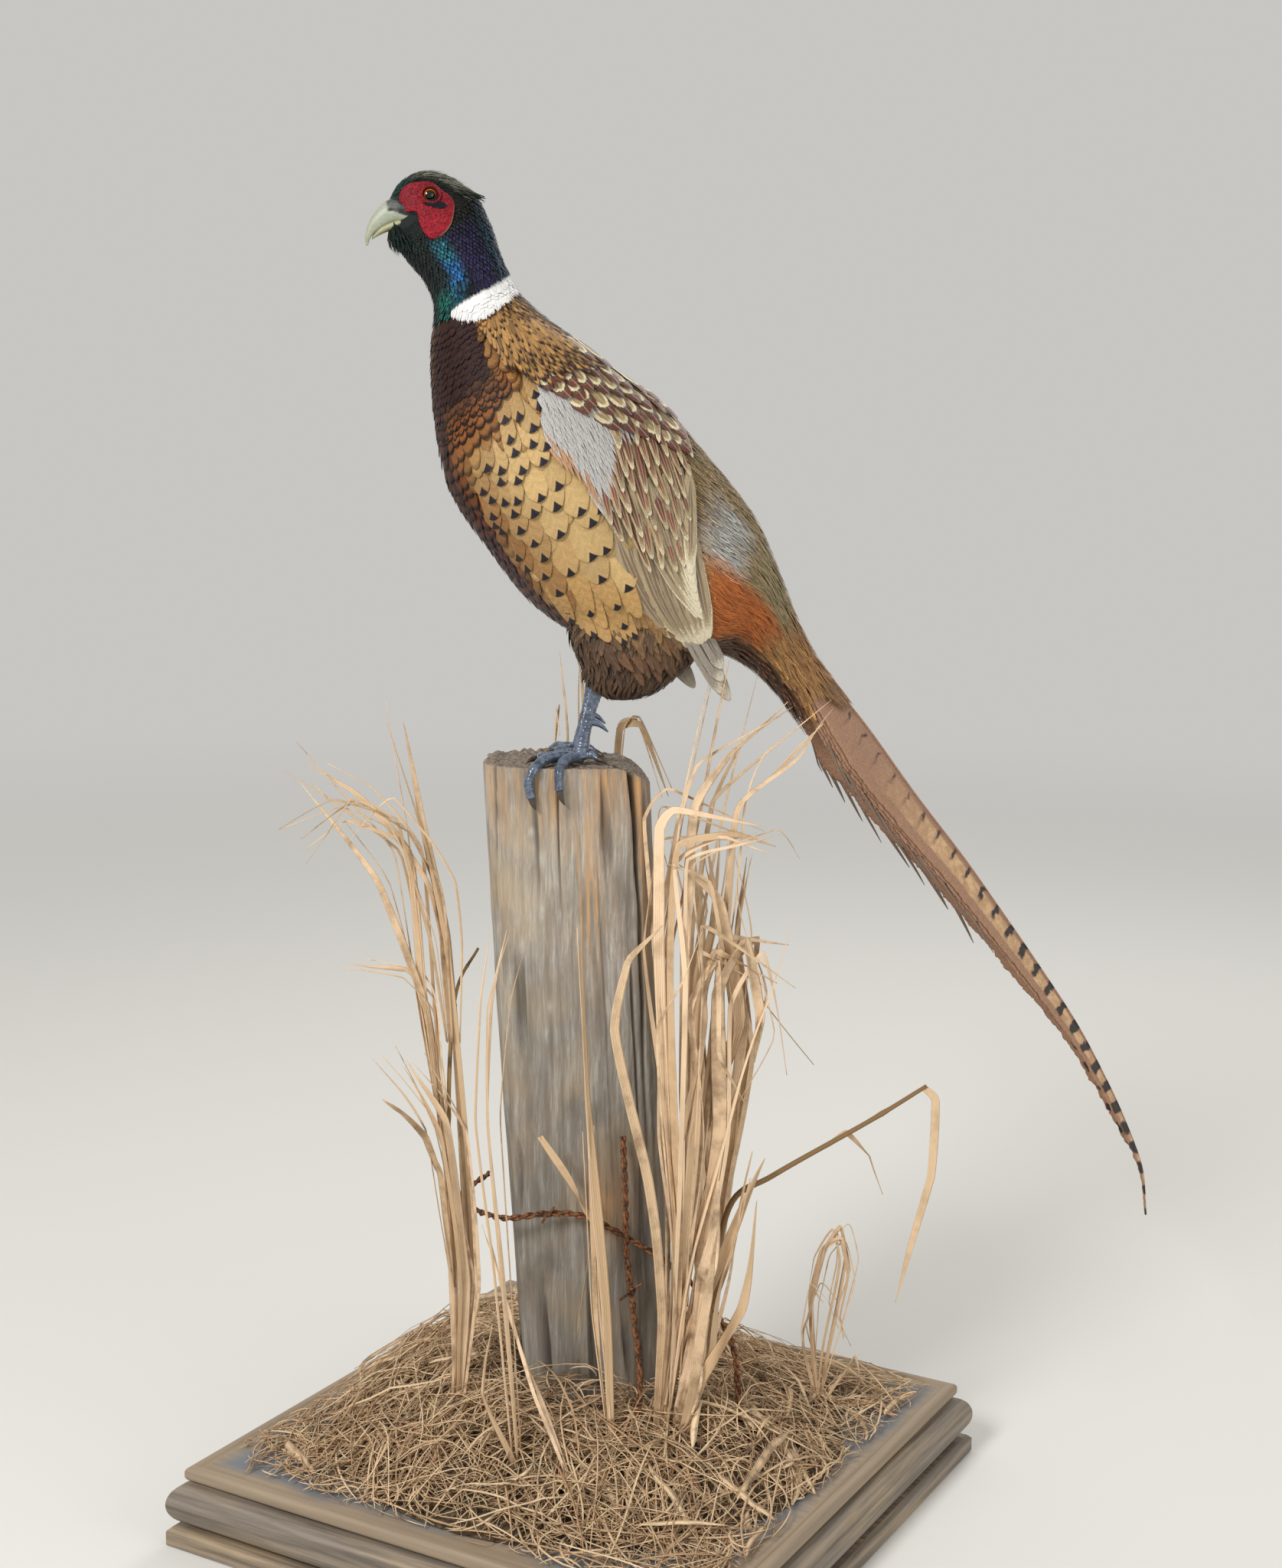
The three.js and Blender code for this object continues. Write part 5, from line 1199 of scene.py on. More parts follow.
def feather_material(name, roughness, metallic, barb_depth, shaft, sheen=0.0, specular=0.5):
    """A feather's web: its ground colour, a drop down its middle, a wedge at its tip, a rim, shaft and barbs.

    The pattern attribute holds the wedge's length, its half width, the rim's width and the drop's half width,
    all as shares of the vane. Without a wedge the second value is the strength of a dark line along the rim.
    """
    material = blank(name)
    place = add(material, "SeparateXYZ", {0: add(material, "UVMap", uv_map="vane")}).node
    x, y = place.outputs[0], place.outputs[1]
    attribute = add(material, "Attribute", attribute_name="pattern").node
    shares = add(material, "SeparateColor", {0: attribute.outputs["Color"]}).node
    wedge_long, wedge_wide, rim_wide = shares.outputs[0], shares.outputs[1], shares.outputs[2]
    drop_wide = attribute.outputs["Alpha"]

    centred = add(material, "Math", {0: x, 1: 2.0, 2: -1.0}, operation="MULTIPLY_ADD")
    u = add(material, "Math", {0: centred}, operation="ABSOLUTE")
    place = add(material, "TexCoord", out="Object")
    fray = add(material, "TexNoise", {"Vector": place, "Scale": 900, "Detail": 2})
    # the wedge that points down from the tip
    from_tip = add(material, "Math", {0: 1.0, 1: y}, operation="SUBTRACT")
    some_long = add(material, "Math", {0: wedge_long, 1: 0.001}, operation="MAXIMUM")
    some_wide = add(material, "Math", {0: wedge_wide, 1: 0.001}, operation="MAXIMUM")
    down_wedge = add(material, "Math", {0: from_tip, 1: some_long}, operation="DIVIDE")
    across_wedge = add(material, "Math", {0: u, 1: some_wide}, operation="DIVIDE")
    wedge = add(material, "Math", {0: down_wedge, 1: across_wedge}, operation="ADD")
    in_wedge = add(material, "MapRange", {"Value": wedge, "From Min": 1.08, "From Max": 0.92})
    has_wedge = add(material, "Math", {0: wedge_long, 1: 0.01}, operation="GREATER_THAN")
    wedge_share = add(material, "Math", {0: in_wedge, 1: has_wedge}, operation="MULTIPLY")
    # the rim, ragged on its inner edge
    side_reach = add(material, "Math", {0: y, 1: 0.2, 2: 0.8}, operation="MULTIPLY_ADD")
    near_side = add(material, "Math", {0: u, 1: side_reach}, operation="MULTIPLY")
    near_rim = add(material, "Math", {0: y, 1: near_side}, operation="MAXIMUM")
    ragged = add(material, "Math", {0: fray, 1: 0.16, 2: -0.08}, operation="MULTIPLY_ADD")
    ragged_near = add(material, "Math", {0: near_rim, 1: ragged}, operation="ADD")
    rim_edge = add(material, "Math", {0: 1.0, 1: rim_wide}, operation="SUBTRACT")
    past_edge = add(material, "Math", {0: ragged_near, 1: rim_edge}, operation="SUBTRACT")
    in_rim = add(material, "MapRange", {"Value": past_edge, "From Min": -0.05, "From Max": 0.05})
    has_rim = add(material, "Math", {0: rim_wide, 1: 0.01}, operation="GREATER_THAN")
    rim_share = add(material, "Math", {0: in_rim, 1: has_rim}, operation="MULTIPLY")
    # the dark line along the rim's inner edge, on feathers without a wedge
    off_line = add(material, "Math", {0: past_edge}, operation="ABSOLUTE")
    on_line = add(material, "MapRange", {"Value": off_line, "From Min": 0.045, "From Max": 0.015})
    no_wedge = add(material, "Math", {0: wedge_long, 1: 0.01}, operation="LESS_THAN")
    line_strength = add(material, "Math", {0: no_wedge, 1: wedge_wide}, operation="MULTIPLY")
    line_share = add(material, "Math", {0: on_line, 1: line_strength}, operation="MULTIPLY")
    # the drop down the middle
    drop_middle = add(material, "Math", {0: rim_wide, 1: -1.3, 2: 0.64}, operation="MULTIPLY_ADD")
    off_middle = add(material, "Math", {0: y, 1: drop_middle}, operation="SUBTRACT")
    drop_y = add(material, "Math", {0: off_middle, 1: 0.34}, operation="DIVIDE")
    drop_y_squared = add(material, "Math", {0: drop_y, 1: drop_y}, operation="MULTIPLY")
    some_drop = add(material, "Math", {0: drop_wide, 1: 0.001}, operation="MAXIMUM")
    drop_x = add(material, "Math", {0: u, 1: some_drop}, operation="DIVIDE")
    drop = add(material, "Math", {0: drop_x, 1: drop_x, 2: drop_y_squared}, operation="MULTIPLY_ADD")
    in_drop = add(material, "MapRange", {"Value": drop, "From Min": 1.25, "From Max": 0.75})
    has_drop = add(material, "Math", {0: drop_wide, 1: 0.01}, operation="GREATER_THAN")
    drop_share = add(material, "Math", {0: in_drop, 1: has_drop}, operation="MULTIPLY")
    ground = add(material, "Attribute", attribute_name="ground")
    mark = add(material, "Attribute", attribute_name="mark")
    rim = add(material, "Attribute", attribute_name="rim")
    colour = add(material, "Mix", {0: drop_share, 6: ground, 7: mark}, **COLOUR_MIX)
    colour = add(material, "Mix", {0: rim_share, 6: colour, 7: rim}, **COLOUR_MIX)
    colour = add(material, "Mix", {0: line_share, 6: colour, 7: linear("#140d0a")}, **COLOUR_MIX)
    colour = add(material, "Mix", {0: wedge_share, 6: colour, 7: mark}, **COLOUR_MIX)
    slant = add(material, "Math", {0: u, 1: -11.0}, operation="MULTIPLY")
    barb_run = add(material, "Math", {0: y, 1: 34.0, 2: slant}, operation="MULTIPLY_ADD")
    barb_phase = add(material, "Math", {0: fray, 1: 5.0, 2: barb_run}, operation="MULTIPLY_ADD")
    barb = add(material, "Math", {0: barb_phase}, operation="SINE")
    uneven = add(material, "Math", {0: fray, 1: 0.34, 2: 0.8}, operation="MULTIPLY_ADD")
    shade = add(material, "Math", {0: barb, 1: 0.04, 2: uneven}, operation="MULTIPLY_ADD")
    shaft_line = add(material, "MapRange", {"Value": u, "From Min": 0.09, "From Max": 0.03, "To Max": shaft})
    off_wedge = add(material, "Math", {0: 1.0, 1: wedge_share}, operation="SUBTRACT")
    shaft_share = add(material, "Math", {0: shaft_line, 1: off_wedge}, operation="MULTIPLY")
    pale = add(material, "Mix", {0: shaft_share, 6: colour, 7: linear("#e3cfa6")}, **COLOUR_MIX)
    grey = add(material, "CombineColor", {i: shade for i in range(3)})
    shaded = add(material, "Mix", {0: 1.0, 6: pale, 7: grey}, **COLOUR_MIX, blend_type="MULTIPLY")
    relief = add(material, "Bump", {"Strength": 0.5, "Distance": barb_depth, "Height": barb})
    shader = add(material, "BsdfPrincipled", {
        "Base Color": shaded, "Roughness": roughness, "Metallic": metallic, "Normal": relief,
        "Sheen Weight": sheen, "Sheen Roughness": 0.4, "Specular IOR Level": specular})
    add(material, "OutputMaterial", {"Surface": shader})
    return material


# soft contour feathers: matt webs with a fine ribbed grain and a faint sheen on the curve
soft_plumage = feather_material("soft_contour_feathers", 0.62, 0.0, 0.0003, shaft=0.08, sheen=0.03,
                                specular=0.35)
# close smooth breast feathers: no pale shafts, a soft gloss
smooth_plumage = feather_material("smooth_breast_feathers", 0.6, 0.0, 0.0002, shaft=0.0, specular=0.22)
# pheasant's glossy neck hackles: dark webs whose structure throws back blue, green and violet like metal
gloss_plumage = feather_material("glossy_neck_hackles", 0.6, 0.1, 0.0002, shaft=0.0, specular=0.25)
# white collar feathers: soft, loose-edged, plain
white_plumage = feather_material("white_collar_feathers", 0.7, 0.0, 0.0001, shaft=0.0, sheen=0.2)


def set_in(s, phi, length, half, lean, lift, **shape):
    """Feathers by their tips: roots are worked out along the lie. lean is in degrees towards the belly."""
    n = len(s)
    length, half = np.broadcast_to(length, n), np.broadcast_to(half, n)
    turn = -np.radians(np.broadcast_to(lean, n)) * np.sign(phi) + rng.normal(0, 0.06, n)
    root = lean_roots(body, s, phi, length * rng.uniform(0.9, 1.1, n), turn)
    rise = (np.full(n, lift[0]), lift[1] + rng.uniform(-0.3, 0.5, n))
    grid, place = vanes(body, root, (s, phi), half * rng.uniform(0.9, 1.1, n), rise, **shape)
    return grid, place, root


def varied(colours, amount):
    """Colours with a little difference in lightness from feather to feather."""
    return np.clip(colours * (1 + amount * rng.normal(0, 1, (len(colours), 1))), 0, 1)


def feathers(s, phi, keep, length, half, lean, lift, pattern, colours=None, tint=0.1, **shape):
    """A batch of body feathers by their tips, in the colours of their tract or in the three given."""
    s, phi = s[keep], phi[keep]
    length, half = (np.interp(s, *value) if isinstance(value, tuple) else value for value in (length, half))
    grid, place, root = set_in(s, phi, length, half, lean, lift, **shape)
    ground, mark, rim = colours or [tract_colours(s, phi, kind) for kind in range(3)]
    pick = lambda values: hexes(len(s), values) if isinstance(values, str) else values
    return batch(grid, place, root, varied(pick(ground), tint), varied(pick(mark), tint),
                 varied(pick(rim), tint), pattern[keep] if np.ndim(pattern) > 1 else np.array(pattern))


# ---- head and neck feathers -----------------------------------------------------------------------------
# Tiny on the face, longer and looser down the neck: black webs with a thin edge that shines blue, green or
# violet. The wattle and the root of the bill are left bare. The white collar lies under the lowest of them.

WATTLE_EDGE = np.array([(-109.4, 857), (-109, 864.4), (-106.4, 868.2), (-103.1, 870.1), (-98.6, 871),
                        (-91, 871.4), (-87.5, 869.6), (-83, 865.5), (-78.6, 862), (-76.3, 857.5),
                        (-77.6, 849.4), (-80, 843.5), (-84.8, 838.2), (-90.5, 835.8), (-95.2, 838.3),
                        (-98.6, 844.5), (-99.8, 851.2), (-103.2, 852.1), (-107.5, 852.3)])
BILL_FREE = np.array([(-125, 868), (-111.5, 863.5), (-108, 858), (-108, 853.5), (-98.5, 849.6),
                      (-96.5, 846.2), (-103, 842.0), (-108, 838.5), (-117, 832), (-125, 830)])
EDGE_STRANDS = 700  # loose strands along each edge of the collar


def inside(outline, u, v):
    """Whether places lie inside a closed outline, by counting the sides crossed by a level line from each."""
    odd = np.zeros(u.shape, bool)
    for (u0, v0), (u1, v1) in zip(outline, np.roll(outline, -1, axis=0)):
        crosses = ((v0 > v) != (v1 > v)) & (u < (u1 - u0) * (v - v0) / (v1 - v0 + 1e-9) + u0)
        odd ^= crosses
    return odd


def glossy(s, phi, keep, length, half, lean, lift, edge, **shape):
    """Glossy feathers: the neck's colour on a thin edge, nearly black inside it."""
    shine = neck_colours(s[keep], phi[keep])
    dull = 0.3 + 0.7 * within(s[keep], 12.9, 18, 0.6)[:, None]
    return feathers(s, phi, keep, length, half, lean, lift, [0, 0, edge, 0.0],
                    (shine * dull * 0.6, shine * 0.16, shine * 1.3 + 0.002), 0.35, **shape)


s, phi = tips(9.35, 13.2, 2.1, 2.5)
high_edge = collar_edges(phi)[1]
lowest = np.where(from_below(phi) < OPEN_FRONT, 9.45, high_edge) + rng.normal(0, 0.03, len(s))
neck = glossy(s, phi, s > lowest, ([9.4, 10.5, 13.2], [10, 9, 6]), ([9.4, 13.2], [2.1, 1.6]), 6, (-1.3, 0.5),
              0.22, rows=6, columns=5, point=0.35, rounding=0.35)
edge_phi = rng.uniform(0.72, np.pi, EDGE_STRANDS) * np.sign(rng.uniform(-1, 1, EDGE_STRANDS))
edge_s = collar_edges(edge_phi)[1] + 0.06 + rng.normal(0, 0.045, EDGE_STRANDS)
strands = glossy(edge_s, edge_phi, np.ones(EDGE_STRANDS, bool), 8, 0.7, 6, (-0.6, 0.9), 0.2, rows=6,
                 columns=3, point=0.6, rounding=0.2)
s, phi = tips(13.0, 16.75, 1.5, 1.5)
x, up = body(s, phi)[:, :2].T
bare = inside(WATTLE_EDGE, x, up) | inside(BILL_FREE, x, up) | inside(BILL_FREE, x - 2.2, up + 0.8)
face = glossy(s, phi, ~bare, ([13, 15, 16.7], [5.5, 4, 2.2]), ([13, 16.7], [1.5, 0.8]), 0, (-0.7, 0.35), 0.15,
              rows=5, columns=3, point=0.4, rounding=0.3)
s, phi = tips(12.9, 14.8, 3.0, 2.6, uneven=0.7)
chin = glossy(s, phi, from_below(phi) < 44, 9, 1.1, 0, (-0.7, 3.4), 0.12, rows=6, columns=3, point=0.6,
              rounding=0.2)
s, phi = tips(12.9, 14.6, 2.6, 2.4, uneven=0.7)
crown = feathers(s, phi, from_below(phi) > 138, 9, 0.6, 0, (-0.6, 1.6), [0, 0, 0, 0],
                 ("#6d6c5e", "#3c3b31", "#85846f"), 0.25, rows=6, columns=3, point=0.6, rounding=0.2)
coat("coat_head_neck", [neck, strands, face, chin, crown], gloss_plumage)

WHITES = ("#dfddda", "#b9b6b0", "#e6e4e1")
s, phi = tips(8.9, 10.2, 2.4, 2.8)
low_edge, high_edge = collar_edges(phi)
keep = (s > low_edge + 0.05) & (s < high_edge - 0.22) & (from_below(phi) > 41)
white = feathers(s, phi, keep, 11, 3.0, 4, (-1.6, 0.3), [0, 0, 0, 0], WHITES, 0.03, rows=6, columns=5,
                 point=0.15, rounding=0.3)
edge_s = collar_edges(edge_phi)[0] + 0.03 + rng.normal(0, 0.035, EDGE_STRANDS)
white_strands = feathers(edge_s, edge_phi, np.abs(edge_phi) > 0.76, 9, 1.0, 4, (-1.2, 0.8), [0, 0, 0, 0],
                         WHITES, 0.03, rows=6, columns=3, point=0.4, rounding=0.25)
coat("coat_collar", [white, white_strands], white_plumage)

# ---- breast and mantle ----------------------------------------------------------------------------------
# Rounded feathers lying like scales: plain dark maroon on the upper breast, copper with thin black edges
# below it, and narrower notched golden-brown ones from the nape over the shoulders.

# by cut, the degrees from below where the golden flanks begin
GOLD_FROM = ([4.8, 5.8, 6.28, 6.68, 7.09, 7.3, 7.5], [19, 17, 17, 25, 42, 70, 104])
s, phi = tips(7.55, 9.35, 3.4, 4.4)
low_edge = collar_edges(phi)[0]
keep = (from_below(phi) < 84 + rng.normal(0, 3, len(s))) & (s < np.minimum(low_edge, 9.5))
maroon = feathers(s, phi, keep, 13, 3.4, 8, (-2, 0.4), [0, 0, 0.08, 0], None, 0.1)
s, phi = tips(5.2, 8.0, 6.4, 8.2)
keep = from_below(phi) < np.minimum(np.interp(s, *GOLD_FROM) + 6, 100)
scales = feathers(s, phi, keep, ([5.2, 7, 8], [27, 22, 17]), ([5.2, 7, 8], [6.6, 5.8, 5]), 8, (-2.6, 0.5),
                  [0, 0, 0.11, 0], None, 0.1, rounding=0.26)
coat("coat_breast", [scales, maroon], smooth_plumage)

# by degrees from below, the cut that the mantle reaches back to, where the scapulars begin
SCAPULAR_FRONT = ([90, 104, 112, 122, 139, 155, 181], [7.3, 7.05, 6.9, 6.75, 6.5, 6.15, 6.0])
s, phi = tips(6.0, 9.3, 4.2, 4.4, uneven=0.5)
degrees = from_below(phi)
low_edge = collar_edges(phi)[0]
front = np.interp(degrees, *SCAPULAR_FRONT)
keep = (degrees > np.interp(s, [7.4, 8, 9.4], [98, 84, 78])) & (s < low_edge - 0.02) & (s > front)
over_wing = (np.clip(1.5 - (s - front), 0, 1) * np.clip((165 - degrees) / 30, 0.15, 1))[keep]
notch = rng.uniform(0.1, 0.2, len(s))
mantle = feathers(s, phi, keep, ([6, 8, 9.3], [22, 16, 12]), ([6, 9.3], [3.5, 2.5]), 8,
                  (-2.6 + 4.8 * over_wing, 0.6 + 4.9 * over_wing),
                  np.stack([notch, 0.34 + 0 * s, 0.15 + 0 * s, 0 * s], -1), ("#9c7440", "#140d0a", "#4c2f18"),
                  0.2, point=0.4, rounding=0.5, columns=5)
coat("coat_mantle", [mantle], soft_plumage)

# ---- flanks and belly -----------------------------------------------------------------------------------
# Long golden feathers, each with a black-violet wedge at its tip, over plain ones; dark purple-brown below.

# (cut, degrees from below) of the wedge-marked tips on one side
FLANK_TIPS = np.array([(6.79, 85), (7.09, 98), (6.88, 96), (6.50, 84), (6.62, 79), (6.39, 77), (6.79, 68),
                       (6.94, 70), (7.04, 82), (7.2, 73), (6.56, 65), (6.50, 59), (6.76, 55), (6.62, 50),
                       (6.90, 48), (6.01, 74), (6.08, 63), (5.81, 66), (6.29, 51), (6.41, 44), (6.55, 38),
                       (6.21, 44), (6.01, 54), (5.51, 74), (5.25, 82), (5.26, 74), (5.54, 58), (5.96, 40),
                       (6.12, 28), (5.76, 42), (6.26, 27), (4.94, 62), (4.80, 69), (4.66, 56), (5.04, 47),
                       (5.48, 41), (5.33, 33), (5.73, 25), (4.96, 32), (4.73, 26), (4.39, 50), (4.12, 39),
                       (3.81, 31), (5.53, 25), (6.41, 30), (6.70, 36), (4.3, 60), (4.05, 52), (3.75, 42),
                       (3.5, 36), (4.5, 40), (3.3, 44), (3.55, 50)])
s, phi = tips(3.2, 7.2, 8, 10)
keep = (from_below(phi) > np.interp(s, *GOLD_FROM)) & (from_below(phi) < 106)
under = feathers(s, phi, keep, ([3.2, 6, 7.2], [40, 34, 22]),
                 ([3.2, 6, 7.2], [8, 7.5, 5]), 18, (-3, -0.7), [0, 0, 0.05, 0], None, 0.09)
WEDGE_LONG, WEDGE_HALF = 5.6, 3.6
s = np.tile(FLANK_TIPS[:, 0], 2) + rng.normal(0, 0.02, 2 * len(FLANK_TIPS))
phi = np.radians(np.concatenate([FLANK_TIPS[:, 1], -FLANK_TIPS[:, 1]]))
order = np.argsort(s)
s, phi = s[order], phi[order]
size = np.interp(s, [3.3, 5, 6.2, 7.2], [46, 42, 32, 20])
golden = (np.clip((from_below(phi) - 28) / 30, 0, 1) * np.clip((s - 3.2) / 0.8, 0.2, 1)
          * np.clip((7.5 - s) / 0.8, 0.4, 1))[:, None]
ground = hexes(1, "#8a6236") * (1 - golden) + hexes(1, "#b79865") * golden
half = size * 0.22 + 0.8
flank = feathers(s, phi, np.ones(len(s), bool), size, half, 18, (-2.6, 0.9),
                 np.stack([WEDGE_LONG / size, WEDGE_HALF / half, 0.02 + 0 * s, 0 * s], -1),
                 (ground, "#170e17", ground * 0.86), 0.06, columns=9, rounding=0.2)
s, phi = tips(2.6, 6.3, 7, 7.5)
belly = feathers(s, phi, from_below(phi) < np.interp(s, [2.6, 4, 6.3], [30, 24, 15]), 27, 5.6, 6, (-2.6, 0.7),
                 [0.2, 0.5, 0.08, 0], None, 0.2, point=0.2)
coat("coat_flanks_belly", [under, flank, belly], soft_plumage)

# ---- back and rump --------------------------------------------------------------------------------------
# Mottled back feathers, then long hair-like webs over the rump and under the tail.

s, phi = tips(3.3, 6.9, 5, 4.4, uneven=0.7)
back = feathers(s, phi, from_below(phi) > 112, 28, 3.2, 4, (-2.6, 0.9), [0, 0, 0, 0.4], None, 0.22, point=0.5)
s, phi = tips(-0.6, 4.1, 3.2, 3.0, uneven=0.9)
keep = (from_below(phi) > 50) & ~((from_below(phi) < 90) & (s > 3.6))
rump = feathers(s, phi, keep, rng.uniform(24, 42, keep.sum()), 1.9, rng.normal(4, 6, keep.sum()),
                (-3, 0.8), [0, 0, 0, 0.25], None, 0.2, columns=3, rows=7, point=0.8, rounding=0.1)
s, phi = tips(-0.9, 3.2, 5, 5, uneven=0.7)
vent = feathers(s, phi, from_below(phi) < 58, 28, 3.2, 0, (-2.6, 0.9), [0, 0, 0.1, 0], None, 0.25, columns=5,
                point=0.6)
coat("coat_back", [back], soft_plumage)
coat("coat_rump_vent", [rump, vent], soft_plumage)


# ---- thighs ---------------------------------------------------------------------------------------------
# Loose, downy dark-brown feathers hanging over the thigh and closing round the top of the shank.

thigh_batches = []
for side in (1, -1):
    for cuts, gap, length, half, low, high, edge in (
            (THIGH_CUTS, 3.8, 25, 2.6, 0.6, 7, 0.1), (CUFF_CUTS, 3.0, 17, 1.9, 0, 4, 0.1),
            (THIGH_CUTS, 7, 38, 5.6, 0.3, 4.4, 0.3)):
        surface = hanging(cuts, side)
        t, turn = tips(low + 0.3, high, gap, gap, surface, 0.7)
        n = len(t)
        lengths = length * rng.uniform(0.7, 1.15, n)
        root = lean_roots(surface, t, turn, lengths, rng.normal(0, 0.25, n), -1)
        grid, place = vanes(surface, root, (t, turn), np.full(n, half) * rng.uniform(0.7, 1.2, n),
                            (np.full(n, -3.5), rng.uniform(-0.8, 1.2, n) + 6 * (edge - 0.1)), rows=7,
                            columns=5, point=0.8 - edge, rounding=edge)
        down = np.clip(t / (0.55 * len(cuts)) + rng.normal(0, 0.12, n), 0, 1)[:, None]
        bright = np.clip(1 - down * 1.5, 0, 1)
        ground = hexes(n, "#8b6c45") * bright + hexes(n, "#4b3523") * (1 - bright)
        skin_place = (np.clip(3.2 - t * 0.2, -2, 16), turn * 0.1 + side * 0.7)
        thigh_batches.append(batch(grid, place, skin_place, varied(ground, 0.3), ground * 0.5,
                                   varied(ground * 1.2, 0.2), np.array([0, 0, 0.1, 0.2])))
coat("coat_thighs", thigh_batches, soft_plumage)

# ---- wings ----------------------------------------------------------------------------------------------
# Folded against the sides: pale blue-grey small coverts at the shoulder, streaked tertials behind them, the
# long secondaries below, and dark-edged cream scapulars laid over the top from the back.


def on_side(places, grow=3.0):
    """Where places seen from the side, (towards the tail, up), lie on the body: (s, phi) on the bird's left.

    The nearest point of a coarse net, then four Newton steps on the two coordinates.
    """
    places = np.asarray(places, float)
    s, phi = np.meshgrid(np.linspace(-1.5, 16.5, 145), np.radians(np.linspace(6, 175, 90)), indexing="ij")
    s, phi = s.ravel(), phi.ravel()
    close = nearest(places, body(s, phi, grow)[:, :2])
    s, phi = s[close], phi[close]
    step = 1e-3
    for _ in range(4):
        at = body(s, phi, grow)[:, :2]
        by_s = (body(s + step, phi, grow)[:, :2] - at) / step
        by_phi = (body(s, phi + step, grow)[:, :2] - at) / step
        miss = places - at
        det = by_s[:, 0] * by_phi[:, 1] - by_s[:, 1] * by_phi[:, 0]
        det = np.where(np.abs(det) < 1, 1, det)
        s = s + np.clip((miss[:, 0] * by_phi[:, 1] - miss[:, 1] * by_phi[:, 0]) / det, -0.2, 0.2)
        phi = np.clip(phi + np.clip((by_s[:, 0] * miss[:, 1] - by_s[:, 1] * miss[:, 0]) / det, -0.1, 0.1),
                      0.05, 3.09)
    return s, phi


def scatter(outline, gap_down, gap_across, lie):
    """Tip places inside an outline seen from the side, in rows across the lie, every other one shifted."""
    outline = np.array(outline, float)
    c, n = np.cos(lie), np.sin(lie)
    frame = np.array([[n, -c], [c, n]])
    local = outline @ frame.T
    down, across = np.meshgrid(np.arange(local[:, 0].min(), local[:, 0].max(), gap_down),
                               np.arange(local[:, 1].min(), local[:, 1].max(), gap_across), indexing="ij")
    across = across + gap_across / 2 * (np.arange(len(down)) % 2)[:, None]
    places = np.stack([down.ravel(), across.ravel()], -1) @ frame
    places = places + rng.normal(0, 0.12, places.shape) * min(gap_down, gap_across)
    return places[inside(outline, places[:, 0], places[:, 1])]


def wing_feathers(tip_places, length, half, lie, rise, ground, mark, rim, pattern, **shape):
    """Feathers on both wings from their tips on the left; lie is their slope from upright to the tail."""
    n = len(tip_places)
    length, half, lie = (np.broadcast_to(value, n) for value in (length, half, lie))
    back = np.stack([-np.sin(lie), np.cos(lie)], -1)
    root_s, root_phi = on_side(tip_places + back * length[:, None])
    tip_s, tip_phi = on_side(tip_places)
    made = []
    for side in (1, -1):
        low, high = (np.broadcast_to(value, n) + rng.uniform(-0.1, 0.25, n) for value in rise)
        root = (root_s, side * root_phi)
        grid, place = vanes(body, root, (tip_s, side * tip_phi), half, (low, high), **shape)
        made.append(batch(grid, place, root, ground, mark, rim, pattern))
    return made


# long soft flank feathers that hang over the top of each thigh and hide where it leaves the body
CELL = 2.0
CELLS = 100
CELLS_FROM = (-60, 520)  # the first cell's place: towards the tail, up
DRAPE_AREA = [(0, 612), (10, 612), (30, 606), (52, 598), (76, 594), (82, 584), (76, 566), (58, 560),
              (40, 562), (22, 572), (8, 586), (0, 600)]
# tips of the last golden flank feathers, which lie over the dark ones
LAST_GOLDEN = np.array([(26, 588), (17, 590), (33, 594), (7, 594), (25, 599), (14, 601), (-3, 602), (34, 606),
                        (5, 606), (21, 610)], float)


def outer_face(side):
    """The farther out of body and thigh at each place seen from the side, as a smoothed map in 2 mm cells."""
    s, phi = np.meshgrid(np.linspace(-0.5, 8, 420), np.linspace(0.02, np.pi - 0.02, 260), indexing="ij")
    t, turn = np.meshgrid(np.linspace(0, len(THIGH_CUTS) - 1.2, 200), np.linspace(0, 2 * np.pi, 240),
                          indexing="ij")
    thigh = hanging(THIGH_CUTS, side)(t, turn, 1.0)
    seen = np.concatenate([body(s, phi, 0.8).reshape(-1, 3), thigh.reshape(-1, 3)])
    out = np.zeros((CELLS, CELLS))
    cell = np.clip(((seen[:, :2] - CELLS_FROM) / CELL).astype(int), 0, CELLS - 1)
    np.maximum.at(out, (cell[:, 0], cell[:, 1]), np.abs(seen[:, 2]))
    for _ in range(6):
        for way in (0, 1):
            out = (np.roll(out, 1, way) + 2 * out + np.roll(out, -1, way)) / 4
    return out


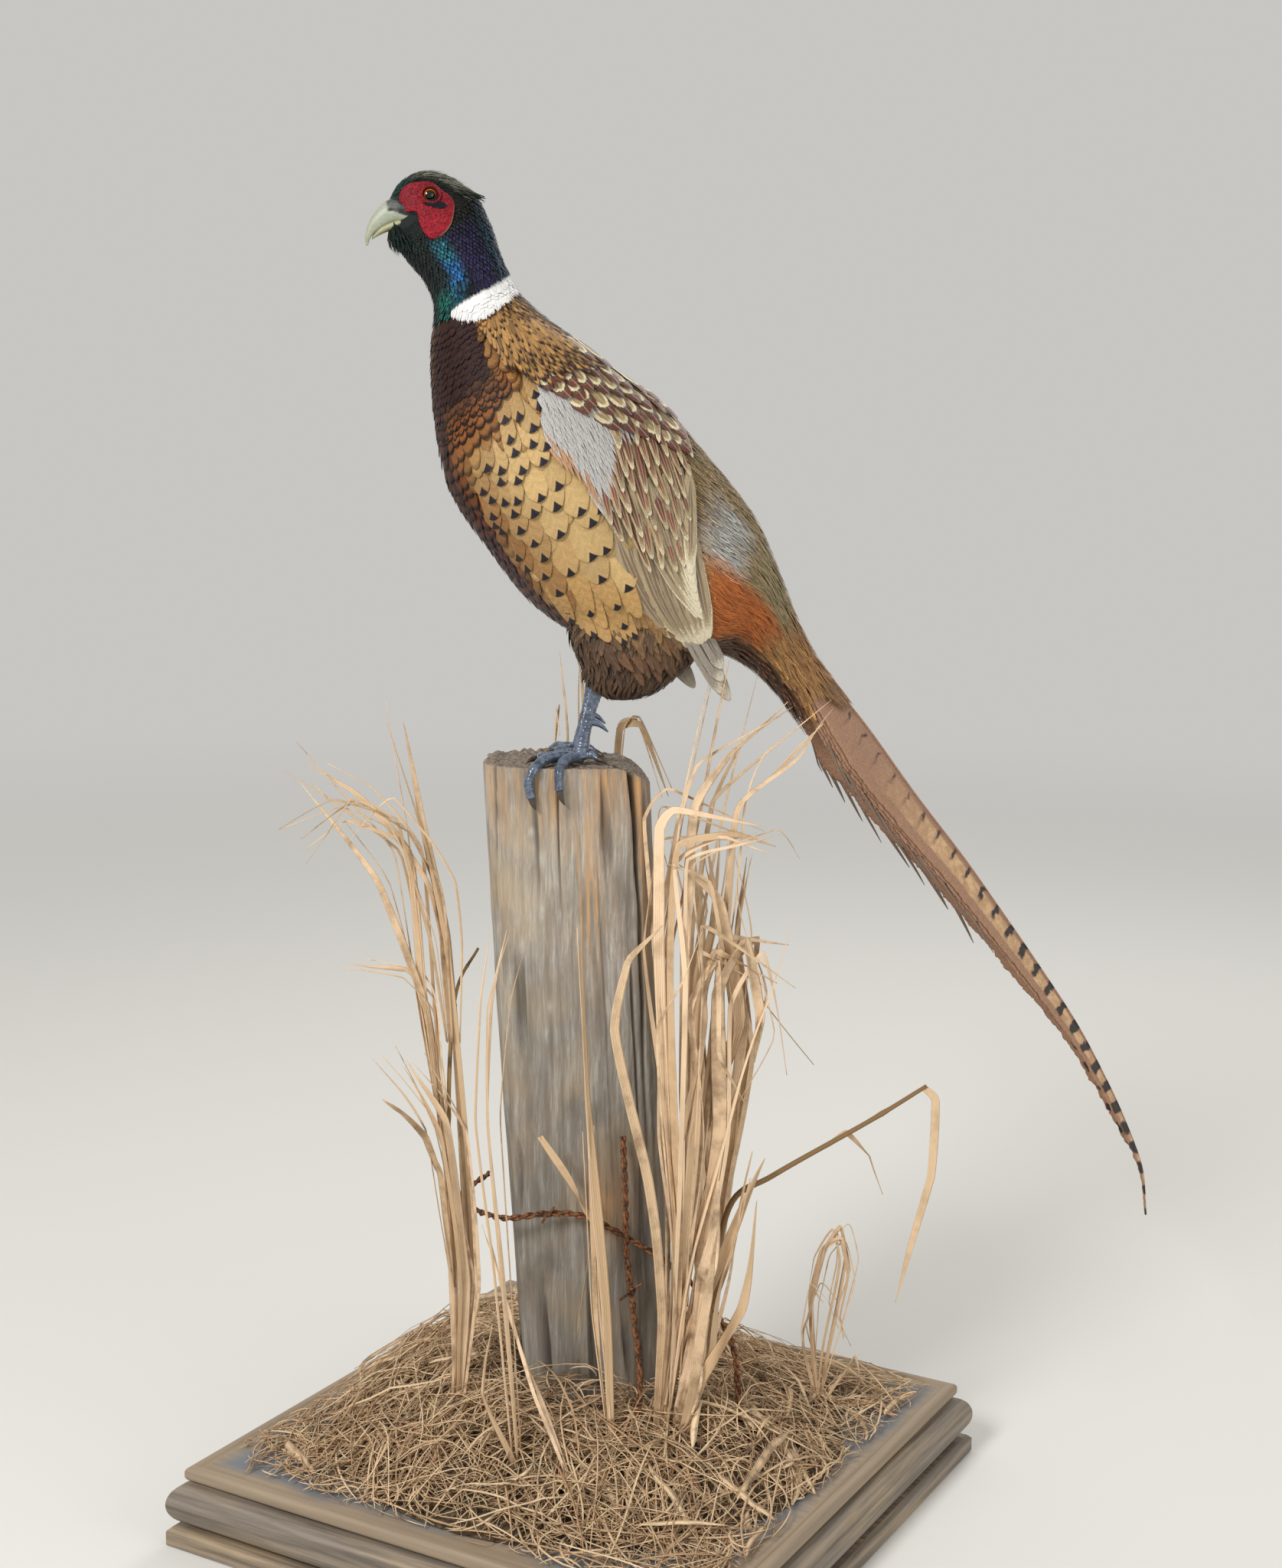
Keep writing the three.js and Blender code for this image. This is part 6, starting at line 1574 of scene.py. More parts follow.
drapes = []
for side in (1, -1):
    out = outer_face(side)

    def draped(a, b, grow=0.0):
        """Over body and thigh from the side: a and b are towards the tail and up, in units of 10 mm."""
        x, y = (a * 10 - CELLS_FROM[0]) / CELL - 0.5, (b * 10 - CELLS_FROM[1]) / CELL - 0.5
        i, j = (np.clip(np.floor(value).astype(int), 0, CELLS - 2) for value in (x, y))
        p, q = np.clip(x - i, 0, 1), np.clip(y - j, 0, 1)
        near, far = (out[i, j + k] * (1 - p) + out[i + 1, j + k] * p for k in (0, 1))
        return np.stack([a * 10, b * 10, side * (near * (1 - q) + far * q + grow)], -1)

    def hung(root, tip, half, low, high, **shape):
        """Feathers over body and thigh from root to tip, both seen from the side, faces outward."""
        grid, place = vanes(draped, (root[:, 0] / 10, root[:, 1] / 10), (tip[:, 0] / 10, tip[:, 1] / 10),
                            half, (np.full(len(tip), low), high), **shape)
        return (grid[:, :, ::-1] if side > 0 else grid), place

    places = scatter(DRAPE_AREA, 7.5, 7.5, 0.5)
    places = places[np.argsort(places[:, 1])] + rng.normal(0, 1.8, places.shape)
    n = len(places)
    lie = 0.5 + rng.normal(0, 0.1, n)
    length = rng.uniform(26, 34, n)
    root = places + np.stack([-np.sin(lie), np.cos(lie)], -1) * length[:, None]
    half = rng.uniform(4.2, 6.2, n)
    rise = rng.uniform(-0.3, 0.9, n) + np.interp(places[:, 1], [570, 606], [1.3, -1.0])
    grid, place = hung(root, places, half, -4.0, rise, rows=9, columns=5, point=0.45, rounding=0.35)
    front = np.clip((30 - places[:, :1]) / 30, 0, 1)
    high = np.clip((places[:, 1:] - 575) / 45, 0, 1)
    ground = hexes(n, "#b08a55") * high + hexes(n, "#5d3f27") * (1 - high)
    ground = ground * (1 - front) + hexes(n, "#452f22") * front
    on_skin = (np.clip((places[:, 1] - 540) / 30, 0, 4), np.full(n, side * 0.9))
    drapes.append(batch(grid, place, on_skin, varied(ground, 0.16), ground * 0.45, varied(ground * 0.8, 0.1),
                        np.array([0, 0, 0.06, 0.12])))
    n = len(LAST_GOLDEN)
    tip = LAST_GOLDEN + rng.normal(0, 0.7, (n, 2))
    root = tip + np.array([-19, 30]) + rng.normal(0, 1.5, (n, 2))
    rise = 1.9 - 0.12 * np.arange(n)[::-1]
    grid, place = hung(root, tip, rng.uniform(6.6, 8, n), -2.5, rise, rows=12, columns=9, rounding=0.3,
                       point=0.3)
    ground = varied(hexes(n, "#a98450"), 0.08)
    spotted = (rng.random(n) < 0.6)[:, None]
    on_skin = (np.clip((tip[:, 1] - 540) / 30, 0, 4), np.full(n, side * 0.95))
    drapes.append(batch(grid, place, on_skin, ground, hexes(n, "#170e17"), ground * 0.86,
                        np.where(spotted, [0.16, 0.5, 0.02, 0.0], [0.0, 0.0, 0.02, 0.0])))
coat("coat_thigh_drape", drapes, soft_plumage)

# secondaries: long, pale, tight along the wing's lower edge, meeting at its tip
secondaries = []
for count, tip_from, tip_to, root_from, root_to, half, rise in (
        (9, (64, 586), (80, 593), (10, 674), (62, 680), 6.4, -1.2),
        (8, (76, 602), (63, 634), (24, 690), (66, 702), 5.4, 1.6)):
    share = np.linspace(0, 1, count)[:, None]
    tip_places = np.array([tip_from]) * (1 - share) + np.array([tip_to]) * share
    tip_places = tip_places - [0, 1] * np.sin(np.pi * share) * 3
    root_places = np.array([root_from]) * (1 - share) + np.array([root_to]) * share
    run = tip_places - root_places
    steps = np.arange(count)
    secondaries.append(wing_feathers(
        tip_places, np.hypot(run[:, 0], run[:, 1]), half, np.arctan2(run[:, 0], -run[:, 1]),
        (rise + 0.16 * steps, max(rise, 0.2) + 0.8 + 0.3 * steps), varied(hexes(count, "#998869"), 0.1),
        hexes(count, "#75614b"), hexes(count, "#d0c5a9"), np.array([0, 0, 0.12, 0.35]), rows=10, columns=7,
        rounding=0.25, point=0.15, crown=0.12))

# tertials and greater coverts: buff, a maroon streak down each, thin pale edges meeting in a point at the tip
TERTIAL_AREA = [(12, 706), (18, 686), (8, 674), (12, 660), (22, 648), (34, 634), (48, 624), (62, 626),
                (67, 656), (68, 680), (70, 702), (60, 714), (40, 718), (26, 724)]
places = scatter(TERTIAL_AREA, 13, 8, 0.24)
places = places[np.argsort(places[:, 1])] + rng.normal(0, 1.6, places.shape)
n = len(places)
turned_in = np.clip((660 - places[:, 1]) / 60, 0, 1) * np.clip((60 - places[:, 0]) / 40, 0, 1)
lie = 0.2 + 0.4 * turned_in + rng.normal(0, 0.07, n)
tertials = wing_feathers(places, rng.uniform(38, 50, n), rng.uniform(4.6, 6.4, n), lie,
                         (-0.4, 4.4 + 0.006 * (places[:, 1] - 620)), varied(hexes(n, "#9c8460"), 0.14),
                         varied(hexes(n, "#65372b"), 0.2), varied(hexes(n, "#cbbc9a"), 0.1),
                         np.stack([np.zeros(n), rng.uniform(0, 0.5, n), rng.uniform(0.05, 0.09, n),
                                   rng.uniform(0.22, 0.52, n)], -1), rounding=0.5, point=0.35, crown=0.12)

# shoulder patch: soft coverts that run together, nearly plain blue-grey, a few rusty ones below
PATCH_AREA = [(-28, 731), (-25, 712), (-20, 697), (-8, 686), (4, 674), (10, 664), (16, 676), (20, 690),
              (18, 706), (30, 712), (32, 724), (8, 736), (-12, 740), (-22, 740)]
places = scatter(PATCH_AREA, 4.2, 3.8, 0.45)
n = len(places)
rusty = (places[:, 1] - 697 + 0.96 * (places[:, 0] + 20) < rng.uniform(2, 12, n)) & (places[:, 0] < 6)
ground = np.where(rusty[:, None], hexes(n, "#b08562"), hexes(n, "#b0adaa"))
patch = wing_feathers(places, np.interp(places[:, 0], [-26, -8], [17, 27]), 2.6,
                      0.42 + rng.normal(0, 0.07, n), (0.0, 2.9), varied(ground, 0.04),
                      varied(ground * 0.8, 0.05), varied(ground * 1.06, 0.03), np.array([0, 0, 0.04, 0.2]),
                      rounding=0.15, point=0.7, crown=0.04, columns=3)

# scapulars: buff-olive centres in a cream U, then a fine black line and a broad maroon margin
SCAPULAR_AREA = [(-32, 750), (-27, 740), (-10, 733), (6, 727), (22, 718), (34, 711), (51, 708), (66, 699),
                 (76, 712), (60, 732), (41, 748), (21, 762), (2, 766), (-16, 763)]
places = scatter(SCAPULAR_AREA, 9, 10.5, 0.75)
n = len(places)
scapulars = wing_feathers(
    places, np.interp(places[:, 0], [-20, 20], [17, 29]), 7.0, 0.62 + rng.normal(0, 0.08, n), (1.0, 5.0),
    varied(hexes(n, "#d0c19c"), 0.08), varied(hexes(n, "#84704e"), 0.15), varied(hexes(n, "#56281b"), 0.18),
    np.stack([np.zeros(n), np.full(n, 0.9), rng.uniform(0.2, 0.28, n), rng.uniform(0.46, 0.6, n)], -1),
    rounding=0.4, point=0.2, crown=0.13)

# flight feathers: stiff satin webs, crisper than the body's
wing_plumage = feather_material("stiff_wing_feathers", 0.55, 0.0, 0.0002, shaft=0.25)
for side, name in enumerate(("left", "right")):
    coat("wing_feathers_" + name, [group[side] for group in (*secondaries, tertials, patch, scapulars)],
         wing_plumage, ["wing_" + name])

# primaries: four grey-brown flight feathers that stick out past the secondaries, one under the other
PRIMARY_LINES = [
    ([(52, 618, 42), (66, 600, 46), (82, 576, 45), (98, 552, 40)], 6.2),
    ([(50, 622, 42.5), (64, 602, 46.8), (79, 577, 46), (94, 556, 42)], 6.0),
    ([(52, 626, 43), (66, 604, 47.6), (80, 582, 47), (92, 565, 43.5)], 6.0),
    ([(56, 630, 43.5), (70, 606, 48.2), (82, 588, 47.8), (91, 573, 45)], 5.6)]
PRIMARY_ROWS, PRIMARY_ROUND = 40, 12


def plain_colours(count, ground, mark, rim, pattern):
    """What a feather's material reads, the same at all of count points."""
    tints = [hexes(count, tint) for tint in (ground, mark, rim)]
    return dict(zip(CARRIED, (*tints, np.tile(pattern, (count, 1)))))


lines = np.stack([smooth_line(points, PRIMARY_ROWS) for points, half in PRIMARY_LINES])
along = np.linspace(0, 1, PRIMARY_ROWS)
half = np.array([half for points, half in PRIMARY_LINES])[:, None]
half = half * np.minimum(1, 2.6 * np.sqrt(np.clip(1.004 - along, 0, 1))) * 0.95
row_share = np.concatenate([np.repeat(along, PRIMARY_ROUND), [0, 1]])
lane = np.repeat(np.arange(len(lines)), len(row_share)) * 0.02
for side, name in ((1, "left"), (-1, "right")):
    outward = in_bird(np.array([0.25, 0.1, side])) - in_bird(np.zeros(3))
    points, uv = strips(in_bird(lines * [1, 1, side]), outward, half, np.full(half.shape, 0.8), -0.08,
                        PRIMARY_ROUND)
    place = np.stack([uv[:, 0], np.tile(row_share, len(lines))], -1)
    bake = np.stack([0.5 + side * 0.25 + (place[:, 0] - 0.5) * 0.02 + lane, 0.1 + place[:, 1] * 0.1], -1)
    piece("primaries_vanes_" + name, points, closed_faces(PRIMARY_ROWS, PRIMARY_ROUND, len(lines)),
          wing_plumage, ["primaries_" + name], uv=place, bake=bake,
          colours=plain_colours(len(points), "#8b8175", "#5f564c", "#c6bda9", [0, 0, 0.1, 0.3]))

# ---- tail -----------------------------------------------------------------------------------------------
# Ten long feathers folded like a roof over one another, the middle pair longest and gently arched. Buff and
# vinous brown, barred in black; each is a thin curved web, frayed along its edge.

RIDGE = [(169.5, 575.5), (190, 551), (212, 525), (246, 481), (283, 436), (309, 402), (339, 362), (374, 313),
         (400, 269), (417, 236), (432, 201), (437, 165)]
fine_ridge = smooth_line(RIDGE, 2400)
ridge_run = run_of(fine_ridge)
TAIL_LENGTH = ridge_run[-1]
TAIL_ROOF = np.radians(52)
FEATHER_THICK = 1.2
SIDE_LENGTHS = [330, 250, 175, 115]
RIGHT_MIDDLE_SHORTER = 24
TAIL_ROWS, TAIL_COLUMNS = 230, 10


def on_ridge(along):
    """Points of the tail's ridge, (towards the tail, up), at distances along it."""
    return np.stack([np.interp(along, ridge_run, fine_ridge[:, k]) for k in range(2)], -1)


def fold_reach(along):
    """How far down the roof's slope the folded tail reaches at each place along its ridge."""
    widening = 24 + 14 * np.clip(along / 67, 0, 1)
    return widening * (1 - 0.96 * np.clip((along - 67) / (TAIL_LENGTH - 67), 0, 1))


TAIL_ROOT = -12  # where the webs begin, before the ridge's first point


def tail_feather(length, layer, side):
    """One feather of the folded tail as a closed web: rows along the ridge, columns down the roof's slope.

    Each row runs from just under the ridge to the reach of the fold there, drawn in towards the tip; the
    web is thinner at its edges and curls under a little at the outer one.
    """
    along = TAIL_ROOT + (length - TAIL_ROOT) * np.linspace(0, 1, TAIL_ROWS) ** 0.97
    ends = np.maximum(along, 0)
    ahead = unit(on_ridge(ends + 4) - on_ridge(ends - 4))
    at = on_ridge(ends) + ahead * np.minimum(along, 0)[:, None]
    depth = layer * (FEATHER_THICK + 0.6)
    reach = fold_reach(along)
    first = (depth + FEATHER_THICK) * np.tan(TAIL_ROOF) + 0.4 if layer else 0.3
    last = first + np.maximum(3, reach - first + layer * np.clip(along / 60, 0, 1))
    narrowing = 1 - np.minimum(1, np.sqrt(np.clip(length - along, 0, None) / 45) + 0.04)
    inner = first + 0.4 * (last - first) * narrowing
    outer = last - 0.6 * (last - first) * narrowing
    outer = (outer + (noise(along / 1.7, along * 0, 31 + layer) - 0.5) * 1.5
             + (noise(along / 9, along * 0, 37 + layer) - 0.5) * 1.6)
    across = np.concatenate([np.linspace(0, 1, TAIL_COLUMNS), np.linspace(1, 0, TAIL_COLUMNS)])
    under = np.concatenate([np.zeros(TAIL_COLUMNS), np.ones(TAIL_COLUMNS)])
    q = inner[:, None] + (outer - inner)[:, None] * across
    web = FEATHER_THICK * (0.45 + 0.5 * np.sin(np.pi * np.clip(across, 0.02, 0.98)))
    arch = 3.2 * (across - 0.4) ** 2
    n = depth + arch + 0.3 + under * web
    slope_out, slope_down = np.cos(TAIL_ROOF), np.sin(TAIL_ROOF)
    down = np.stack([ahead[:, 1], -ahead[:, 0]], -1)
    flat = at[:, None] + down[:, None] * (q * slope_down + n * slope_out)[..., None]
    out = q * slope_out - n * slope_down
    out = side * np.maximum(np.abs(out), 0.25) * np.sign(out)
    grid = np.concatenate([flat, out[..., None]], -1)
    return grid, np.stack(np.broadcast_arrays(across, along[:, None] * MM * 10), -1)


# tail feathers: satin, a buff stripe between vinous edges, crossed by black bars on the inner half
tail_material = blank("barred_tail_feathers")
place = add(tail_material, "SeparateXYZ", {0: add(tail_material, "UVMap", uv_map="vane")}).node
x, y = place.outputs[0], place.outputs[1]
at = add(tail_material, "TexCoord", out="Object")
wobble = add(tail_material, "TexNoise", {"Vector": at, "Scale": 160, "Detail": 3})
fine = add(tail_material, "TexNoise", {"Vector": at, "Scale": 900, "Detail": 2})
BAR_SPACING = 0.18  # in the map's units of 100 mm: 18 mm from bar to bar
slanted = add(tail_material, "Math", {0: x, 1: 0.01, 2: y}, operation="MULTIPLY_ADD")
bars_along = add(tail_material, "Math", {0: slanted, 1: BAR_SPACING}, operation="DIVIDE")
wavy = add(tail_material, "Math", {0: wobble, 1: 0.5, 2: -0.25}, operation="MULTIPLY_ADD")
phase = add(tail_material, "Math", {0: bars_along, 1: wavy}, operation="ADD")
bar_place = add(tail_material, "Math", {0: phase}, operation="FRACT")
off_middle = add(tail_material, "Math", {0: bar_place, 1: 0.5}, operation="SUBTRACT")
in_bar = add(tail_material, "Math", {0: off_middle}, operation="ABSOLUTE")
to_tip = add(tail_material, "MapRange", {"Value": y, "From Min": 1.2, "From Max": 4.4})
bar_width = add(tail_material, "Math", {0: to_tip, 1: 0.2, 2: 0.02}, operation="MULTIPLY_ADD")
past_bar = add(tail_material, "Math", {0: in_bar, 1: bar_width}, operation="SUBTRACT")
bar = add(tail_material, "MapRange", {"Value": past_bar, "From Min": 0.05, "From Max": -0.01})
reach = add(tail_material, "Math", {0: to_tip, 1: -0.7, 2: x}, operation="MULTIPLY_ADD")
inner_half = add(tail_material, "MapRange", {"Value": reach, "From Min": 0.38, "From Max": 0.24})
ridge_line = add(tail_material, "Math", {0: to_tip, 1: 0.5, 2: x}, operation="MULTIPLY_ADD")
off_ridge = add(tail_material, "MapRange", {"Value": ridge_line, "From Min": 0.12, "From Max": 0.22})
bar_across = add(tail_material, "Math", {0: inner_half, 1: off_ridge}, operation="MULTIPLY")
bar_here = add(tail_material, "Math", {0: bar, 1: bar_across}, operation="MULTIPLY")
buff_share = add(tail_material, "MapRange", {"Value": wobble, "From Min": 0.4, "From Max": 0.62})
buff = add(tail_material, "Mix", {0: buff_share, 6: linear("#b38d64"), 7: linear("#cfa97f")}, **COLOUR_MIX)
off_middle = add(tail_material, "Math", {0: x, 1: 0.46}, operation="SUBTRACT")
from_stripe = add(tail_material, "Math", {0: off_middle}, operation="ABSOLUTE")
off_stripe = add(tail_material, "MapRange", {"Value": from_stripe, "From Min": 0.22, "From Max": 0.29})
at_root = add(tail_material, "MapRange", {"Value": y, "From Min": 1.6, "From Max": 0.8})
edge_share = add(tail_material, "Math", {0: off_stripe, 1: at_root}, operation="MAXIMUM")
vinous = add(tail_material, "Mix", {0: fine, 6: linear("#84604a"), 7: linear("#ab8264")}, **COLOUR_MIX)
colour = add(tail_material, "Mix", {0: edge_share, 6: buff, 7: vinous}, **COLOUR_MIX)
faint = add(tail_material, "MapRange", {"Value": x, "From Min": 0.75, "From Max": 0.45, "To Max": 0.7})
halo = add(tail_material, "MapRange", {"Value": past_bar, "From Min": 0.1, "From Max": 0.0, "To Max": 0.7})
halo_across = add(tail_material, "Math", {0: inner_half, 1: faint}, operation="MAXIMUM")
halo_off_ridge = add(tail_material, "Math", {0: halo, 1: off_ridge}, operation="MULTIPLY")
halo_here = add(tail_material, "Math", {0: halo_off_ridge, 1: halo_across}, operation="MULTIPLY")
colour = add(tail_material, "Mix", {0: halo_here, 6: colour, 7: linear("#6e4030")}, **COLOUR_MIX)
colour = add(tail_material, "Mix", {0: bar_here, 6: colour, 7: linear("#1d120e")}, **COLOUR_MIX)
barbs_along = add(tail_material, "Math", {0: y, 1: 560.0}, operation="MULTIPLY")
barb_phase = add(tail_material, "Math", {0: x, 1: 60.0, 2: barbs_along}, operation="MULTIPLY_ADD")
barb = add(tail_material, "Math", {0: barb_phase}, operation="SINE")
uneven = add(tail_material, "Math", {0: fine, 1: 0.4, 2: 0.78}, operation="MULTIPLY_ADD")
shade = add(tail_material, "Math", {0: barb, 1: 0.05, 2: uneven}, operation="MULTIPLY_ADD")
grey = add(tail_material, "CombineColor", {i: shade for i in range(3)})
colour = add(tail_material, "Mix", {0: 1.0, 6: colour, 7: grey}, **COLOUR_MIX, blend_type="MULTIPLY")
relief = add(tail_material, "Bump", {"Strength": 0.4, "Distance": 0.0003, "Height": barb})
shader = add(tail_material, "BsdfPrincipled", {
    "Base Color": colour, "Roughness": 0.5, "Normal": relief, "Sheen Weight": 0.1})
add(tail_material, "OutputMaterial", {"Surface": shader})

for side, name in ((1, "left"), (-1, "right")):
    shorter = 0 if side > 0 else RIGHT_MIDDLE_SHORTER
    for layer, length in enumerate([TAIL_LENGTH - shorter] + SIDE_LENGTHS):
        grid, place = tail_feather(length, layer, side)
        if side > 0:
            grid, place = grid[:, ::-1], place[:, ::-1]
        points = with_ends(grid[None])
        place = np.vstack([place.reshape(-1, 2), place[0, :1], place[-1, :1]])
        label = "tail_middle_" + name if layer == 0 else f"tail_side_{name}_{layer}"
        lane = 0.1 + 0.07 * (layer + 5 * (side > 0))
        bake = np.stack([lane + place[:, 0] * 0.06, 0.02 + place[:, 1] * 0.09], -1)
        piece(label + "_web", in_bird(points), closed_faces(TAIL_ROWS, 2 * TAIL_COLUMNS), tail_material,
              [label], uv=place, bake=bake)


def tail_roof(along, q, grow=0.0):
    """A point over the folded tail: along the ridge, q down the slope (left positive), grow above it."""
    ends = np.clip(along, 0, None)
    ahead = unit(on_ridge(ends + 5) - on_ridge(ends - 5))
    at = on_ridge(ends) + ahead * np.minimum(along, 0)[..., None]
    down = np.stack([ahead[..., 1], -ahead[..., 0]], -1)
    soft = np.sqrt(q**2 + 9) - 3
    flat = at + down * (soft * np.sin(TAIL_ROOF) - grow * np.cos(TAIL_ROOF))[..., None]
    lifted = np.sign(q) * grow * np.sin(TAIL_ROOF) * np.clip(np.abs(q) / 4, 0, 1)
    return np.concatenate([flat, (q * np.cos(TAIL_ROOF) + lifted)[..., None]], -1)


# upper tail coverts: rusty-buff hair-like webs over the root of the tail, on the fold's own two slopes
n = 700
along = rng.uniform(-6, 44, n)
q = rng.uniform(-1, 1, n) * (24 + 4 * np.clip(along / 60, 0, 1))
q = q * np.interp(along, [0, 28, 44], [1, 0.8, 0.5])
order = np.argsort(-along)
along, q = along[order], q[order]
length = rng.uniform(26, 44, n)
grid, place = vanes(tail_roof, (along - length, q * 0.9), (along, q), rng.uniform(1.8, 3.2, n),
                    (np.full(n, 0.5), rng.uniform(0.9, 2.2, n)), rows=7, columns=3, point=0.85, rounding=0.1)
grid = grid[:, :, ::-1]
vinous = np.clip((along[:, None] - 20) / 50, 0, 0.4)
ground = varied(np.where((rng.random(n) < 0.4)[:, None], hexes(n, "#a97b49"), hexes(n, "#9a7a54")), 0.16)
ground = ground * (1 - vinous) + vinous * hexes(n, "#906c58")
saddle = batch(grid, place[:, ::-1], (-1.0 - along / 60, np.pi + q * 0.03), ground, ground * 0.55,
               ground * 1.2, np.array([0, 0, 0.05, 0.2]))
coat("coat_tail_coverts", [saddle], soft_plumage, ["tail_coverts"])

# thin dark tips of the shorter side feathers, sticking out one behind another along the tail's lower edges
EDGE_TIPS = np.array([74, 88, 102, 121, 140, 165, 186, 212, 242], float)
EDGE_ROWS, EDGE_ROUND = 16, 6
along = np.linspace(0, 1, EDGE_ROWS)[None, :, None]
for side, name in ((1, "left"), (-1, "right")):
    n = len(EDGE_TIPS)
    run = EDGE_TIPS[:, None] + rng.uniform(-3, 3, (n, 1)) - 40 * (1 - along[..., 0])
    beyond = rng.uniform(2, 4.5, (n, 1)) * along[..., 0] ** 1.5 - 5 * (1 - along[..., 0])
    under = np.interp(run, [115, 175, 250, 330], [8.5, 6.7, 4.9, 3.1])
    lines = tail_roof(run, side * (fold_reach(run) + 3 + 0.5 * under + beyond), -under)
    half = rng.uniform(0.9, 1.5, (n, 1)) * (1 - along[..., 0] ** 3 * 0.8)
    outward = in_bird(np.array([0.3, 0.2, side])) - in_bird(np.zeros(3))
    points, uv = strips(in_bird(lines), outward, half, np.full(half.shape, 0.6), 0, EDGE_ROUND)
    piece("tail_edge_tips_" + name, points, closed_faces(EDGE_ROWS, EDGE_ROUND, n), wing_plumage,
          uv=np.stack([uv[:, 0], uv[:, 1] * 10], -1),
          bake=np.stack([0.9 + uv[:, 0] * 0.02, uv[:, 1]], -1),
          colours=plain_colours(len(points), "#7d6a5c", "#3b302b", "#b8aca0", [0, 0, 0.12, 0.2]))

# ---- eyes -----------------------------------------------------------------------------------------------
# Taxidermist's glass eyes: clear domed glass over a painted amber iris and black pupil, set in the sockets.

EYE_AT = (-91.5, 862.5)
EYE_OUT = 10.1
EYE_RADIUS = 5.2
EYE_ROWS, EYE_COLUMNS = 40, 48

# painted glass: an amber iris with a dark rim and fine spokes round a black pupil, under a clear gloss
eye_glass = blank("painted_glass_eye")
place = add(eye_glass, "SeparateXYZ", {0: add(eye_glass, "UVMap", uv_map="vane")}).node
round_eye = add(eye_glass, "UVMap", uv_map="vane")
spoke_place = add(eye_glass, "Mapping", {"Vector": round_eye, "Scale": (40, 2, 1)})
spoke = add(eye_glass, "TexNoise", {"Vector": spoke_place, "Scale": 1, "Detail": 2})
amber = add(eye_glass, "Mix", {0: spoke, 6: linear("#9a3d08"), 7: linear("#e58a1e")}, **COLOUR_MIX)
iris_rim = add(eye_glass, "MapRange", {"Value": place.outputs[1], "From Min": 0.8, "From Max": 0.88})
iris = add(eye_glass, "Mix", {0: iris_rim, 6: amber, 7: linear("#120c08")}, **COLOUR_MIX)
pupil = add(eye_glass, "MapRange", {"Value": place.outputs[1], "From Min": 0.65, "From Max": 0.62})
seen = add(eye_glass, "Mix", {0: pupil, 6: iris, 7: linear("#050404")}, **COLOUR_MIX)
shader = add(eye_glass, "BsdfPrincipled", {
    "Base Color": seen, "Roughness": 0.35, "Coat Weight": 1.0, "Coat Roughness": 0.0, "Coat IOR": 1.55,
    "Specular IOR Level": 0.0})
add(eye_glass, "OutputMaterial", {"Surface": shader})

polar, turn = np.meshgrid(np.linspace(0.02, np.pi - 0.02, EYE_ROWS),
                          np.linspace(0, 2 * np.pi, EYE_COLUMNS, endpoint=False), indexing="ij")
for side, name in ((1, "left"), (-1, "right")):
    grid = np.stack([EYE_AT[0] + EYE_RADIUS * np.sin(polar) * np.cos(turn) * side,
                     EYE_AT[1] - EYE_RADIUS * np.sin(polar) * np.sin(turn),
                     side * (EYE_OUT + EYE_RADIUS * np.cos(polar))], -1)
    place = np.stack([turn / (2 * np.pi), polar], -1).reshape(-1, 2)
    place = np.vstack([place, [[0, 0]], [[0, np.pi]]])
    piece("eye_glass_" + name, in_bird(with_ends(grid[None])), closed_faces(EYE_ROWS, EYE_COLUMNS), eye_glass,
          ["eye_" + name], uv=place)

# ---- wattles --------------------------------------------------------------------------------------------
# The bare red skin round each eye: a sheet of velvety papillae with a folded lid round the eye and a paler
# dried edge behind. Under the eye a short bar of black feathers crosses it.

WATTLE_ROWS, WATTLE_COLUMNS = 64, 260
LID_RADIUS = 4.1


def ring_faces(rows, columns):
    """Quads of a grid closed both ways, like the skin of a tyre."""
    i, j = np.meshgrid(np.arange(rows), np.arange(columns), indexing="ij")
    number = lambda r, c: ((r % rows) * columns + c % columns).ravel()
    return np.column_stack([number(i, j), number(i, j + 1), number(i + 1, j + 1), number(i + 1, j)])


edge_share = np.linspace(0, len(WATTLE_EDGE), WATTLE_COLUMNS, endpoint=False)
looped = np.vstack([WATTLE_EDGE[-2:], WATTLE_EDGE, WATTLE_EDGE[:2]])
edge = smooth_row(looped, edge_share + 2)
away = edge - EYE_AT
bearing = np.arctan2(away[:, 1], away[:, 0])
share = np.linspace(0, 1, WATTLE_ROWS)[:, None]
lid = np.array(EYE_AT) + LID_RADIUS * np.stack([1.1 * np.cos(bearing), 0.94 * np.sin(bearing)], -1)
flat = lid[None] + (edge - lid)[None] * share[..., None]
s, phi = on_side(flat.reshape(-1, 2), 0.5)
s, phi = s.reshape(WATTLE_ROWS, -1), phi.reshape(WATTLE_ROWS, -1)
u, v = flat[..., 0], flat[..., 1]
from_lid = np.linalg.norm(flat - lid[None], axis=-1)
from_edge = np.linalg.norm(edge[None] - flat, axis=-1)
papillae = noise(u / 0.62 + 200, v / 0.62, 41) * 0.55 + noise(u / 0.36 + 90, v / 0.36, 42) * 0.3
folds = noise(u / 3.5 + 60, v / 3.0, 43) * 0.9
lid_roll = 1.15 * bump(from_lid, 0.9, 1.15)
furrow = -0.55 * bump(from_lid, 2.5, 0.9)
plump = 0.5 + 0.75 * np.clip(from_edge / 4, 0, 1)
height = plump + papillae * np.clip(from_lid / 1.2, 0.25, 1) + folds * 0.5 + lid_roll + furrow
height = height * np.clip(from_edge / 1.2, 0, 1) ** 0.6 - 0.5 * (1 - np.clip(from_edge / 1.0, 0, 1))
height[0] = -2.0
height[1] = 0.4
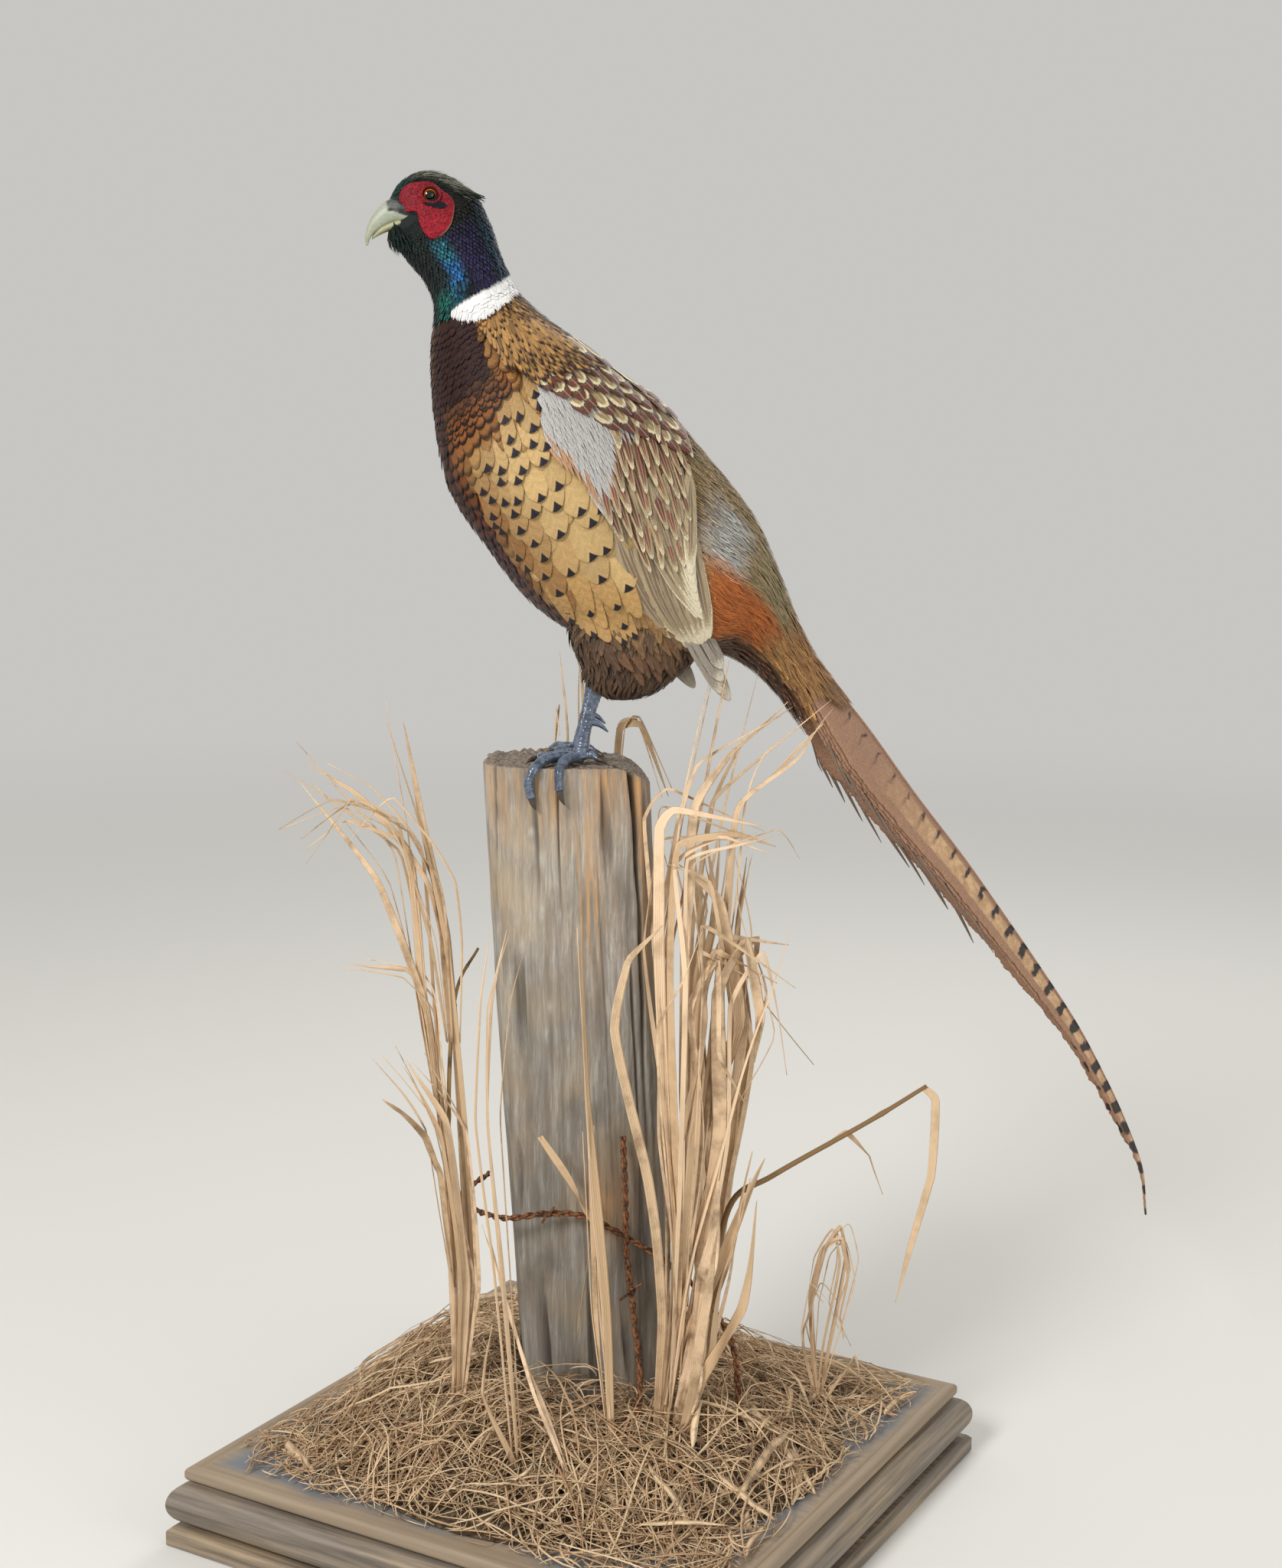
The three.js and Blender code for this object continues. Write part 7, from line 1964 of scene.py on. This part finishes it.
bare, painted_shade, buff = (hexes(1, tint) for tint in ("#a51428", "#560812", "#c79c7c"))
# painted shade: deeper red where the papillae are low, scarlet on their tops
mix = np.clip(papillae / 0.85 * 1.9 - 0.4, 0, 1)[..., None]
wattle_colour = painted_shade * (1 - mix) + bare * mix
rear = np.clip(1 - from_edge / 1.6, 0, 1) * np.clip((u + 90) / 8, 0, 1)
wattle_colour = wattle_colour + rear[..., None] * (buff - wattle_colour) * 0.9
lid_dark = bump(from_lid, 0.0, 0.7)[..., None]
wattle_colour = wattle_colour * (1 - 0.75 * lid_dark) * np.interp(v, [846, 860], [0.95, 0.68])[..., None]
under_grow = np.full((3, WATTLE_COLUMNS), -2.2)
under_rows = [-1, WATTLE_ROWS // 2, 2]
all_s = np.vstack([s, s[under_rows]])
all_phi = np.vstack([phi, phi[under_rows]])
all_height = np.vstack([height, under_grow])
colours = np.concatenate([wattle_colour, wattle_colour[under_rows]])

# bare wattle skin: scarlet, velvety with papillae, with painted shade between them, faintly moist on top
wattle_material = blank("papillate_wattle_skin")
place = add(wattle_material, "TexCoord", out="Object")
grainy = add(wattle_material, "TexVoronoi", {"Vector": place, "Scale": 1500})
relief = add(wattle_material, "Bump", {"Strength": 0.5, "Distance": 0.0004, "Height": grainy})
relief.node.invert = True
own = add(wattle_material, "Attribute", attribute_name="ground")
shader = add(wattle_material, "BsdfPrincipled", {
    "Base Color": own, "Roughness": 0.6, "Normal": relief, "Specular IOR Level": 0.25})
add(wattle_material, "OutputMaterial", {"Surface": shader})
for side, name in ((1, "left"), (-1, "right")):
    grid = body(all_s, side * all_phi, all_height)
    faces = ring_faces(WATTLE_ROWS + 3, WATTLE_COLUMNS)
    piece("wattle_skin_" + name, in_bird(grid.reshape(-1, 3)), faces[:, ::side], wattle_material,
          ["wattle_" + name], colours={"ground": colours.reshape(-1, 3)})

# the bar under the eye: tiny black feathers, fewer towards its ends
n = 190
along = rng.uniform(0, 1, n)
off_line = rng.uniform(-1.9, 1.9, n) * np.sqrt(1 - (2 * along - 1) ** 4)
bar_tips = np.stack([-93 + 11.5 * along, 857.2 - 1.1 * along + off_line], -1)
bars = wing_feathers(bar_tips, 2.6, 0.6, 1.35 + rng.normal(0, 0.15, n), (1.4, 2.7),
                     varied(hexes(n, "#15171b"), 0.3), hexes(n, "#050807"), hexes(n, "#22242c"),
                     np.array([0, 0, 0.1, 0]), rows=4, columns=3, point=0.5)
coat("coat_eye_bars", bars, gloss_plumage)

# ---- ear tufts ------------------------------------------------------------------------------------------
# A pinch of long narrow black-green feathers behind each ear, swept back off the head.

n = 34
TUFT_ROWS, TUFT_ROUND = 14, 6
per_feather = TUFT_ROWS * TUFT_ROUND + 2
t = np.linspace(0, 1, TUFT_ROWS)[None, :, None]
for side, name in ((1, "left"), (-1, "right")):
    start = np.stack([rng.normal(-77, 2.6, n), rng.normal(865.5, 1.9, n), side * rng.normal(9.5, 1.2, n)], -1)
    end = np.stack([rng.uniform(-67, -56.5, n), rng.normal(862.4, 1.2, n), side * rng.normal(12.8, 1.0, n)],
                   -1)
    arch = np.array([0, 1.3, side * 0.8]) * np.sin(np.pi * t) * rng.uniform(0.3, 1.6, (n, 1, 1))
    line = start[:, None] * (1 - t) + end[:, None] * t + arch
    half = rng.uniform(0.5, 0.95, (n, 1)) * (1 - t[..., 0] ** 2 * 0.85)
    outward = in_bird(np.array([0.0, 0.4, side])) - in_bird(np.zeros(3))
    points, uv = strips(in_bird(line), outward, half, np.full(half.shape, 0.3), -0.15, TUFT_ROUND)
    bronze = start[:, 1:2] > 866
    ground = varied(np.where(bronze, hexes(n, "#4a4a3e"), hexes(n, "#0f1d1a")), 0.3)
    ground = np.repeat(ground, per_feather, axis=0)
    corner = np.stack([0.5 + side * rng.uniform(0.36, 0.4, n), rng.uniform(0.8, 0.84, n)], -1)
    bake = np.repeat(corner, per_feather, axis=0) + (uv * [1, 30] - 0.5) * FEATHER_PATCH
    piece("ear_tuft_feathers_" + name, points, closed_faces(TUFT_ROWS, TUFT_ROUND, n), gloss_plumage,
          ["ear_tuft_" + name], uv=uv * [1, 40], bake=bake,
          colours=dict(zip(CARRIED, (ground, ground * 0.5, ground, np.zeros((len(ground), 4))))))

# ---- bill -----------------------------------------------------------------------------------------------
# Pale horn: a strong down-curved upper half that overhangs the lower, a grey scaly cere at its root with a
# slit nostril under a swollen flap on each side.

BILL_UPPER = [(-95, 847.0, -107, 862, 12.2), (-101, 846.7, -112.5, 861, 11.4),
              (-107, 846.3, -116.8, 859.2, 9.4), (-112, 846.4, -121.2, 855.2, 7.2),
              (-118.5, 843.8, -125.6, 849.2, 4.9), (-123.5, 840.4, -128.3, 842.9, 3.1),
              (-126.3, 836.6, -129.5, 837, 1.8), (-127.7, 832.6, -128.9, 832.4, 0.6)]
BILL_LOWER = [(-96, 843.4, -95, 851, 9.0), (-102, 843.8, -101, 851, 9.8), (-109.2, 843.5, -108, 850.2, 9.0),
              (-115.6, 841.2, -114.4, 848.2, 6.2), (-121.4, 838.4, -120.6, 844.2, 4.0),
              (-125, 836.2, -124.6, 839.2, 1.8)]
BILL_ROWS, BILL_COLUMNS = 90, 56


def bill_half(cuts, above, below):
    """Rows of cuts from the bill's root to its tip, squarer where the power above or below is smaller."""
    t, turn = np.meshgrid(np.linspace(0, len(cuts) - 1, BILL_ROWS),
                          np.linspace(0, 2 * np.pi, BILL_COLUMNS, endpoint=False), indexing="ij")
    row = smooth_row(cuts, t)
    low, high, half = row[..., 0:2], row[..., 2:4], row[..., 4]
    c, n = np.cos(turn), np.sin(turn)
    flat = (low + high) / 2 - (high - low) / 2 * c[..., None]
    out = half * np.sign(n) * np.abs(n) ** np.where(c > 0, below, above) * (1 + 0.15 * c)
    return np.concatenate([flat, out[..., None]], -1)


# keratin: pale, faintly streaked lengthways, waxy; the cere is grey, dull and pitted
bill_material = blank("pale_horn_bill")
place = add(bill_material, "TexCoord", out="Object")
streak = add(bill_material, "TexNoise", {"Vector": place, "Scale": 420, "Detail": 4})
streak_share = add(bill_material, "MapRange", {
    "Value": streak, "From Min": 0.3, "From Max": 0.7, "To Max": 0.35})
ground = add(bill_material, "Attribute", attribute_name="ground")
tinted = add(bill_material, "Mix", {0: streak_share, 6: ground, 7: linear("#c9c5a4")}, **COLOUR_MIX,
             blend_type="MULTIPLY")
relief = add(bill_material, "Bump", {"Strength": 0.25, "Distance": 0.0003, "Height": streak})
shader = add(bill_material, "BsdfPrincipled", {
    "Base Color": tinted, "Roughness": 0.45, "Normal": relief, "Subsurface Weight": 0.1,
    "Subsurface Radius": (0.003, 0.002, 0.001)})
add(bill_material, "OutputMaterial", {"Surface": shader})
horn, yellow, grey, feathered, tip_horn = (
    hexes(1, tint) for tint in ("#999f8f", "#8f8e69", "#4c4e4b", "#101415", "#9c9c84"))
for name, cuts, above, below, solid in (("bill_upper_horn", BILL_UPPER, 0.7, 0.32, "bill_upper"),
                                        ("bill_lower_horn", BILL_LOWER, 0.3, 0.6, "bill_lower")):
    grid = bill_half(cuts, above, below)
    u, v, w = grid[..., 0], grid[..., 1], grid[..., 2]
    colour = np.zeros(u.shape + (3,)) + horn
    low = np.clip(np.cos(2 * np.pi * np.arange(BILL_COLUMNS) / BILL_COLUMNS) * 1.4 - 0.4, 0, 1)[None, :, None]
    colour = colour * (1 - 0.5 * low) + 0.5 * low * yellow
    over_line = v - 852.7 + 0.286 * (u + 116.1)
    if name == "bill_upper_horn":
        near = np.hypot((u + 114.6) * 0.9 + (v - 853.4) * 0.35, ((v - 853.4) - (u + 114.6) * 0.35) * 2.1)
        flap = bump(np.hypot((u + 112.5) * 0.6, (v - 854.6)), 0, 1.6)
        side_on = np.clip(np.abs(w) / 3, 0, 1)
        change = (0.7 * flap - 1.9 * bump(near, 0, 2.0)) * side_on
        grid[..., 2] += np.sign(w) * change
        grid[..., 2] *= 1 - 0.05 * np.clip((-118 - u) / 10, 0, 1)
        cere = np.clip((u + 117.4) / 1.2, 0, 1) * np.clip((over_line - 0.2) / 1.0, 0, 1)
        rough = (noise(u / 0.7 + 300, v / 0.7, 51) - 0.5) * 0.35 * cere
        grid[..., 2] += np.sign(w) * rough
        colour += cere[..., None] * (grey - colour)
        lores = np.clip((u + 111.0) / 1.4, 0, 1) * np.clip(over_line / 0.8, 0, 1)
        colour += lores[..., None] * (feathered - colour)
        # painted shade in the nostril slit, over its dent
        colour *= 1 - 0.85 * bump(near, 0, 1.7)[..., None] * side_on[..., None]
    else:
        colour = yellow * np.ones(u.shape + (1,))
        colour += np.clip((u + 109.5) / 1.5, 0, 1)[..., None] * (feathered - colour)
    tipped = np.clip((-121 - u) / 7, 0, 1)[..., None] * 0.6
    colour += tipped * (tip_horn - colour)
    flat = with_ends(grid[None])
    colour = np.vstack([colour.reshape(-1, 3), colour[0, :1], colour[-1, :1]])
    faces = [group[:, ::-1] for group in closed_faces(BILL_ROWS, BILL_COLUMNS)]
    piece(name, in_bird(flat), faces, bill_material, [solid], colours={"ground": colour})

# ---- legs and feet --------------------------------------------------------------------------------------
# Blue-grey shanks with a spur behind, and four toes to a foot, all covered in overlapping horny plates. The
# toes bend over the rim of the post. The claws are dark blunt horn.

LEG_COLUMNS = 28


def limb(points, radii, rows, plate, depth):
    """A round limb along a smooth line, its radius smooth through radii, ringed by plates every plate mm.

    Each plate is domed by depth and steps down to the next; the plates fade out towards the back, where
    the skin is finely pebbled.
    """
    line = smooth_line(points, rows)
    radius = smooth_line(np.array(radii)[:, None], rows)[:, 0]
    tangent = unit(np.gradient(line, axis=0))
    side = unit(np.cross(tangent, [0.15, 1.0, 0.3]))
    up = np.cross(side, tangent)
    turn = 2 * np.pi * np.arange(LEG_COLUMNS) / LEG_COLUMNS
    run = run_of(line)
    front = 0.5 - 0.5 * np.sin(turn)
    place = (run[:, None] / plate + 0.25 * np.cos(turn)) % 1
    plates = (1 - np.abs(2 * place - 1) ** 5) * depth * (0.35 + 0.65 * front)
    pebbles = ((noise(run[:, None] / 0.9 + 5, 0 * turn + 12 * np.cos(turn), 61) - 0.5) * depth * (1 - front)
               * 1.4)
    size = radius[:, None] + plates + pebbles - depth * 0.5
    grid = (line[:, None] + side[:, None] * (size * np.cos(turn))[..., None]
            - up[:, None] * (size * np.sin(turn))[..., None])
    # painted shade: darker in the grooves where a plate falls away
    groove_shade = np.clip(1 - plates / (depth * 0.7), 0, 1) * 0.7
    return grid, groove_shade


# horny scutes: blue-grey, waxy and glossy on the plates, with painted shade darkening the grooves
leg_material = blank("blue_grey_leg_scutes")
own = add(leg_material, "SeparateColor", {0: add(leg_material, "Attribute", attribute_name="groove_shade")}).node
place = add(leg_material, "TexCoord", out="Object")
cloud = add(leg_material, "TexNoise", {"Vector": place, "Scale": 240, "Detail": 4})
pale = add(leg_material, "MapRange", {"Value": cloud, "From Min": 0.35, "From Max": 0.65})
plate_colour = add(leg_material, "Mix", {0: pale, 6: linear("#3d4859"), 7: linear("#717f95")}, **COLOUR_MIX)
# painted shade in the grooves mixed over the plates' colour
leg_colour = add(leg_material, "Mix", {0: own.outputs[0], 6: plate_colour, 7: linear("#242831")},
                 **COLOUR_MIX)
relief = add(leg_material, "Bump", {"Strength": 0.3, "Distance": 0.0004, "Height": cloud})
shader = add(leg_material, "BsdfPrincipled", {
    "Base Color": leg_colour, "Roughness": 0.3, "Normal": relief, "Coat Weight": 0.5, "Coat Roughness": 0.15})
add(leg_material, "OutputMaterial", {"Surface": shader})
# blunt horn claws: nearly black, polished at the tip and scratched along their length
claw_material = blank("dark_horn_claw")
place = add(claw_material, "TexCoord", out="Object")
scratch = add(claw_material, "TexNoise", {"Vector": place, "Scale": 500, "Detail": 3})
claw_colour = add(claw_material, "Mix", {0: scratch, 6: linear("#191411"), 7: linear("#54483c")},
                  **COLOUR_MIX)
relief = add(claw_material, "Bump", {"Strength": 0.3, "Distance": 0.0003, "Height": scratch})
shader = add(claw_material, "BsdfPrincipled", {
    "Base Color": claw_colour, "Roughness": 0.38, "Normal": relief})
add(claw_material, "OutputMaterial", {"Surface": shader})


def limbs(name, made, material, replaces):
    """One piece of several limbs, each (grid, groove), in the frame of the post's top."""
    points, faces, grooves = [], [], []
    for grid, groove_shade in made:
        start = sum(len(part) for part in points)
        faces += [group + start for group in closed_faces(len(grid), LEG_COLUMNS)]
        points.append(with_ends(grid[None]))
        grooves.append(np.concatenate([groove_shade.ravel(), [0.3, 0.3]]))
    shade = np.concatenate(grooves)[:, None] * [1, 1, 1]
    piece(name, turned(np.vstack(points) + [POST_TOP_ACROSS, 0, 0]), faces, material, replaces,
          colours={"groove_shade": shade})


ANKLE_HEIGHT = 520
CUFF_BOTTOM = 556
# By foot: the ankle's place, the shank's upper end in the bird's own frame, and for each toe the points of
# its line after the sole and the points of its claw.
FEET = {
    "left": ((8.6, -21), (14, -24), {
        "inner": ([(-4, -21, 515.8), (-14, -23, 515.4), (-19.6, -27, 515)],
                  [(-19.4, -27.2, 515), (-22.8, -30.4, 514.6), (-25.6, -33, 512.6)]),
        "middle": ([(-4, -29, 516.2), (-14, -38, 515.4), (-20.5, -46.5, 510), (-23.5, -48.4, 502),
                    (-22.2, -48.7, 492.6)],
                   [(-22.2, -48.7, 493), (-20.8, -49, 488.5), (-19, -48.6, 485)]),
        "outer": ([(3, -31, 515.8), (-2, -41, 514.4), (-4.6, -47.6, 508.4), (-4.5, -48.7, 497.6)],
                  [(-4.5, -48.7, 498), (-3, -49, 492.5), (-0.5, -48.6, 488)]),
        "hind": ([(15.5, -23.5, 517), (20, -25.8, 514.7)],
                 [(19.6, -25.6, 514.8), (23, -27, 513.6), (25.5, -28.2, 511.8)])}),
    "right": ((8, 21), (23, 24), {
        "inner": ([(-2, 17, 514.8), (-9.5, 14, 514)],
                  [(-9, 14, 514.1), (-13, 12.3, 513.2), (-16, 11, 511.6)]),
        "middle": ([(0, 27, 515.2), (-7, 36, 514.4), (-11.5, 44.5, 509.8), (-12.5, 47.7, 501.6)],
                   [(-12.5, 47.6, 502), (-12, 48.4, 496.5), (-10.5, 47.8, 492.5)]),
        "outer": ([(8, 31, 515.2), (7, 40, 514.4), (6.5, 46.5, 509), (6.5, 48.1, 500.6)],
                  [(6.5, 48, 501), (7, 48.8, 495.5), (8.5, 48.2, 491.5)]),
        "hind": ([(14.5, 15, 516.5), (19.4, 10.2, 514.1)],
                 [(19, 10.5, 514.2), (22, 7.6, 513), (24.2, 5.4, 511.4)])})}
for name, (ankle, top, toes) in FEET.items():
    ankle = np.array([*ankle, ANKLE_HEIGHT])
    cuff = turned(np.array([*top, CUFF_BOTTOM + 5]), BIRD_TURN - FRONT_TURN)
    shank_at = lambda share: ankle + (cuff - ankle) * share
    shank_line = [shank_at(0) - [0, 0, 2], shank_at(0.33), shank_at(0.66), shank_at(1)]
    shank = limb(shank_line, [4.9, 3.6, 3.5, 4.9], 110, 3.6, 0.42)
    spur_root = shank_at(0.45)
    spur = limb([spur_root, spur_root + [7, 0.5, -2], spur_root + [13, 1, -7]], [2.9, 1.9, 0.5], 30, 40, 0.1)
    limbs("shank_scutes_" + name, [shank, spur], leg_material, ["shank_" + name])
    sole = np.array([*ankle[:2], ANKLE_HEIGHT - 4.8])
    heel_line = [sole + [0, 0, 4.2], sole + [0, 0, 1.5], sole, sole - [0, 0, 1.6]]
    parts = [limb(heel_line, [4.7, 6.2, 6.2, 3.6], 24, 2.6, 0.4)]
    horn = []
    for toe, (line, claw) in toes.items():
        thick = 2.7 if toe == "hind" else 3.7
        knuckles = len(line) + 1
        radii = (thick - 1.2 * np.linspace(0, 1, 2 * knuckles - 1)
                 + 0.28 * (np.arange(2 * knuckles - 1) % 2 == 0))
        parts.append(limb([sole, *line], radii, 24 * len(line), 2.3, 0.34))
        horn.append(limb(claw, [2.05, 1.5, 0.3], 26, 30, 0.08))
    limbs("foot_scutes_" + name, parts, leg_material, ["foot_" + name])
    limbs("claws_horn_" + name, horn, claw_material, [f"claw_{name}_{toe}" for toe in toes])

visual_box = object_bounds()
{"cad": [list(corner) for corner in cad_box], "visual": [list(corner) for corner in visual_box]}
